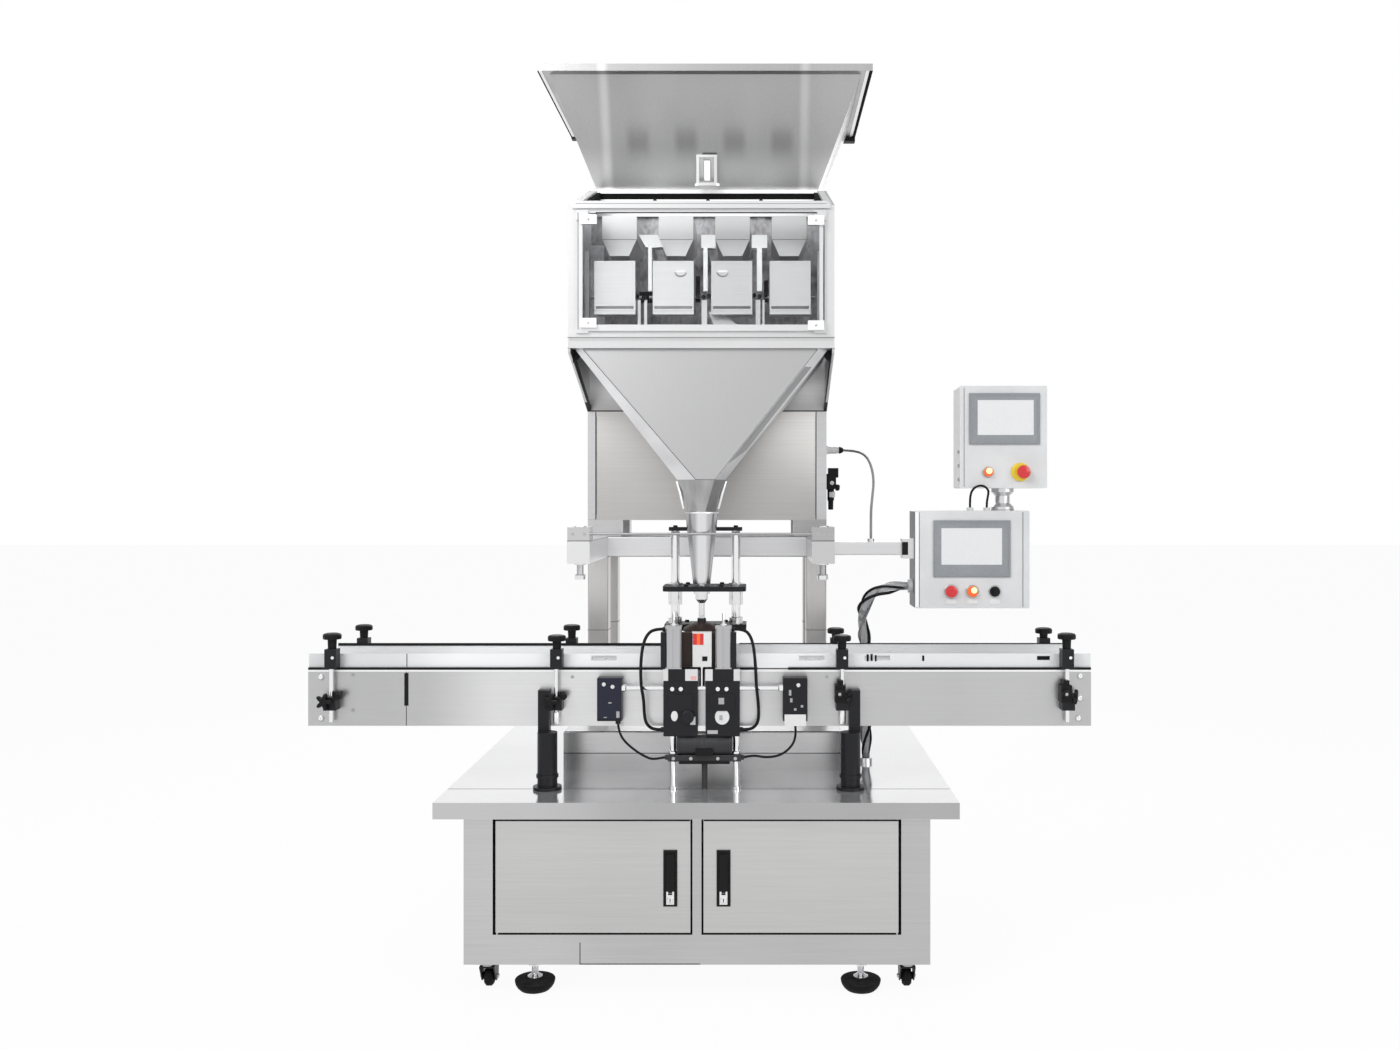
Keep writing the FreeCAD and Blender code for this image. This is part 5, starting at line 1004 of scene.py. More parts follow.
    def frame(self, low: Point, high: Point, width: float, edge: float = 0.0006, axis: int = 2) -> "Form":
        """Adds four bars that frame a rectangle.

        Args:
            low: the outer lowest corner.
            high: the outer highest corner.
            width: the width of each bar.
            edge: the size of the eased edges.
            axis: the axis across X in its plane, 2 for an upright frame and 1 for a level one.

        Returns:
            This form.
        """
        foot, top = low[axis], high[axis]
        inner = (foot + width, top - width)
        for left, right, start, end in (
            (low[0], high[0], top - width, top), (low[0], high[0], foot, foot + width),
            (low[0], low[0] + width, *inner), (high[0] - width, high[0], *inner),
        ):
            near, far = [left, *low[1:]], [right, *high[1:]]
            near[axis], far[axis] = start, end
            self.block(near, far, edge)
        return self

    def done(self, replaces: Sequence[str] = (), smooth: float = 32.0) -> bpy.types.Object:
        """Makes the piece.

        Args:
            replaces: the nodes of the frame that it stands for.
            smooth: the greatest angle, in degrees, that is shaded smoothly.

        Returns:
            The piece.
        """
        bmesh.ops.recalc_face_normals(self.mesh, faces=self.mesh.faces)
        data = bpy.data.meshes.new(self.name)
        self.mesh.to_mesh(data)
        self.mesh.free()
        for finish in self.finishes:
            data.materials.append(Palette.get(finish))
        return place_piece(self.name, data, self.body, replaces, smooth)


def place_piece(
    name: str, data: bpy.types.Mesh, body: str, replaces: Sequence[str] = (), smooth: float = 32.0
) -> bpy.types.Object:
    """Links a mesh as a piece that rides on a body.

    Args:
        name: the piece's name.
        data: its mesh, with its materials.
        body: the body that it rides on.
        replaces: the nodes of the frame that it stands for.
        smooth: the greatest angle, in degrees, that is shaded smoothly.

    Returns:
        The piece.
    """
    data.shade_smooth()
    data.set_sharp_from_angle(angle=math.radians(smooth))
    piece = linked(name, data)
    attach(piece, body)
    if replaces:
        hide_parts(*replaces)
    LOG.info("%s: %d faces", name, len(data.polygons))
    return piece


@dataclass(frozen=True)
class Spot:
    """A place for one repeated item, the way that it faces and the way of its length."""

    place: Point
    facing: Point = SOUTH
    along: Point = UP


class Pattern:
    """A Geometry Nodes tree that sets one item on each spot of a mesh of points."""

    WAYS = ("facing", "along")

    def __init__(self, name: str, inputs: dict[str, float | int]) -> None:
        """Starts the tree.

        Args:
            name: the tree's name.
            inputs: the first value of each input, by name.
        """
        self.tree = bpy.data.node_groups.new(name, "GeometryNodeTree")
        self.graph = Graph(self.tree)
        side = self.tree.interface
        side.new_socket("Geometry", in_out="INPUT", socket_type="NodeSocketGeometry")
        self.names: dict[str, str] = {}
        for label, value in inputs.items():
            kind = "NodeSocketInt" if isinstance(value, int) else "NodeSocketFloat"
            socket = side.new_socket(label, in_out="INPUT", socket_type=kind)
            socket.default_value = value
            self.names[label.replace(" ", "_").lower()] = socket.identifier
        self.paint = side.new_socket("Material", in_out="INPUT", socket_type="NodeSocketMaterial").identifier
        side.new_socket("Geometry", in_out="OUTPUT", socket_type="NodeSocketGeometry")
        self.given = self.tree.nodes.new("NodeGroupInput").outputs
        self.result = self.tree.nodes.new("NodeGroupOutput").inputs
        self.finish(self.item())

    def item(self) -> Socket:
        """Builds the repeated item, upright on its spot, and returns its geometry."""
        raise NotImplementedError

    def node(self, kind: str, inputs: dict | None = None, **settings: Any) -> Socket:
        """Adds a geometry node and returns its first output."""
        return self.graph.add("GeometryNode" + kind, inputs, **settings).outputs[0]

    def joined(self, *parts: Socket) -> Socket:
        """Joins geometries into one.

        Args:
            parts: the geometries.

        Returns:
            The whole.
        """
        node = self.graph.add("GeometryNodeJoinGeometry")
        for part in parts:
            self.tree.links.new(part, node.inputs[0])
        return node.outputs[0]

    def moved(self, part: Socket, x: Any = 0.0, y: Any = 0.0, z: Any = 0.0, turn: Point = ORIGIN) -> Socket:
        """Moves and turns a geometry by numbers or sockets and returns it."""
        inputs = {"Geometry": part, "Translation": self.graph.joint(x, y, z), "Rotation": turn}
        return self.node("Transform", inputs)

    def drum(self, sides: Any, radius: Any, depth: Any, low: Any = 0.0, top: float = 1.0) -> Socket:
        """Adds an upright drum, or a cone if its top differs.

        Args:
            sides: the number of sides.
            radius: the radius of its foot.
            depth: its height.
            low: the height of its foot.
            top: the radius of its top over that of its foot.

        Returns:
            Its geometry.
        """
        inputs = {
            "Vertices": sides, "Radius Bottom": radius, "Radius Top": self.graph.times(radius, top), "Depth": depth
        }
        return self.moved(self.graph.add("GeometryNodeMeshCone", inputs).outputs["Mesh"], z=low)

    def finish(self, item: Socket) -> None:
        """Sets the item on each spot, realizes it and gives it its material."""
        facing, along = (
            self.node("InputNamedAttribute", {"Name": label}, data_type="FLOAT_VECTOR") for label in self.WAYS
        )
        align = "FunctionNodeAlignRotationToVector"
        first = self.graph.add(align, {"Vector": facing}, axis="Z").outputs[0]
        turn = self.graph.add(align, {"Rotation": first, "Vector": along}, axis="X", pivot_axis="Z").outputs[0]
        points = {"Points": self.given["Geometry"], "Instance": item, "Rotation": turn}
        real = self.node("RealizeInstances", {0: self.node("InstanceOnPoints", points)})
        painted = self.node("SetMaterial", {"Geometry": real, "Material": self.given["Material"]})
        self.graph.feed(self.result["Geometry"], painted)

    def apply(
        self, name: str, spots: Sequence[Spot], finish: Finish, body: str = "root", replaces: Sequence[str] = (),
        **values: float | int
    ) -> bpy.types.Object:
        """Makes one piece of the items on the spots.

        Args:
            name: the piece's name.
            spots: where the items stand.
            finish: their finish.
            body: the body that the piece rides on.
            replaces: the nodes of the frame that it stands for.
            values: inputs that differ from their first value, in lower case with _ for spaces.

        Returns:
            The piece.
        """
        data = bpy.data.meshes.new(name + " spots")
        data.from_pydata([spot.place for spot in spots], [], [])
        for label in self.WAYS:
            layer = data.attributes.new(label, "FLOAT_VECTOR", "POINT")
            for row, spot in enumerate(spots):
                layer.data[row].vector = getattr(spot, label)
        base = linked(name + " spots", data)
        modifier = base.modifiers.new("pattern", "NODES")
        modifier.node_group = self.tree
        modifier[self.paint] = Palette.get(finish)
        for key, value in values.items():
            modifier[self.names[key]] = value
        bpy.context.view_layer.update()
        made = bpy.data.meshes.new_from_object(base.evaluated_get(bpy.context.evaluated_depsgraph_get()))
        base.modifiers.remove(modifier)
        bpy.data.objects.remove(base)
        for label in self.WAYS:
            if label in made.attributes:
                made.attributes.remove(made.attributes[label])
        if not made.materials:
            made.materials.append(Palette.get(finish))
        return place_piece(name, made, body, replaces)


class Screws(Pattern):
    """Socket head screws with an eased crown and a six-sided recess."""

    def item(self) -> Socket:
        """Builds one screw."""
        times = self.graph.times
        radius, height = self.given["Head Radius"], self.given["Head Height"]
        crown = times(height, 0.2)
        wall = self.graph.math("SUBTRACT", height, crown)
        head = self.joined(self.drum(20, radius, wall), self.drum(20, radius, crown, wall, 0.86))
        recess = self.drum(6, self.given["Recess Radius"], height, times(height, 0.45))
        united = self.node("MeshBoolean", {1: head}, operation="UNION")
        whole = self.node("MergeByDistance", {"Geometry": united})
        return self.node("MeshBoolean", {0: whole, 1: recess}, operation="DIFFERENCE")


class HexNuts(Pattern):
    """Six-sided nuts or bolt heads on a washer, with a stud end."""

    def item(self) -> Socket:
        """Builds one nut."""
        times = self.graph.times
        radius, height = self.given["Nut Radius"], self.given["Nut Height"]
        washer = times(height, 0.25)
        return self.joined(
            self.drum(24, times(radius, 1.25), washer),
            self.drum(6, radius, height, washer, 0.94),
            self.drum(16, times(radius, 0.55), times(height, 0.4), times(height, 1.2), 0.8),
        )


class Threads(Pattern):
    """Threaded studs: eased rings stacked at an even pitch."""

    def item(self) -> Socket:
        """Builds one stud."""
        radius, pitch = self.given["Radius"], self.given["Pitch"]
        half = self.graph.times(pitch, 0.5)
        upper = self.drum(20, self.graph.times(radius, 1.09), half, 0.0, 0.917)
        ring = self.joined(self.drum(20, radius, half, 0.0, 1.09), self.moved(upper, z=half))
        line = self.node("MeshLine", {"Count": self.given["Turns"], "Offset": self.graph.joint(z=pitch)})
        return self.node("RealizeInstances", {0: self.node("InstanceOnPoints", {"Points": line, "Instance": ring})})


class Slats(Pattern):
    """Flat chain slats, each an eased plate over a hinge barrel."""

    def cube(self, *size: Any) -> Socket:
        """Adds a block about the origin and returns its geometry."""
        return self.node("MeshCube", {"Size": self.graph.joint(*size)})

    def item(self) -> Socket:
        """Builds one slat, with its top at the spot."""
        times = self.graph.times
        length, width, sheet = (self.given[name] for name in ("Length", "Width", "Sheet"))
        half = times(sheet, -0.5)
        slat = self.cube(length, width, sheet)
        lip = self.cube(times(length, 0.93), times(width, 0.985), times(sheet, 0.2))
        barrel = self.drum(10, times(sheet, 0.5), times(width, 0.5))
        lying = self.moved(barrel, y=times(width, -0.25), turn=(-math.pi / 2, 0.0, 0.0))
        lying = self.moved(lying, x=times(length, 0.5), z=half)
        return self.joined(self.moved(slat, z=half), self.moved(lip, z=times(sheet, 0.02)), lying)


class LobedKnobs(Pattern):
    """Hand knobs with a wavy grip, a domed crown and a stem."""

    LAYERS = ((0.15, 1.06), (0.55, 1.0), (0.2, 0.88), (0.1, 0.72))

    def item(self) -> Socket:
        """Builds one knob, whose grip rises in layers of a share of its thickness."""
        graph = self.graph
        ring = self.node("CurvePrimitiveCircle", {"Resolution": 60, "Radius": 1.0})
        place = self.node("InputPosition")
        x, y, _ = graph.split(place)
        wave = graph.math("COSINE", graph.times(graph.math("ARCTAN2", y, x), self.given["Lobes"]))
        depth = graph.math("SUBTRACT", wave, 1.0)
        reach = graph.math("MULTIPLY_ADD", depth, self.given["Lobe Depth"], self.given["Radius"])
        scaled = graph.add("ShaderNodeVectorMath", {0: place, "Scale": reach}, operation="SCALE").outputs[0]
        wavy = self.node("SetPosition", {0: ring, "Position": scaled})
        face = self.node("FillCurve", {"Curve": wavy}, mode="NGONS")
        body, top = face, True
        for share, shrink in self.LAYERS:
            lift = graph.times(self.given["Thickness"], share)
            inputs = {"Mesh": body, "Offset Scale": lift, "Selection": top}
            raised = graph.add("GeometryNodeExtrudeMesh", inputs, mode="FACES").outputs
            top = raised["Top"]
            inputs = {"Geometry": raised["Mesh"], "Selection": top, "Scale": shrink}
            body = self.node("ScaleElements", inputs, domain="FACE")
        foot = self.node("FlipFaces", {"Mesh": face})
        head = self.node("MergeByDistance", {"Geometry": self.joined(body, foot)})
        stem = self.drum(20, self.given["Stem Radius"], self.given["Stem"], 0.0, 1.1)
        return self.joined(self.moved(head, z=self.given["Stem"]), stem)


SCREWS = Screws("socket_screws", {"Head Radius": 0.004, "Head Height": 0.003, "Recess Radius": 0.002})
NUTS = HexNuts("hex_nuts", {"Nut Radius": 0.007, "Nut Height": 0.006})
THREADS = Threads("stud_threads", {"Radius": 0.008, "Pitch": 0.002, "Turns": 10})
SLATS = Slats("chain_slats", {"Length": 0.0365, "Width": 0.19, "Sheet": 0.0048})
KNOBS = LobedKnobs(
    "lobed_knobs",
    {"Radius": 0.023, "Lobe Depth": 0.001, "Lobes": 12, "Thickness": 0.014, "Stem Radius": 0.009, "Stem": 0.018},
)


@dataclass(frozen=True)
class Cord:
    """A cable or hose along a smooth route in millimetres, both ends held by the machine."""

    node: str
    diameter: float
    length: float
    points: tuple[Point, ...]
    finish: Finish
    stiffness: str = "medium"

    def curve(self, bevel: float) -> bpy.types.Curve:
        """Makes the route's curve.

        Args:
            bevel: the tube's radius, or 0 for the bare line.

        Returns:
            The curve's data.
        """
        data = bpy.data.curves.new(self.node + " line", "CURVE")
        data.dimensions, data.resolution_u = "3D", 10
        data.bevel_depth, data.bevel_resolution = bevel, 4
        data.use_fill_caps = True
        spline = data.splines.new("NURBS")
        spline.points.add(len(self.points) - 1)
        for point, place in zip(spline.points, self.points):
            point.co = (*(value / MILLIMETRES for value in place), 1.0)
        spline.order_u = 3
        spline.use_endpoint_u = True
        return data

    def line(self) -> list[Vector]:
        """Reads the smooth line from the route's spline.

        Returns:
            Its points in turn.
        """
        bare = linked(self.node + " bare", self.curve(0.0))
        bpy.context.view_layer.update()
        mesh = bpy.data.meshes.new_from_object(bare)
        points = [vertex.co.copy() for vertex in mesh.vertices]
        bpy.data.objects.remove(bare)
        bpy.data.meshes.remove(mesh)
        return points

    def build(self, extras: Sequence[bpy.types.Object] = ()) -> None:
        """Args:
            extras: the pieces that lie on it; not used.
        """
        data = self.curve(self.diameter / 2 / MILLIMETRES)
        data.materials.append(Palette.get(self.finish))
        cord = linked(self.node + "_line", data)
        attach(cord, "root")
        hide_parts(self.node)
        LOG.info("%s: %.0f mm", self.node, self.length)


class Cords:
    """All cables and hoses of the machine."""

    PANEL = Cord(
        "panel_hose", 22.0, 626.0,
        ((547, -282.5, 985), (487, -282.5, 985), (443, -262.5, 955), (427, -212.5, 893), (447, -138, 818),
         (449, -112, 733), (453, -106, 646), (450, -110, 565), (450, -110, 495)),
        Palette.HOSE,
    )
    CORDS = (
        Cord(
            "sensor_cable", 7.0, 544.0,
            ((380, 95, 1360), (428, 95, 1360), (462, 47, 1346), (473, -33, 1310), (472, -117, 1266),
             (460, -202, 1223), (451, -262, 1189), (447, -300, 1151), (447, -300, 1111)),
            Palette.GREY_CABLE,
        ),
        Cord(
            "link_cable", 6.0, 165.0,
            ((706, -315, 1193), (706, -315, 1207), (705, -326, 1223), (706, -344, 1238), (719, -350, 1250),
             (737, -350, 1250), (750, -344, 1238), (751, -326, 1223), (750, -315, 1207), (750, -315, 1193)),
            Palette.CABLE, "limp",
        ),
        PANEL,
        Cord(
            "left_air_hose", 8.0, 319.0,
            ((-92, -434, 886), (-116, -434, 886), (-134, -440, 869), (-143, -449, 838), (-146, -458, 794),
             (-144, -464, 746), (-138, -458, 712), (-138, -447, 680), (-136, -438, 655), (-128, -435, 640),
             (-113, -435, 632), (-97, -435, 632)),
            Palette.CABLE, "limp",
        ),
        Cord(
            "right_air_hose", 8.0, 318.0,
            ((90, -434, 886), (114, -434, 886), (131, -440, 869), (139, -449, 838), (143, -458, 794),
             (145, -464, 746), (149, -458, 712), (151, -447, 680), (150, -438, 655), (142, -435, 640),
             (127, -435, 632), (111, -435, 632)),
            Palette.CABLE, "limp",
        ),
        Cord(
            "left_block_cable", 6.0, 172.0,
            ((-205, -435, 647), (-203, -435, 627), (-189, -439, 603), (-160, -441, 579), (-126, -440, 559),
             (-106, -436, 558), (-86, -435, 562)),
            Palette.CABLE,
        ),
        Cord(
            "right_block_cable", 6.0, 179.0,
            ((243, -435, 647), (246, -435, 622), (237, -439, 592), (206, -441, 567), (166, -440, 562),
             (138, -436, 568), (114, -435, 562)),
            Palette.CABLE,
        ),
    )
    WOUND = (
        (Palette.CABLE, 0.004, 2.6, 0.3), (Palette.CABLE, 0.0034, 1.9, 2.4), (Palette.GREY_CABLE, 0.003, 2.2, 4.4)
    )

    def wrapped(self) -> list[bpy.types.Object]:
        """Winds the thin cables round the panel hose, each with its radius, turns and first angle.

        Returns:
            The cables' pieces.
        """
        line = self.PANEL.line()
        reach = self.PANEL.diameter / 2 / MILLIMETRES
        lengths = [0.0]
        for before, after in zip(line, line[1:]):
            lengths.append(lengths[-1] + (after - before).length)
        pieces = []
        for row, (finish, radius, turns, start) in enumerate(self.WOUND, 1):
            points = []
            normal = Vector((0.0, 1.0, 0.0))
            for step, (place, run) in enumerate(zip(line, lengths)):
                way = (line[min(step + 1, len(line) - 1)] - line[max(step - 1, 0)]).normalized()
                normal = (normal - way * normal.dot(way)).normalized()
                share = run / lengths[-1]
                ease = min(1.0, share / 0.08, (1.0 - share) / 0.08)
                angle = start + math.tau * turns * share
                side = normal * math.cos(angle) + way.cross(normal) * math.sin(angle)
                points.append(place + side * (reach * 0.55 + (reach * 0.45 + radius * 0.9) * ease))
            pieces.append(Form(f"wrapped_cable_{row}", finish).tube(points, radius, 8).done(smooth=80.0))
        return pieces

    def build(self) -> None:
        """Makes every cord."""
        for cord in self.CORDS:
            cord.build(self.wrapped() if cord is self.PANEL else ())


@dataclass(frozen=True)
class Cabinet:
    """Handles, feet, casters and seams of the table's cabinet."""

    front: float = -0.545
    handle_x: float = 0.065
    handle_half: float = 0.017
    handle_low: float = 0.221
    handle_top: float = 0.358
    feet_at: tuple[Pair, ...] = (
        (-0.404, -0.495), (0.404, -0.495), (-0.404, 0.425), (0.404, 0.425),
    )
    casters_at: tuple[tuple[str, float, float], ...] = (
        ("front_left", -0.518, -0.505), ("front_right", 0.518, -0.505),
        ("rear_left", -0.518, 0.435), ("rear_right", 0.518, 0.435),
    )
    tread: float = 0.0236

    def handle(self, side: float, name: str) -> None:
        """Makes a flush swing handle with its lock.

        Args:
            side: -1 for the left door, 1 for the right one.
            name: the door's name.
        """
        x, y, half = side * self.handle_x, self.front, self.handle_half
        low, top = self.handle_low, self.handle_top
        form = Form(name + "_handle_set", Palette.BLACK_PLASTIC, name)
        form.block((x - half, y - 0.0035, low), (x + half, y + 0.0002, top), 0.0015, 2)
        form.frame((x - half + 0.0015, y - 0.0055, low + 0.0015), (x + half - 0.0015, y - 0.003, top - 0.0015), 0.0028)
        form.block((x - half + 0.007, y - 0.0078, low + 0.04), (x + half - 0.007, y - 0.003, top - 0.009), 0.0018, 3)
        form.block((x - 0.005, y - 0.0074, low + 0.034), (x + 0.005, y - 0.003, low + 0.042), 0.001)
        form.use(Palette.BRIGHT)
        form.block((x - 0.0095, y - 0.0062, low + 0.0055), (x + 0.0095, y - 0.003, low + 0.037), 0.0015, 2)
        lock = [(0.0082, 0.0), (0.0082, 0.002), (0.0072, 0.003), (0.002, 0.0032)]
        form.lathe(lock, (x, y - 0.0058, low + 0.0165), SOUTH)
        form.use(Palette.GAP)
        form.block((x - 0.001, y - 0.0095, low + 0.012), (x + 0.001, y - 0.008, low + 0.021), 0.0)
        form.block((x - 0.005, y - 0.0068, low + 0.029), (x + 0.005, y - 0.0058, low + 0.033), 0.0)
        form.done([name + "_handle"])
        line = Form(name + "_top_line", Palette.GAP, name)
        left, right = sorted((side * 0.017, side * 0.493))
        line.block((left, -0.5474, 0.429), (right, -0.5466, 0.4316), 0.0)
        line.done()

    def feet(self) -> None:
        """Makes the levelling feet: rubber discs, domes and threaded stems with their nuts."""
        form = Form("levelling_foot_set", Palette.RUBBER)
        for x, y in self.feet_at:
            form.use(Palette.RUBBER)
            pad = [
                (0.034, 0.0), (0.037, 0.0012), (0.043, 0.007), (0.0475, 0.014), (0.0495, 0.021), (0.0498, 0.0245),
                (0.0485, 0.0262), (0.04, 0.0278), (0.026, 0.03), (0.0185, 0.0315),
            ]
            form.lathe(pad, (x, y, 0), steps=40)
            form.use(Palette.BRIGHT)
            stem = [(0.0185, 0.0312), (0.0185, 0.033), (0.013, 0.0365), (0.0076, 0.039), (0.0076, 0.0778)]
            form.lathe(stem, (x, y, 0), steps=24)
        form.done(["levelling_feet"])
        nuts = [Spot((x, y, 0.062), UP, EAST) for x, y in self.feet_at]
        NUTS.apply("foot_nuts", nuts, Palette.BRIGHT, nut_radius=0.0135, nut_height=0.01)
        threads = [Spot((x, y, 0.04), UP, EAST) for x, y in self.feet_at]
        THREADS.apply("foot_threads", threads, Palette.BRIGHT, radius=0.0079, pitch=0.0022, turns=10)

    def casters(self) -> None:
        """Adds axle nuts and swivel rings to the casters."""
        for name, x, y in self.casters_at:
            axle = [Spot((x + way * 0.0188, y + 0.018, 0.03), (way, 0, 0), UP) for way in (-1.0, 1.0)]
            NUTS.apply("axle_nuts_" + name, axle, Palette.ZINC, "fork_" + name, nut_radius=0.0058, nut_height=0.003)
            ring = [(0.0163, 0.0655), (0.021, 0.0662), (0.0222, 0.0685), (0.021, 0.0715), (0.0163, 0.0722)]
            Form("swivel_ring_" + name, Palette.ZINC, "fork_" + name).lathe(ring, (x, y, 0)).done()
            tread = Form("tread_lines_" + name, Palette.RUBBER, "wheel_" + name)
            for side in (-1, 0, 1):
                line = [(x + side * 0.0045, y + 0.018 + out, 0.03 + up) for out, up in circle(36, self.tread)]
                tread.tube(line, 0.0008, 5, closed=True)
            tread.done()

    def seams(self) -> None:
        """Draws the seam behind the table's front edge and those of the cabinet front, and lays thin sheets round the
        table's edge that carry its painted shade.
        """
        form = Form("cabinet_seams", Palette.GAP)
        form.block((-0.3745, -0.2316, 0.5298), (0.3745, -0.2308, 0.5316), 0.0)
        form.block((-0.6345, -0.4412, 0.4824), (0.6345, -0.4398, 0.4833), 0.0)
        form.plates(((-0.2866, 0.079, -0.2846, 0.132), (-0.2866, 0.0785, 0.008, 0.0805)), -0.5456, -0.5448)
        # Painted shade: thin sheets over the table's edge make it darker than the same sheet's top.
        form.use(Palette.APRON)
        for low, high in (((-0.6354, -0.5857), (0.6354, -0.5848)), ((-0.6354, 0.5148), (0.6354, 0.5156)),
                          ((-0.6352, -0.585), (-0.6348, 0.515)), ((0.6348, -0.585), (0.6352, 0.515))):
            form.block((*low, 0.4434), (*high, 0.4828), 0.0)
        form.done()

    def build(self) -> None:
        """Makes every piece."""
        for side, name in ((-1.0, "left_door"), (1.0, "right_door")):
            self.handle(side, name)
        self.feet()
        self.casters()
        self.seams()


@dataclass(frozen=True)
class Conveyor:
    """The slat chain, the black wear strips, the guide clamps' knobs and the bolts."""

    reach: float = 0.93
    axle: float = 0.718
    radius: float = 0.066
    centre: float = -0.2875
    slats: int = 108
    clamps_at: tuple[float, ...] = (-0.935, -0.363, 0.363, 0.935)

    def slat_at(self, run: float) -> Spot:
        """Finds a slat's place on the loop.

        Args:
            run: its distance along the loop.

        Returns:
            The slat's spot.
        """
        straight, arc = 2 * self.reach, math.pi * self.radius
        if run < straight:
            return Spot((run - self.reach, self.centre, self.axle + self.radius), UP, EAST)
        if run < straight + arc:
            angle, middle = (run - straight) / self.radius, self.reach
        elif run < 2 * straight + arc:
            x = self.reach - (run - straight - arc)
            return Spot((x, self.centre, self.axle - self.radius), (0, 0, -1), (-1, 0, 0))
        else:
            angle, middle = math.pi + (run - 2 * straight - arc) / self.radius, -self.reach
        out = (math.sin(angle), 0.0, math.cos(angle))
        place = (middle + self.radius * out[0], self.centre, self.axle + self.radius * out[2])
        return Spot(place, out, (out[2], 0.0, -out[0]))

    def chain(self) -> None:
        """Makes the slat chain as one closed loop."""
        total = 4 * self.reach + math.tau * self.radius
        spots = [self.slat_at(total * row / self.slats) for row in range(self.slats)]
        SLATS.apply(
            "chain_slats", spots, Palette.CHAIN, replaces=["slat_chain"], length=total / self.slats - 0.0016
        )

    def strips(self) -> None:
        """Makes the black edges of the plates and guards, a pale strip under the front edge that is a painted
        highlight, and the seam in the front plate.
        """
        form = Form("conveyor_edge_strips", Palette.BLACK_PLASTIC)
        form.plates(((-0.9995, 0.7795, 0.148, 0.7852), (0.226, 0.7795, 0.9995, 0.7852)), -0.4072, -0.399, 0.001)
        form.block((-0.9995, -0.179, 0.814), (-0.1, -0.1738, 0.8212), 0.001)
        form.block((0.098, -0.179, 0.8186), (0.9995, -0.1742, 0.8212), 0.0005)
        form.block((-0.754, -0.4066, 0.6876), (-0.744, -0.4048, 0.7708), 0.0005)
        # Painted highlight: a pale strip along the front plate's top edge, under its black edge.
        form.use(Palette.WHITE_METAL).block((-0.9995, -0.4064, 0.7745), (0.9995, -0.4048, 0.779), 0.0)
        form.use(Palette.GAP)
        form.plates(
            ((0.863, 0.8036, 0.8955, 0.8138), (0.427, 0.8, 0.4325, 0.818), (0.437, 0.801, 0.4425, 0.819),
             (0.448, 0.8, 0.4525, 0.816), (0.569, 0.801, 0.5745, 0.815), (-0.934, 0.801, -0.927, 0.813)),
            -0.4006, -0.3998
        )
        form.block((-0.75, -0.4056, 0.6365), (-0.7486, -0.4048, 0.779), 0.0)
        form.block((-0.75, -0.4006, 0.786), (-0.7482, -0.3998, 0.8195), 0.0)
        form.block((0.148, -0.4058, 0.7815), (0.226, -0.4045, 0.7835), 0.0)
        form.done()

    def knobs(self) -> None:
        """Makes the knobs of the guide clamps and the rods' cross clamps."""
        outer, inner, left, right = (-0.935, 0.935), (-0.363, 0.363), (-0.935, -0.363), (0.363, 0.935)
        for name, places, y, stem in (("front_outer", outer, -0.4155, 0.025), ("front_inner", inner, -0.4155, 0.0205),
                                      ("rear_left", left, -0.1595, 0.021), ("rear_right", right, -0.1595, 0.0125)):
            tops = [Spot((x, y, 0.8338), UP, EAST) for x in places]
            KNOBS.apply(
                name + "_mushroom_knobs", tops, Palette.BLACK_PLASTIC, replaces=["clamp_knobs"],
                radius=0.0218, lobe_depth=0.0005, lobes=18, stem_radius=0.0105, stem=stem, thickness=0.0155
            )
        stars = (
            ("left", self.clamps_at[:2], (-0.01, -0.437, 0.703), (-0.25, -1, 0), (0.3, 0, 1), 0.0215, 0.006),
            ("right", self.clamps_at[2:], (0.011, -0.43, 0.714), (1, -0.25, -0.1), (0, 0.3, 1), 0.019, 0.004),
        )
        for side, places, (shift, y, z), facing, along, radius, depth in stars:
            spots = [Spot((x + shift, y, z), facing, along) for x in places]
            KNOBS.apply(
                f"star_knobs_{side}", spots, Palette.BLACK_PLASTIC, lobes=5, thickness=0.01, stem=0.0035,
                stem_radius=0.009, radius=radius, lobe_depth=depth
            )

    def fittings(self) -> None:
        """Adds the clamps' screws, the bolts in the plates and the rods' lower clamp plates."""
        screws = [Spot((x + 0.006, -0.4308, 0.813)) for x in self.clamps_at]
        SCREWS.apply("clamp_screws", screws, Palette.WHITE_METAL, head_radius=0.004)
        bolts = [(-0.967, 0.761), (-0.967, 0.656), (0.9715, 0.7635), (0.9705, 0.707), (0.967, 0.656),
                 (-0.886, 0.7665), (-0.886, 0.676), (-0.325, 0.761), (0.325, 0.761)]
        pale = [Spot((x, -0.406, z)) for x, z in bolts[:5]]
        SCREWS.apply("plate_screws", pale, Palette.WHITE_METAL, head_radius=0.006, head_height=0.0035)
        dark = [Spot((x, -0.4048, z)) for x, z in bolts[5:]]
        SCREWS.apply("plate_bolts", dark, Palette.GREY_METAL, head_radius=0.0042, head_height=0.003)
        washers = Form("plate_washers", Palette.GREY_METAL)
        for x, z in bolts[:5]:
            washers.lathe([(0.008, 0.0), (0.008, 0.0008), (0.007, 0.0012)], (x + 0.0008, -0.4049, z - 0.001), SOUTH, 24)
        washers.done()
        form = Form("rod_clamp_plates", Palette.BLACK_PLASTIC)
        for x in self.clamps_at[:2]:
            form.block((x + 0.008, -0.43, 0.706), (x + 0.0225, -0.4048, 0.726), 0.002, 2)
            form.lathe(
                [(0.0075, 0.0), (0.0085, 0.002), (0.0085, 0.008), (0.006, 0.01)], (x + 0.0205, -0.429, 0.716), SOUTH, 20
            )
        for x in self.clamps_at[2:]:
            form.block((x - 0.019, -0.44, 0.7), (x + 0.008, -0.4048, 0.744), 0.006, 3)
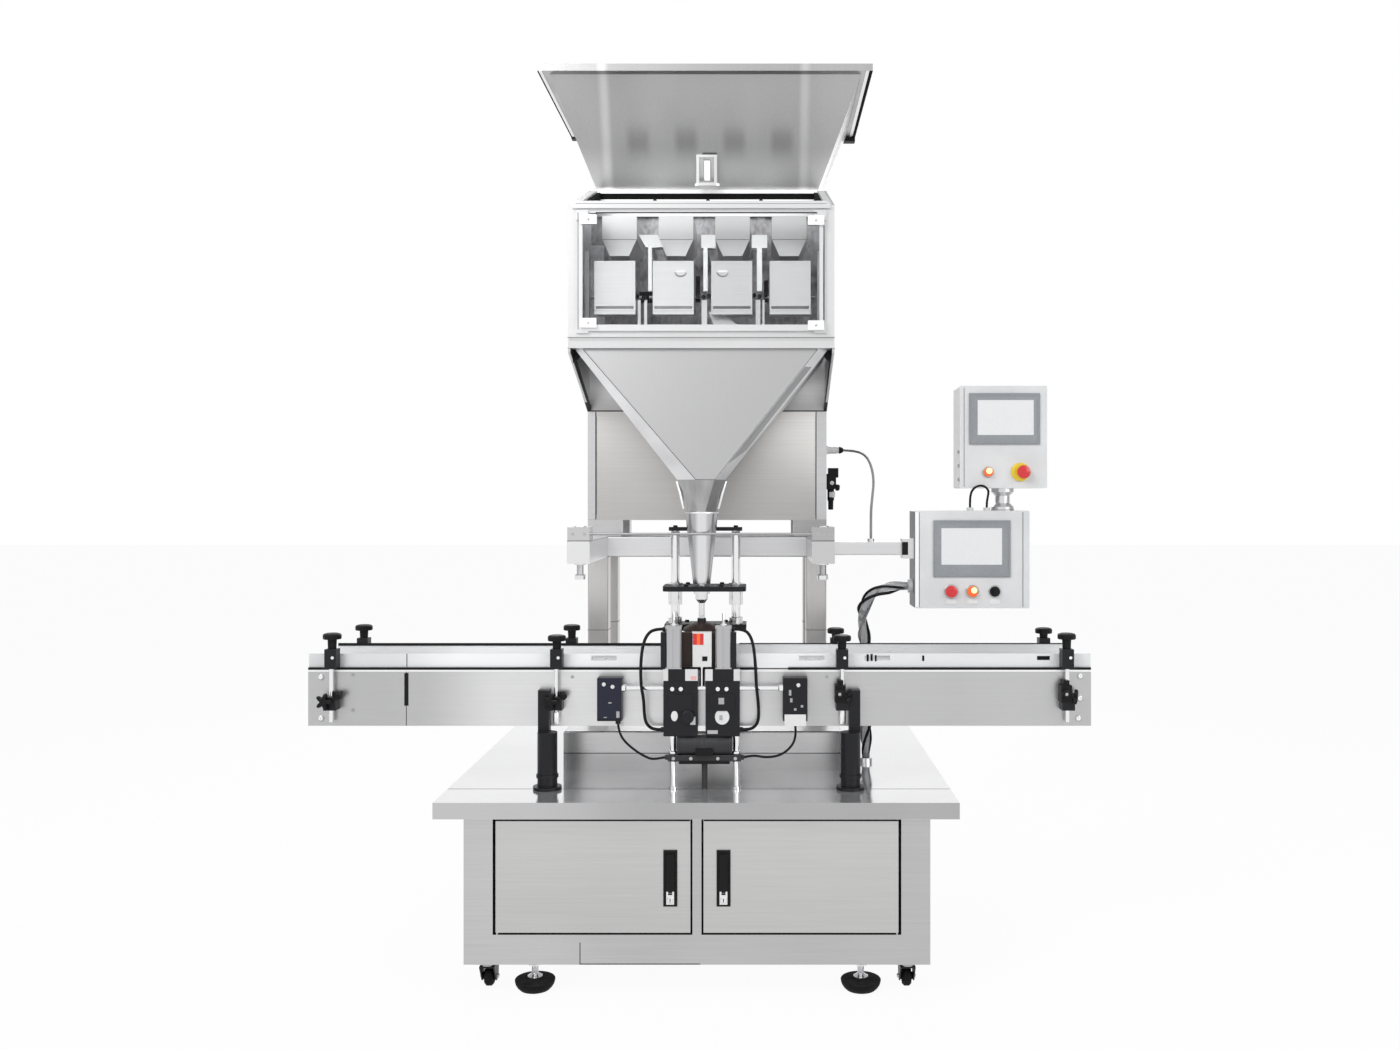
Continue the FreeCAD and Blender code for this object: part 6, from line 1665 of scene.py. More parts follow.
            form.lathe(
                [(0.009, 0.0), (0.011, 0.002), (0.011, 0.008), (0.007, 0.01)], (x - 0.008, -0.439, 0.723), SOUTH, 24
            )
            form.block((x - 0.013, -0.436, 0.742), (x + 0.002, -0.4048, 0.756), 0.003, 2)
        form.use(Palette.GREY_METAL)
        for x in self.clamps_at[2:]:
            form.lathe([(0.004, 0.0), (0.004, 0.0012), (0.003, 0.0016)], (x - 0.008, -0.4486, 0.723), SOUTH, 16)
        form.use(Palette.WHITE_METAL)
        for x, wall, top in ((0.363, 0.692, 0.697), (-0.363, 0.672, 0.676)):
            form.lathe([(0.0085, 0.645), (0.0092, 0.647), (0.0092, wall), (0.0075, top)], (x, -0.421, 0), steps=24)
        form.done()

    def build(self) -> None:
        """Makes every piece."""
        self.chain()
        self.strips()
        self.knobs()
        self.fittings()


@dataclass(frozen=True)
class Station:
    """Stop blocks, carriers, cylinders, sensor, vibrator and filling plates."""

    front: float = -0.453
    middle: float = -0.435
    nozzle: Point = (0.0, -0.285, 0.0)
    columns_at: tuple[Pair, ...] = ((-0.0735, -0.23), (0.0895, -0.23))

    def stops(self) -> None:
        """Dresses the stop blocks and the carriers."""
        front = self.front
        form = Form("stop_block_fronts", Palette.NAVY)
        form.block((-0.256, -0.4475, 0.66), (-0.196, -0.4446, 0.764), 0.002, 2)
        form.use(Palette.BLACK_METAL).block((0.2145, -0.4475, 0.674), (0.2715, -0.4446, 0.764), 0.002, 2)
        form.use(Palette.GREY_METAL)
        for x, low, high in ((0.227, 0.72, 0.734), (0.23, 0.703, 0.713), (0.24, 0.682, 0.688), (0.257, 0.69, 0.696)):
            form.block((x, -0.448, low), (x + 0.006, -0.447, high), 0.0004)
        for x, low, high in ((-0.208, 0.664, 0.68), (-0.24, 0.664, 0.666), (-0.228, 0.7, 0.703)):
            form.block((x, -0.448, low), (x + 0.008, -0.447, high), 0.0004)
        form.use(Palette.WHITE_PLASTIC)
        form.block((0.216, -0.4472, 0.643), (0.27, -0.416, 0.672), 0.002, 2)
        for x, z in ((-0.2395, 0.748), (-0.2175, 0.742), (0.251, 0.746)):
            form.lathe([(0.005, 0.0), (0.005, 0.0015), (0.004, 0.0022)], (x, -0.4474, z), SOUTH, 20)
        form.use(Palette.CHROME)
        for x, way in ((-0.1955, 1), (0.2125, -1)):
            form.lathe([(0.0095, 0.0), (0.0095, 0.01), (0.008, 0.012)], (x, self.middle, 0.737), (way, 0, 0), 24)
        form.done()
        self.carriers()
        caps = [Spot((x, front - 0.002, 0.7375)) for x in (-0.0665, -0.045, 0.048, 0.07)]
        SCREWS.apply(
            "carrier_screws", caps, Palette.WHITE_METAL, head_radius=0.0055, head_height=0.004, recess_radius=0.0022
        )

    def carriers(self) -> None:
        """Dresses the two carriers with their stepped fronts, ovals and patches."""
        front = self.front
        form = Form("carrier_fronts", Palette.BLACK_METAL)
        for x in (-0.046, 0.06):
            form.block((x - 0.043, front - 0.0022, 0.622), (x + 0.043, front + 0.0005, 0.756), 0.0015, 2)
            form.block((x - 0.029, front - 0.0062, 0.683), (x + 0.029, front - 0.0015, 0.724), 0.003, 2)
        form.lathe(
            [(0.015, 0.0), (0.0165, 0.002), (0.0165, 0.01), (0.014, 0.012)], (-0.028, front - 0.002, 0.668), SOUTH, 28
        )
        form.use(Palette.CONVEYOR).plates(
            ((-0.0895, 0.758, -0.077, 0.7872), (-0.034, 0.758, -0.0025, 0.7872), (0.0165, 0.758, 0.035, 0.7872),
             (0.088, 0.758, 0.1035, 0.7872)), front - 0.0012, front + 0.0004
        )
        form.use(Palette.PINK).block((-0.02, front - 0.0016, 0.76), (-0.006, front - 0.0006, 0.77), 0.0)
        form.use(Palette.WHITE_PLASTIC)
        for x, z, wide, tall in ((-0.061, 0.67, 0.0085, 0.013), (0.059, 0.668, 0.018, 0.0195)):
            oval = [(x + across, z + up) for across, up in circle(28, wide, tall)]
            form.prism(oval, 1, (front - 0.0048, front - 0.0015), 0.0004)
        form.use(Palette.GREY_METAL)
        form.block((0.05, front - 0.007, 0.7), (0.064, front - 0.0058, 0.716), 0.002, 2)
        form.block((0.052, front - 0.0055, 0.66), (0.06, front - 0.0044, 0.672), 0.001)
        form.use(Palette.ALUMINIUM)
        form.block((-0.021, front - 0.0046, 0.648), (-0.008, front - 0.0018, 0.668), 0.003, 2)
        form.block((0.022, front - 0.0036, 0.625), (0.048, front - 0.0018, 0.634), 0.002)
        form.done()

    def cylinders(self) -> None:
        """Makes the two profiled air cylinders, their side plates and the sensor between them."""
        form = Form("cylinder_set", Palette.ALUMINIUM)
        rear = -0.417
        for x, side in ((-0.064, -1.0), (0.062, 1.0)):
            form.use(Palette.ALUMINIUM)
            x0, x1, y0 = x - 0.02, x + 0.02, rear - 0.034
            slot, deep = 0.003, 0.0035
            outline = [
                (x0 + 0.004, y0), (x - slot, y0), (x - slot, y0 + deep), (x + slot, y0 + deep), (x + slot, y0),
                (x1 - 0.004, y0), (x1, y0 + 0.004), (x1, rear - 0.004), (x1 - 0.004, rear), (x0 + 0.004, rear),
                (x0, rear - 0.004), (x0, y0 + 0.004),
            ]
            form.prism(outline, 2, (0.7905, 0.889), 0.0004)
            form.plates(
                ((x0 - 0.0003, 0.7871, x1 + 0.0003, 0.7905), (x0 - 0.0003, 0.889, x1 + 0.0003, 0.895)),
                y0 - 0.0006, rear, 0.001
            )
            form.use(Palette.CHROME)
            form.lathe([(0.004, 0.894), (0.004, 0.926), (0.0032, 0.9278)], (x, -0.434, 0), steps=20)
            form.lathe([(0.0085, 0.8945), (0.0085, 0.898), (0.007, 0.8992)], (x, -0.434, 0), steps=6)
            form.use(Palette.BLACK_METAL)
            edge = x + side * 0.0202
            low, high = sorted((edge, edge + side * 0.012))
            form.block((low, y0 + 0.002, 0.7875), (high, rear - 0.002, 0.8785), 0.001)
            fitting = [(0.006, 0.0), (0.006, 0.0078)]
            form.lathe(fitting, (x + side * 0.02, -0.434, 0.886), (side, 0, 0), 20)
            form.lathe(
                [(0.0078, 0.0), (0.0078, 0.003), (0.0066, 0.0036)], (x + side * 0.0202, -0.434, 0.886), (side, 0, 0), 6
            )
        form.use(Palette.BROWN)
        for low, high in ((-0.0445, -0.0175), (0.0315, 0.0425)):
            form.block((low, -0.429, 0.79), (high, -0.42, 0.8775), 0.0)
        self.sensor(form)
        form.done(["stop_units"])

    def sensor(self, form: Form) -> None:
        """Adds the product sensor with its lens opening and plain coloured display.

        Args:
            form: the form that takes it.
        """
        form.use(Palette.WHITE_PLASTIC).block((-0.018, -0.447, 0.792), (0.032, -0.422, 0.879), 0.0022, 2)
        form.use(Palette.BLACK_PLASTIC)
        form.block((-0.018, -0.4478, 0.7925), (-0.016, -0.43, 0.8785), 0.0004)
        form.block((0.0085, -0.4478, 0.807), (0.0215, -0.4465, 0.8185), 0.0006)
        bars = ((Palette.RED, -0.015, -0.005, 0.0005), (Palette.AMBER, -0.005, 0.003, 0.0003),
                (Palette.RED, 0.003, 0.012, 0.0005), (Palette.SCREEN, 0.012, 0.029, 0.0005))
        for finish, left, right, edge in bars:
            form.use(finish).block((left, -0.4479, 0.848), (right, -0.4465, 0.876), edge)
        form.use(Palette.CHROME)
        form.lathe([(0.006, 0.7425), (0.006, 0.7925)], (0.007, self.middle, 0), steps=20)

    def vibrator(self) -> None:
        """Dresses the vibrator drum with end caps, a band and its terminal cover."""
        form = Form("vibrator_bands", Palette.DRUM)
        for x in (-0.056, 0.077):
            form.lathe(
                [(0.0235, 0.0), (0.0252, 0.001), (0.0252, 0.006), (0.0235, 0.007)], (x, self.middle, 0.594), EAST, 32
            )
        form.lathe(
            [(0.0243, 0.0), (0.0246, 0.001), (0.0246, 0.011), (0.0243, 0.012)], (0.008, self.middle, 0.594), EAST, 32
        )
        form.use(Palette.BLACK_PLASTIC)
        form.block((-0.008, -0.46, 0.57), (0.036, -0.438, 0.59), 0.002, 2)
        form.block((-0.05, -0.4535, 0.5485), (0.078, -0.4165, 0.555), 0.001)
        form.done()
        spots = [Spot((x, -0.45, 0.562)) for x in (-0.064, -0.02, 0.048, 0.092)]
        SCREWS.apply("vibrator_screws", spots, Palette.ZINC, head_radius=0.0045)
        form = Form("front_post_collars", Palette.CHROME)
        for x in (-0.066, 0.094):
            for z in (0.483, 0.572):
                form.lathe(
                    [(0.0105, 0.0), (0.012, 0.001), (0.012, 0.006), (0.0105, 0.007)], (x, self.middle, z), steps=24
                )
        form.done()

    def slide(self) -> None:
        """Makes the bright bushing sleeves, the nozzle with its dark cap and the plates' screws."""
        form = Form("bushing_sleeves", Palette.BRIGHT, "fill_slide")
        for x, y in self.columns_at:
            for low, high, outer in ((0.9318, 0.97, 0.0186), (0.969, 0.9732, 0.023), (0.9858, 0.99, 0.02)):
                form.ring([(0.0125, low), (outer, low), (outer, high), (0.0125, high)], (x, y, 0))
        form.done()
        collars = Form("column_collars", Palette.BRIGHT)
        for x, y in self.columns_at:
            collars.ring(
                [(0.0125, 0.88), (0.0184, 0.88), (0.0184, 0.8975), (0.0165, 0.899), (0.0125, 0.899)], (x, y, 0)
            )
        collars.done()
        form = Form("nozzle_set", Palette.BRIGHT, "fill_slide")
        form.ring(
            [(0.006, 0.868), (0.006, 0.94), (0.0148, 0.95), (0.0148, 0.9728), (0.0165, 0.9728),
             (0.0165, 0.95), (0.008, 0.94), (0.008, 0.868)],
            self.nozzle,
        )
        form.ring([(0.0166, 0.964), (0.0215, 0.964), (0.0215, 0.973), (0.0166, 0.973)], self.nozzle)
        form.use(Palette.BROWN).ring(
            [(0.0082, 0.89), (0.016, 0.889), (0.03, 0.884), (0.044, 0.877), (0.0495, 0.8735), (0.05, 0.8665),
             (0.047, 0.8662), (0.046, 0.8725), (0.03, 0.8805), (0.016, 0.8855), (0.0082, 0.8862)],
            self.nozzle, 40,
        )
        form.use(Palette.BLACK_METAL).ring([(0.0081, 0.888), (0.0125, 0.888), (0.011, 0.9), (0.0081, 0.9)], self.nozzle)
        form.done(["fill_nozzle"])
        plate = [Spot((x, y, 0.9858), UP, EAST) for x in (-0.04, 0.052) for y in (-0.312, -0.222)]
        SCREWS.apply(
            "slide_plate_screws", plate, Palette.BLACK_PLASTIC, "fill_slide", head_radius=0.006, head_height=0.005
        )
        bar = [Spot((x, y, 1.1398), UP, EAST) for x, y in self.columns_at]
        bar += [Spot((x, -0.175, 0.8798), UP, EAST) for x in (-0.045, 0.061)]
        SCREWS.apply("station_screws", bar, Palette.BLACK_PLASTIC, head_radius=0.006, head_height=0.005)

    def build(self) -> None:
        """Makes every piece."""
        self.stops()
        self.cylinders()
        self.vibrator()
        self.slide()


@dataclass(frozen=True)
class Stand:
    """Leg seams, pad bolts and the gussets under the weigher."""

    def seams(self) -> None:
        """Draws the sleeve seams round the legs and adds the collars at their feet."""
        form = Form("leg_seams", Palette.GAP)
        for x in (-0.35, 0.29):
            for y in (0.065, 0.315):
                form.plates(
                    ((x - 0.0004, 0.8312, x + 0.0604, 0.8324), (x - 0.0004, 1.0452, x + 0.0604, 1.0466)),
                    y - 0.0004, y + 0.0604
                )
        form.use(Palette.BEAM)
        for x in (-0.356, 0.284):
            for y in (0.059, 0.309):
                form.frame((x, y, 0.59), (x + 0.072, y + 0.072, 0.596), 0.0062, axis=1)
        form.done()

    def pads(self) -> None:
        """Adds the bolts, washers and caps of the pads, the arms' end plates, and a grey tube over the tie rod that
        paints its dark reflection.
        """
        form = Form("pad_caps", Palette.BRIGHT)
        rings = (
            [(0.0175, 1.1418), (0.0175, 1.1438), (0.014, 1.1445)], [(0.0165, 1.0425), (0.0165, 1.0462)],
            [(0.0145, 1.0035), (0.0148, 1.006), (0.0148, 1.014), (0.012, 1.016)],
        )
        for x in (-0.32, 0.32):
            for ring in rings:
                form.lathe(ring, (x, -0.3, 0), steps=28)
        ends = ((-0.3495, -0.2905), (0.2905, 0.3495))
        form.use(Palette.ARM_END)
        form.plates([(left, 1.0465, right, 1.105) for left, right in ends], -0.336, -0.3345, 0.0004)
        form.use(Palette.GAP).plates([(left, 1.105, right, 1.1066) for left, right in ends], -0.3362, -0.3345)
        # Painted reflection: a grey tube laid over the tie rod gives it its dark look.
        form.use(Palette.GREY_METAL).tube([(-0.2915, -0.332, 1.124), (0.2915, -0.332, 1.124)], 0.00325, 14)
        form.done()
        sides = [Spot((x, -0.3352, 1.124)) for x in (-0.335, -0.305, 0.305, 0.335)]
        SCREWS.apply("pad_screws", sides, Palette.ZINC, head_radius=0.004)
        tops = [Spot((x, y, 0.5898), UP, EAST)
                for x in (-0.3575, -0.2825, 0.2825, 0.3575) for y in (0.055, 0.135)]
        NUTS.apply("foot_plate_nuts", tops, Palette.ZINC, nut_radius=0.007, nut_height=0.006)

    def gussets(self) -> None:
        """Adds the black front edges of the gussets and the corner pieces under the floor, whose black also paints the
        shade beside the gussets.
        """
        form = Form("gusset_edges", Palette.BLACK_PLASTIC)
        # Partly painted shade: the black edges and corners are the gussets' edges and also cover the shade beside them.
        for x0, x1 in ((-0.3508, -0.34), (0.342, 0.3508)):
            form.prism([(-0.3168, 1.6118), (-0.286, 1.6118), (0.064, 1.486), (0.064, 1.4722)], 0, (x0, x1), 0.0)
        for side in (-1.0, 1.0):
            corner = [(side * 0.344, 1.6116), (side * 0.311, 1.6116), (side * 0.333, 1.585), (side * 0.344, 1.578)]
            form.prism(corner, 1, (-0.27, -0.264), 0.0)
        form.done()

    def build(self) -> None:
        """Makes every piece."""
        self.seams()
        self.pads()
        self.gussets()


@dataclass(frozen=True)
class Weigher:
    """The front frame's lines and clips, the inner panel, the buckets' dress and the hangers' pins."""

    front: float = -0.323
    heads: tuple[float, ...] = (-0.2355, -0.0785, 0.0785, 0.2355)

    def frame_lines(self) -> None:
        """Adds the frame's raised top, its inner bars, dark lines and clips."""
        y = self.front
        form = Form("window_frame_trim", Palette.PALE)
        form.prism([(-0.338, 1.978), (0.338, 1.978), (0.338, 1.99), (0.329, 1.997), (-0.329, 1.997), (-0.338, 1.99)],
                   1, (y - 0.0004, y + 0.012), 0.0006)
        form.plates(
            ((-0.3205, 1.656, -0.311, 1.964), (0.31, 1.656, 0.32, 1.964), (-0.311, 1.656, 0.31, 1.6725)),
            y - 0.0012, y + 0.006, 0.0006
        )
        clips = ((-0.2945, 1.947), (0.301, 1.9445), (-0.295, 1.6765), (0.301, 1.67))
        form.use(Palette.WHITE_METAL)
        for x, z in clips:
            form.block((x - 0.0215, y - 0.0085, z - 0.0125), (x + 0.0215, y + 0.0005, z + 0.0125), 0.003, 2)
        form.use(Palette.GAP)
        form.block((-0.276, y - 0.0016, 1.964), (0.304, y + 0.0005, 1.9668), 0.0)
        form.block((0.3215, y - 0.001, 1.66), (0.3232, y + 0.0005, 1.956), 0.0)
        form.use(Palette.SEAM)
        form.block((-0.35, y - 0.0008, 1.6378), (0.35, y + 0.0005, 1.6398), 0.0)
        form.block((-0.3232, y - 0.001, 1.66), (-0.3218, y + 0.0005, 1.966), 0.0)
        form.block((-0.329, y - 0.0008, 1.9892), (0.329, y + 0.0004, 1.9902), 0.0)
        form.use(Palette.ZINC)
        for x, z in clips:
            form.lathe([(0.0036, 0.0), (0.0036, 0.0014), (0.0026, 0.002)], (x, y - 0.0083, z), SOUTH, 16)
        form.done()

    def top_slot(self) -> None:
        """Closes the view over the frame with flanges, the dark slot and its three bolts."""
        form = Form("top_flanges", Palette.WHITE_METAL)
        (y0, z0), (y1, z1) = (-0.312, 1.989), (0.084, 2.123)
        form.pair([(y0, z0), (y1, z1), (y1, z1 - 0.004), (y0, z0 - 0.004)], 0.3495, 0.324)
        form.block((-0.324, 0.07, 2.113), (0.324, 0.0845, 2.1238), 0.0005)
        form.use(Palette.GAP)
        form.block((-0.324, 0.076, 2.08), (0.324, 0.0845, 2.113), 0.0)
        wedge = [(y0 + 0.02, z0 + 0.001), (y1 - 0.004, z1 - 0.004), (y1 - 0.004, z1 - 0.03), (y0 + 0.02, z0 - 0.015)]
        form.pair(wedge, 0.324, 0.313)
        form.use(Palette.SEAM).pair([(y0, z0 + 0.0012), (y1, z1 + 0.0012), (y1, z1), (y0, z0)], 0.3252, 0.3236)
        form.use(Palette.WHITE_METAL).block((-0.323, 0.069, 2.045), (0.323, 0.076, 2.095), 0.0006)
        form.done()
        bolts = [Spot((x, 0.069, 2.0905)) for x in (-0.153299, 0.002253, 0.157805)]
        SCREWS.apply("slot_bolts", bolts, Palette.BLACK_PLASTIC, head_radius=0.0055, head_height=0.005)

    def inner_panel(self) -> None:
        """Lines the weighing chamber with mottled sheet and its sloping plate; the side walls and a rear strip take a
        copy of the sheet painted lighter, as painted light.
        """
        form = Form("chamber_lining", Palette.MOTTLED)
        form.block((-0.3438, 0.0822, 1.6382), (0.3438, 0.0848, 2.079), 0.0)
        form.block((-0.3438, -0.31, 1.6382), (0.3438, 0.082, 1.6392), 0.0)
        # Painted light: the side walls and the rear left strip get the lighter copy of the lining.
        form.use(Palette.PALE_MOTTLED)
        for x0, x1 in ((-0.3438, -0.3422), (0.3422, 0.3438)):
            form.prism([(-0.3, 1.6382), (0.082, 1.6382), (0.082, 2.105), (-0.3, 1.975)], 0, (x0, x1), 0.0)
        form.block((-0.342, 0.07, 1.6392), (-0.302, 0.082, 1.96), 0.0)
        form.use(Palette.BUCKET)
        form.prism([(0.0133, 1.7272), (0.0488, 1.7218), (0.1173, 1.675), (0.0351, 1.675)], 1, (-0.185, -0.183), 0.0)
        form.use(Palette.GAP)
        windows = ((-0.191, 1.774, -0.148, 1.806), (0.166, 1.776, 0.179, 1.838), (-0.031, 1.775, -0.016, 1.85))
        form.plates(windows, -0.04, -0.036)
        form.done()

    def buckets(self) -> None:
        """Adds the hems and borders of the buckets, the pans' folds and the crescent handles."""
        form = Form("bucket_trim", Palette.BUCKET)
        for x in self.heads:
            form.use(Palette.BUCKET)
            form.frame((x - 0.055, -0.2412, 1.7212), (x + 0.055, -0.2398, 1.855), 0.0045, 0.0004)
            form.block((x - 0.055, -0.2425, 1.7112), (x + 0.055, -0.23, 1.72), 0.0008)
            form.use(Palette.GREY_METAL).block((x - 0.0545, -0.2414, 1.72), (x + 0.0545, -0.2399, 1.721), 0.0)
            form.use(Palette.GAP)
            form.block((x - 0.0478, -0.1308, 1.9355), (x + 0.0478, -0.1298, 1.9363), 0.0)
        for x in (-0.059, 0.054):
            arc = [(x + 0.015 * math.cos(math.radians(angle)), -0.2425, 1.827 + 0.013 * math.sin(math.radians(angle)))
                   for angle in range(195, 346, 10)]
            form.use(Palette.GREY_METAL).tube(arc, 0.0022, 8)
            form.use(Palette.WHITE_METAL)
            form.block((x - 0.013, -0.2425, 1.824), (x + 0.013, -0.2402, 1.83), 0.001)
        form.done()
        places = ((-0.179, 1.764), (-0.16, 1.761), (-0.014, 1.766), (0.0015, 1.762), (0.016, 1.766),
                  (0.139, 1.767), (0.1535, 1.764), (0.17, 1.767))
        pins = [Spot((x, -0.21, z)) for x, z in places]
        SCREWS.apply("hanger_pins", pins, Palette.BLACK_PLASTIC, head_radius=0.0062, head_height=0.005)

    def hangers(self) -> None:
        """Makes the hangers between the buckets: blocks, slender bars, feet and hinge pins."""
        form = Form("hanger_set", Palette.WHITE_METAL)
        rear = 0.084
        block = [(-0.174, 1.933), (-0.156, 1.9), (-0.147, 1.898), (-0.145, 1.908), (-0.138, 1.898), (-0.11, 1.9),
                 (-0.123, 1.933)]
        form.prism(block, 1, (-0.204, -0.17), 0.0008)
        for low, high in ((-0.005, 0.033), (0.132, 0.174)):
            form.block((low, -0.204, 1.897), (high, -0.17, 1.933), 0.0015)
        for x, wide in ((-0.144, 0.005), (0.0065, 0.0058), (0.153, 0.007)):
            form.block((x - wide, -0.205, 1.78), (x + wide, -0.195, 1.9), 0.0008)
            form.block((x - 0.004, -0.203, 1.9), (x + 0.004, rear, 1.908), 0.0008)
        form.use(Palette.BUCKET)
        for x, wide in ((-0.1735, 0.004), (-0.156, 0.004), (0.0035, 0.0075), (0.149, 0.0062), (0.164, 0.0028)):
            form.block((x - wide, -0.205, 1.64), (x + wide, -0.195, 1.756), 0.0008)
        for x in (-0.315, 0.315):
            form.block((x - 0.005, -0.203, 1.7), (x + 0.005, rear, 1.708), 0.0008)
            form.block((x - 0.005, -0.203, 1.708), (x + 0.005, -0.195, 1.889), 0.0008)
        form.use(Palette.GREY_METAL)
        for x in self.heads:
            form.tube([(x - 0.068, -0.2, 1.764), (x - 0.054, -0.2, 1.764)], 0.004, 10)
            form.tube([(x + 0.054, -0.2, 1.764), (x + 0.068, -0.2, 1.764)], 0.004, 10)
        form.done(["bucket_hangers"])

    def panels(self) -> None:
        """Adds the lower cabinet's raised strips and seams and the base box's edge lines."""
        form = Form("cabinet_panel_strips", Palette.SHEET)
        y = 0.065
        for x0, x1 in ((-0.3498, -0.3275), (0.3205, 0.3498)):
            form.block((x0, y - 0.0026, 1.156), (x1, y + 0.0002, 1.4715), 0.0006)
        form.use(Palette.GAP)
        for x in (-0.3262, 0.3192):
            form.block((x - 0.0011, y - 0.0008, 1.156), (x + 0.0011, y + 0.0004, 1.4715), 0.0)
        form.block((-0.3498, y - 0.003, 1.4722), (0.3498, y + 0.0004, 1.4752), 0.0)
        form.done()

    def build(self) -> None:
        """Makes every piece."""
        self.frame_lines()
        self.top_slot()
        self.inner_panel()
        self.buckets()
        self.hangers()
        self.panels()


@dataclass(frozen=True)
class Hopper:
    """The gate's handle plate, and the plugs and lines of the rim."""

    def gate(self) -> None:
        """Dresses the gate handle with its slotted plate."""
        form = Form("gate_plate", Palette.BUCKET)
        form.frame((-0.03, 0.0298, 2.126), (0.03, 0.0335, 2.216), 0.0085, 0.0008)
        form.use(Palette.WHITE_METAL)
        form.block((-0.0065, 0.028, 2.14), (0.01, 0.0335, 2.198), 0.004, 3)
        form.plates(((-0.034, 2.1242, -0.026, 2.132), (0.029, 2.1242, 0.037, 2.132)), 0.029, 0.04, 0.001)
        form.use(Palette.GAP).block((-0.013, 0.03, 2.2158), (0.029, 0.034, 2.2185), 0.0)
        form.done()

    def rim(self) -> None:
        """Adds the rim's black corner plugs and its weld lines."""
        form = Form("rim_plugs", Palette.BLACK_PLASTIC)
        for x0, x1, low in ((-0.4718, -0.45, 2.415), (0.429, 0.4718, 2.406)):
            form.block((x0, 0.555, low), (x1, 0.5848, 2.432), 0.002)
        form.use(Palette.WHITE_METAL)
        for x0, x1 in ((-0.4678, -0.459), (0.453, 0.4624)):
            form.block((x0, -0.084, 2.4188), (x1, 0.554, 2.4204), 0.0)
        form.use(Palette.GAP)
        for x0, x1 in ((-0.4722, -0.468), (0.4626, 0.4722)):
            form.plates(((x0, 2.4192, x1, 2.422), (x0, 2.4375, x1, 2.4398)), -0.084, 0.554)
        form.done()

    def build(self) -> None:
        """Makes every piece."""
        self.gate()
        self.rim()


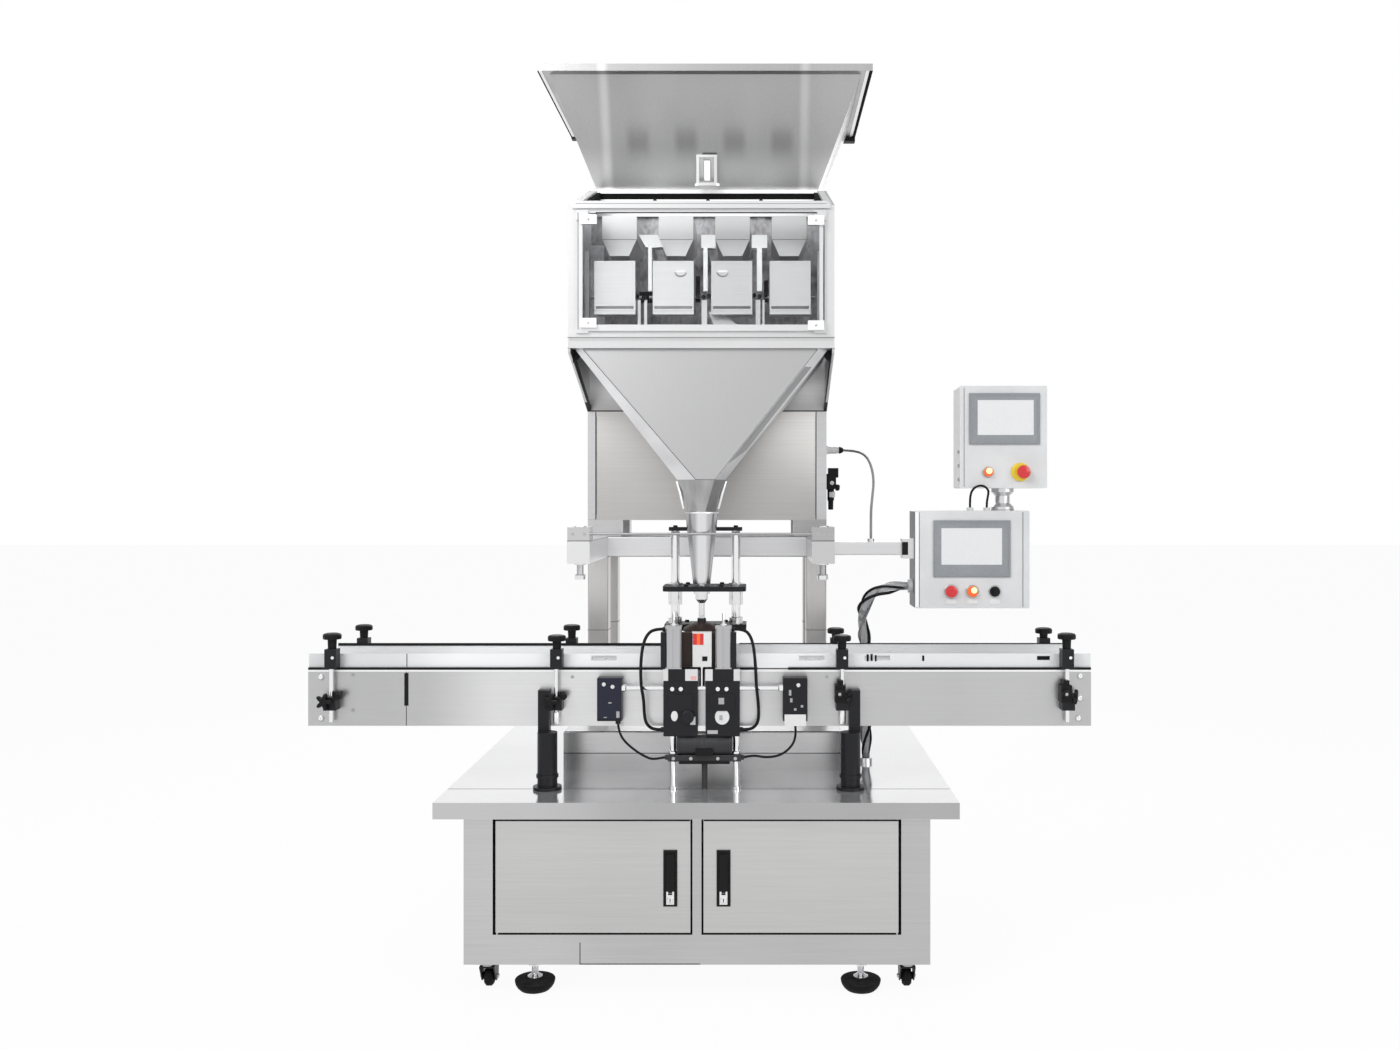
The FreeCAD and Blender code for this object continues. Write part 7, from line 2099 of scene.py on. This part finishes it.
@dataclass(frozen=True)
class Control:
    """Screens, buttons, lamps and side fittings of the two control boxes."""

    front: float = -0.335
    keys_x: tuple[float, ...] = (0.6535, 0.7085, 0.767)
    keys_z: float = 0.974
    lamp: Pair = (0.75, 1.2855)

    def screen(self, form: Form, outer: tuple[float, ...], inner: tuple[float, ...]) -> None:
        """Adds a touch screen: a dark surround with a lit display.

        Args:
            form: the form that takes it.
            outer: left, right, bottom and top of the surround.
            inner: the same of the display.
        """
        y = self.front
        left, right, low, top = outer
        form.use(Palette.SCREEN_FRAME)
        form.block((left, y - 0.0038, low), (right, y + 0.0002, top), 0.0015, 2)
        form.frame((left + 0.002, y - 0.005, low + 0.002), (right - 0.002, y - 0.003, top - 0.002), 0.0035, 0.0008)
        form.use(Palette.SCREEN)
        form.block((inner[0], y - 0.0043, inner[2]), (inner[1], y - 0.003, inner[3]), 0.0003)

    def screens(self) -> None:
        """Makes both screens."""
        form = Form("touch_screens", Palette.SCREEN_FRAME)
        self.screen(form, (0.7004, 0.8846, 1.358, 1.4918), (0.722, 0.868, 1.3824, 1.4735))
        self.screen(form, (0.6071, 0.8078, 1.0118, 1.1598), (0.6274, 0.7854, 1.0441, 1.1394))
        form.done(["control_screens"])

    def buttons(self) -> None:
        """Makes the push buttons, the rotary switch, the lamp, the painted glints on the amber lenses and the stop
        button.
        """
        y = self.front
        form = Form("button_set", Palette.BRIGHT)
        bezel = [(0.019, 0.0), (0.019, 0.0016), (0.0175, 0.0028), (0.016, 0.0028)]
        red, amber, black = ((x, self.keys_z) for x in self.keys_x)
        form.use(Palette.ZINC)
        for (x, z), radius in ((red, 0.019), (amber, 0.0175), (black, 0.0165), (self.lamp, 0.015)):
            form.lathe([(r * radius / 0.019, h) for r, h in bezel], (x, y + 0.0002, z), SOUTH, 32)
        cap = [(0.015, 0.0), (0.015, 0.006), (0.0142, 0.008), (0.012, 0.009), (0.006, 0.0094), (0.001, 0.0095)]
        for finish, wide, (x, z) in (
            (Palette.RED, 1.05, red), (Palette.AMBER, 0.95, amber), (Palette.AMBER, 0.8, self.lamp)
        ):
            form.use(finish).lathe([(r * wide, h) for r, h in cap], (x, y - 0.002, z), SOUTH, 32)
        # Painted highlights: a small glowing glint off the middle of the amber button and of the lamp.
        form.use(Palette.GLOW)
        glow = [(0.008, 0.0), (0.0074, 0.0006), (0.004, 0.0011)]
        form.lathe(glow, (0.7115, y - 0.0112, 0.9775), SOUTH, 24)
        form.lathe(glow, (0.751, y - 0.0112, 1.2885), SOUTH, 24)
        form.use(Palette.BLACK_PLASTIC)
        form.lathe([(r * 0.9, h * 0.6) for r, h in cap], (black[0], y - 0.002, black[1]), SOUTH, 32)
        slant = [(-0.003, -0.012), (0.006, -0.01), (0.0032, 0.0125), (-0.0058, 0.0105)]
        form.prism([(black[0] + x, black[1] + z) for x, z in slant], 1, (y - 0.0118, y - 0.006), 0.0008)
        form.use(Palette.WHITE_PLASTIC)
        for x in self.keys_x:
            form.block((x - 0.0135, y - 0.0016, 0.942), (x + 0.0135, y + 0.0002, 0.9535), 0.0005)
        form.use(Palette.YELLOW).lathe(
            [(0.024, 0.0), (0.024, 0.0045), (0.0225, 0.006), (0.015, 0.0062)], (0.834, y + 0.0002, 1.286), SOUTH, 40
        )
        form.use(Palette.RED)
        mushroom = [
            (0.011, 0.0), (0.0115, 0.008), (0.0165, 0.0095), (0.0175, 0.012), (0.0165, 0.0145), (0.012, 0.016),
            (0.001, 0.0166),
        ]
        form.lathe(mushroom, (0.84, y - 0.005, 1.286), SOUTH, 40)
        form.done(["control_buttons"])

    def sides(self) -> None:
        """Adds the boxes' edge strips, a dark sheet of painted shade on the lower box's left side, side bolts, the
        joint's cover and the post's collar.
        """
        y = self.front
        # Painted shade: the first block is a dark sheet on the lower box's left side.
        form = Form("box_edge_strips", Palette.BOX_SIDE)
        form.block((0.5575, y + 0.003, 0.932), (0.5592, y + 0.104, 1.183), 0.0006)
        form.use(Palette.WHITE_METAL).block((0.56, y - 0.0012, 0.934), (0.569, y + 0.0004, 1.181), 0.0005)
        form.use(Palette.GAP).plates(
            ((0.5696, 0.934, 0.5706, 1.181), (0.8402, 0.934, 0.8412, 1.181), (0.6868, 1.248, 0.6876, 1.507)),
            y - 0.0007, y + 0.0003
        )
        form.use(Palette.BLACK_PLASTIC).block((0.527, -0.3265, 1.069), (0.542, -0.2735, 1.103), 0.001)
        form.use(Palette.ZINC).lathe([(0.03, 0.0), (0.03, 0.004), (0.027, 0.006)], (0.794, -0.3, 1.185), steps=36)
        form.done()
        vents = [Spot((0.6762, -0.325, z), (-1, 0, 0)) for z in (1.3388, 1.3025, 1.267)]
        SCREWS.apply("box_side_bolts", vents, Palette.GREY_METAL, head_radius=0.0045, head_height=0.004)

    def regulator(self) -> None:
        """Makes the air regulator and the cable plug on the stand's side."""
        form = Form("regulator_set", Palette.BLACK_PLASTIC)
        y = 0.095
        form.block((0.35, y - 0.014, 1.244), (0.356, y + 0.014, 1.29), 0.001)
        form.block((0.352, y - 0.018, 1.245), (0.379, y + 0.018, 1.28), 0.003, 2)
        form.block((0.356, y - 0.014, 1.279), (0.386, y + 0.014, 1.307), 0.004, 2)
        form.lathe(
            [(0.008, 0.0), (0.0095, 0.002), (0.0095, 0.008), (0.007, 0.012)], (0.3785, y, 1.25), (1, 0, -0.1), 24
        )
        form.lathe(
            [(0.0055, 1.184), (0.0075, 1.185), (0.008, 1.21), (0.01, 1.212), (0.01, 1.246)], (0.364, y, 0), steps=24
        )
        form.use(Palette.WHITE_PLASTIC)
        form.lathe([(0.008, 1.22), (0.0112, 1.2215), (0.0112, 1.236), (0.009, 1.2375)], (0.366, y, 0), steps=24)
        form.lathe([(0.006, 0.0), (0.006, 0.0012), (0.0045, 0.0018)], (0.367, y - 0.018, 1.263), SOUTH, 24)
        form.block((0.35, y - 0.012, 1.348), (0.356, y + 0.012, 1.372), 0.001)
        body = [(0.0108, 0.0), (0.0112, 0.002), (0.0104, 0.024), (0.0088, 0.032), (0.008, 0.033)]
        form.lathe(body, (0.3555, y, 1.36), EAST, 24)
        form.use(Palette.BLACK_PLASTIC)
        collar = [(0.0098, 0.0), (0.0104, 0.001), (0.0096, 0.006), (0.0062, 0.012), (0.0046, 0.013)]
        form.lathe(collar, (0.388, y, 1.36), EAST, 24)
        form.done(["side_fittings"])

    def build(self) -> None:
        """Makes every piece."""
        self.screens()
        self.buttons()
        self.sides()
        self.regulator()


@dataclass(frozen=True)
class Funnel:
    """The funnel's sheets with their folded corners, and the bands of its outlet."""

    top: float = 1.6118
    waist: float = 1.266
    foot: float = 1.1802
    centre: float = -0.285
    sheet: float = 0.003

    @staticmethod
    def corners(left: float, right: float, front: float, rear: float, face: Pair, fold: float) -> list:
        """Lists the corners of one level, with the front corners folded back.

        Args:
            left: the level's left side.
            right: its right side.
            front: its front.
            rear: its rear.
            face: where the front face starts and ends.
            fold: how far the front folds reach back.

        Returns:
            The corners as pairs, counted round the level.
        """
        ease = 0.004
        return [
            (face[0], front), (face[1], front), (right, front + fold), (right, rear - ease),
            (right - ease, rear), (left + ease, rear), (left, rear - ease), (left, front + fold),
        ]

    def neck(self, radius: float) -> list:
        """Lists the corners of the funnel's foot, which is round.

        Args:
            radius: the foot's radius.

        Returns:
            The corners as pairs, in the order of the levels above.
        """
        ways = (-104, -76, -35, 30, 60, 120, 150, -145)
        return [
            (radius * math.cos(math.radians(way)), self.centre + radius * math.sin(math.radians(way))) for way in ways
        ]

    def shell(self) -> None:
        """Makes the folded sheets of the funnel, hollow as the real one, with the folded front corners painted lighter
        as painted light.
        """
        rings = []
        for step in (0.0, self.sheet):
            wide = self.corners(
                -0.335 + step, 0.335 - step, -0.305 + step, 0.055 - step, (-0.312 + step, 0.306 - step), 0.009
            )
            close = self.corners(-0.0635 + step, 0.0635 - step, -0.3485 + step, -0.2215 - step, (-0.013, 0.036), 0.036)
            rings.append([
                [(x, y, self.top) for x, y in wide],
                [(x, y, self.waist) for x, y in close],
                [(x, y, self.foot) for x, y in self.neck(0.044 - step)],
            ])
        loop = rings[0] + list(reversed(rings[1]))
        form = Form("funnel_sheets", Palette.FUNNEL)
        form.bands([point for ring in loop for point in ring], len(loop), closed=True)
        form.mesh.faces.ensure_lookup_table()
        # Painted light: the folded front corners get a much lighter copy of the sheet; the neck's faces get a mottled
        # one.
        for finish, places in ((Palette.FOLD, (1, 7)), (Palette.NECK, (8, 9, 15))):
            form.use(finish)
            for place in places:
                form.mesh.faces[place].material_index = form.current
        form.done(["funnel"], smooth=12.0)

    def trim(self) -> None:
        """Adds the weld lines of the folds and the rings round the outlet."""
        form = Form("funnel_trim", Palette.SEAM)
        for x0, x1 in ((-0.312, -0.013), (0.306, 0.036)):
            form.tube([(x0, -0.3052, self.top - 0.002), (x1, -0.3486, self.waist)], 0.0011, 6)
        form.tube([(-0.013, -0.3488, self.waist), (0.036, -0.3488, self.waist)], 0.0009, 6)
        form.use(Palette.WHITE_METAL)
        form.tube([(-0.065, -0.312, 1.262), (-0.056, -0.317, 1.232), (-0.047, -0.308, 1.19)], 0.003, 8)
        form.tube([(0.065, -0.312, 1.262), (0.056, -0.317, 1.232), (0.045, -0.308, 1.19)], 0.003, 8)
        form.ring([(0.0438, 1.177), (0.0452, 1.1775), (0.0452, 1.1815), (0.0438, 1.182)], (0, self.centre, 0), 40)
        form.done()

    def build(self) -> None:
        """Makes every piece."""
        self.shell()
        self.trim()


def main() -> None:
    """Builds the surroundings, then the pieces in order, and reports each."""
    logging.basicConfig(level=logging.INFO, format="%(message)s")
    Studio().build()
    FrameFinish().build()
    for assembly in (Cabinet(), Conveyor(), Station(), Stand(), Weigher(), Hopper(), Funnel(), Control(), Cords()):
        assembly.build()


if __name__ == "__main__":
    main()
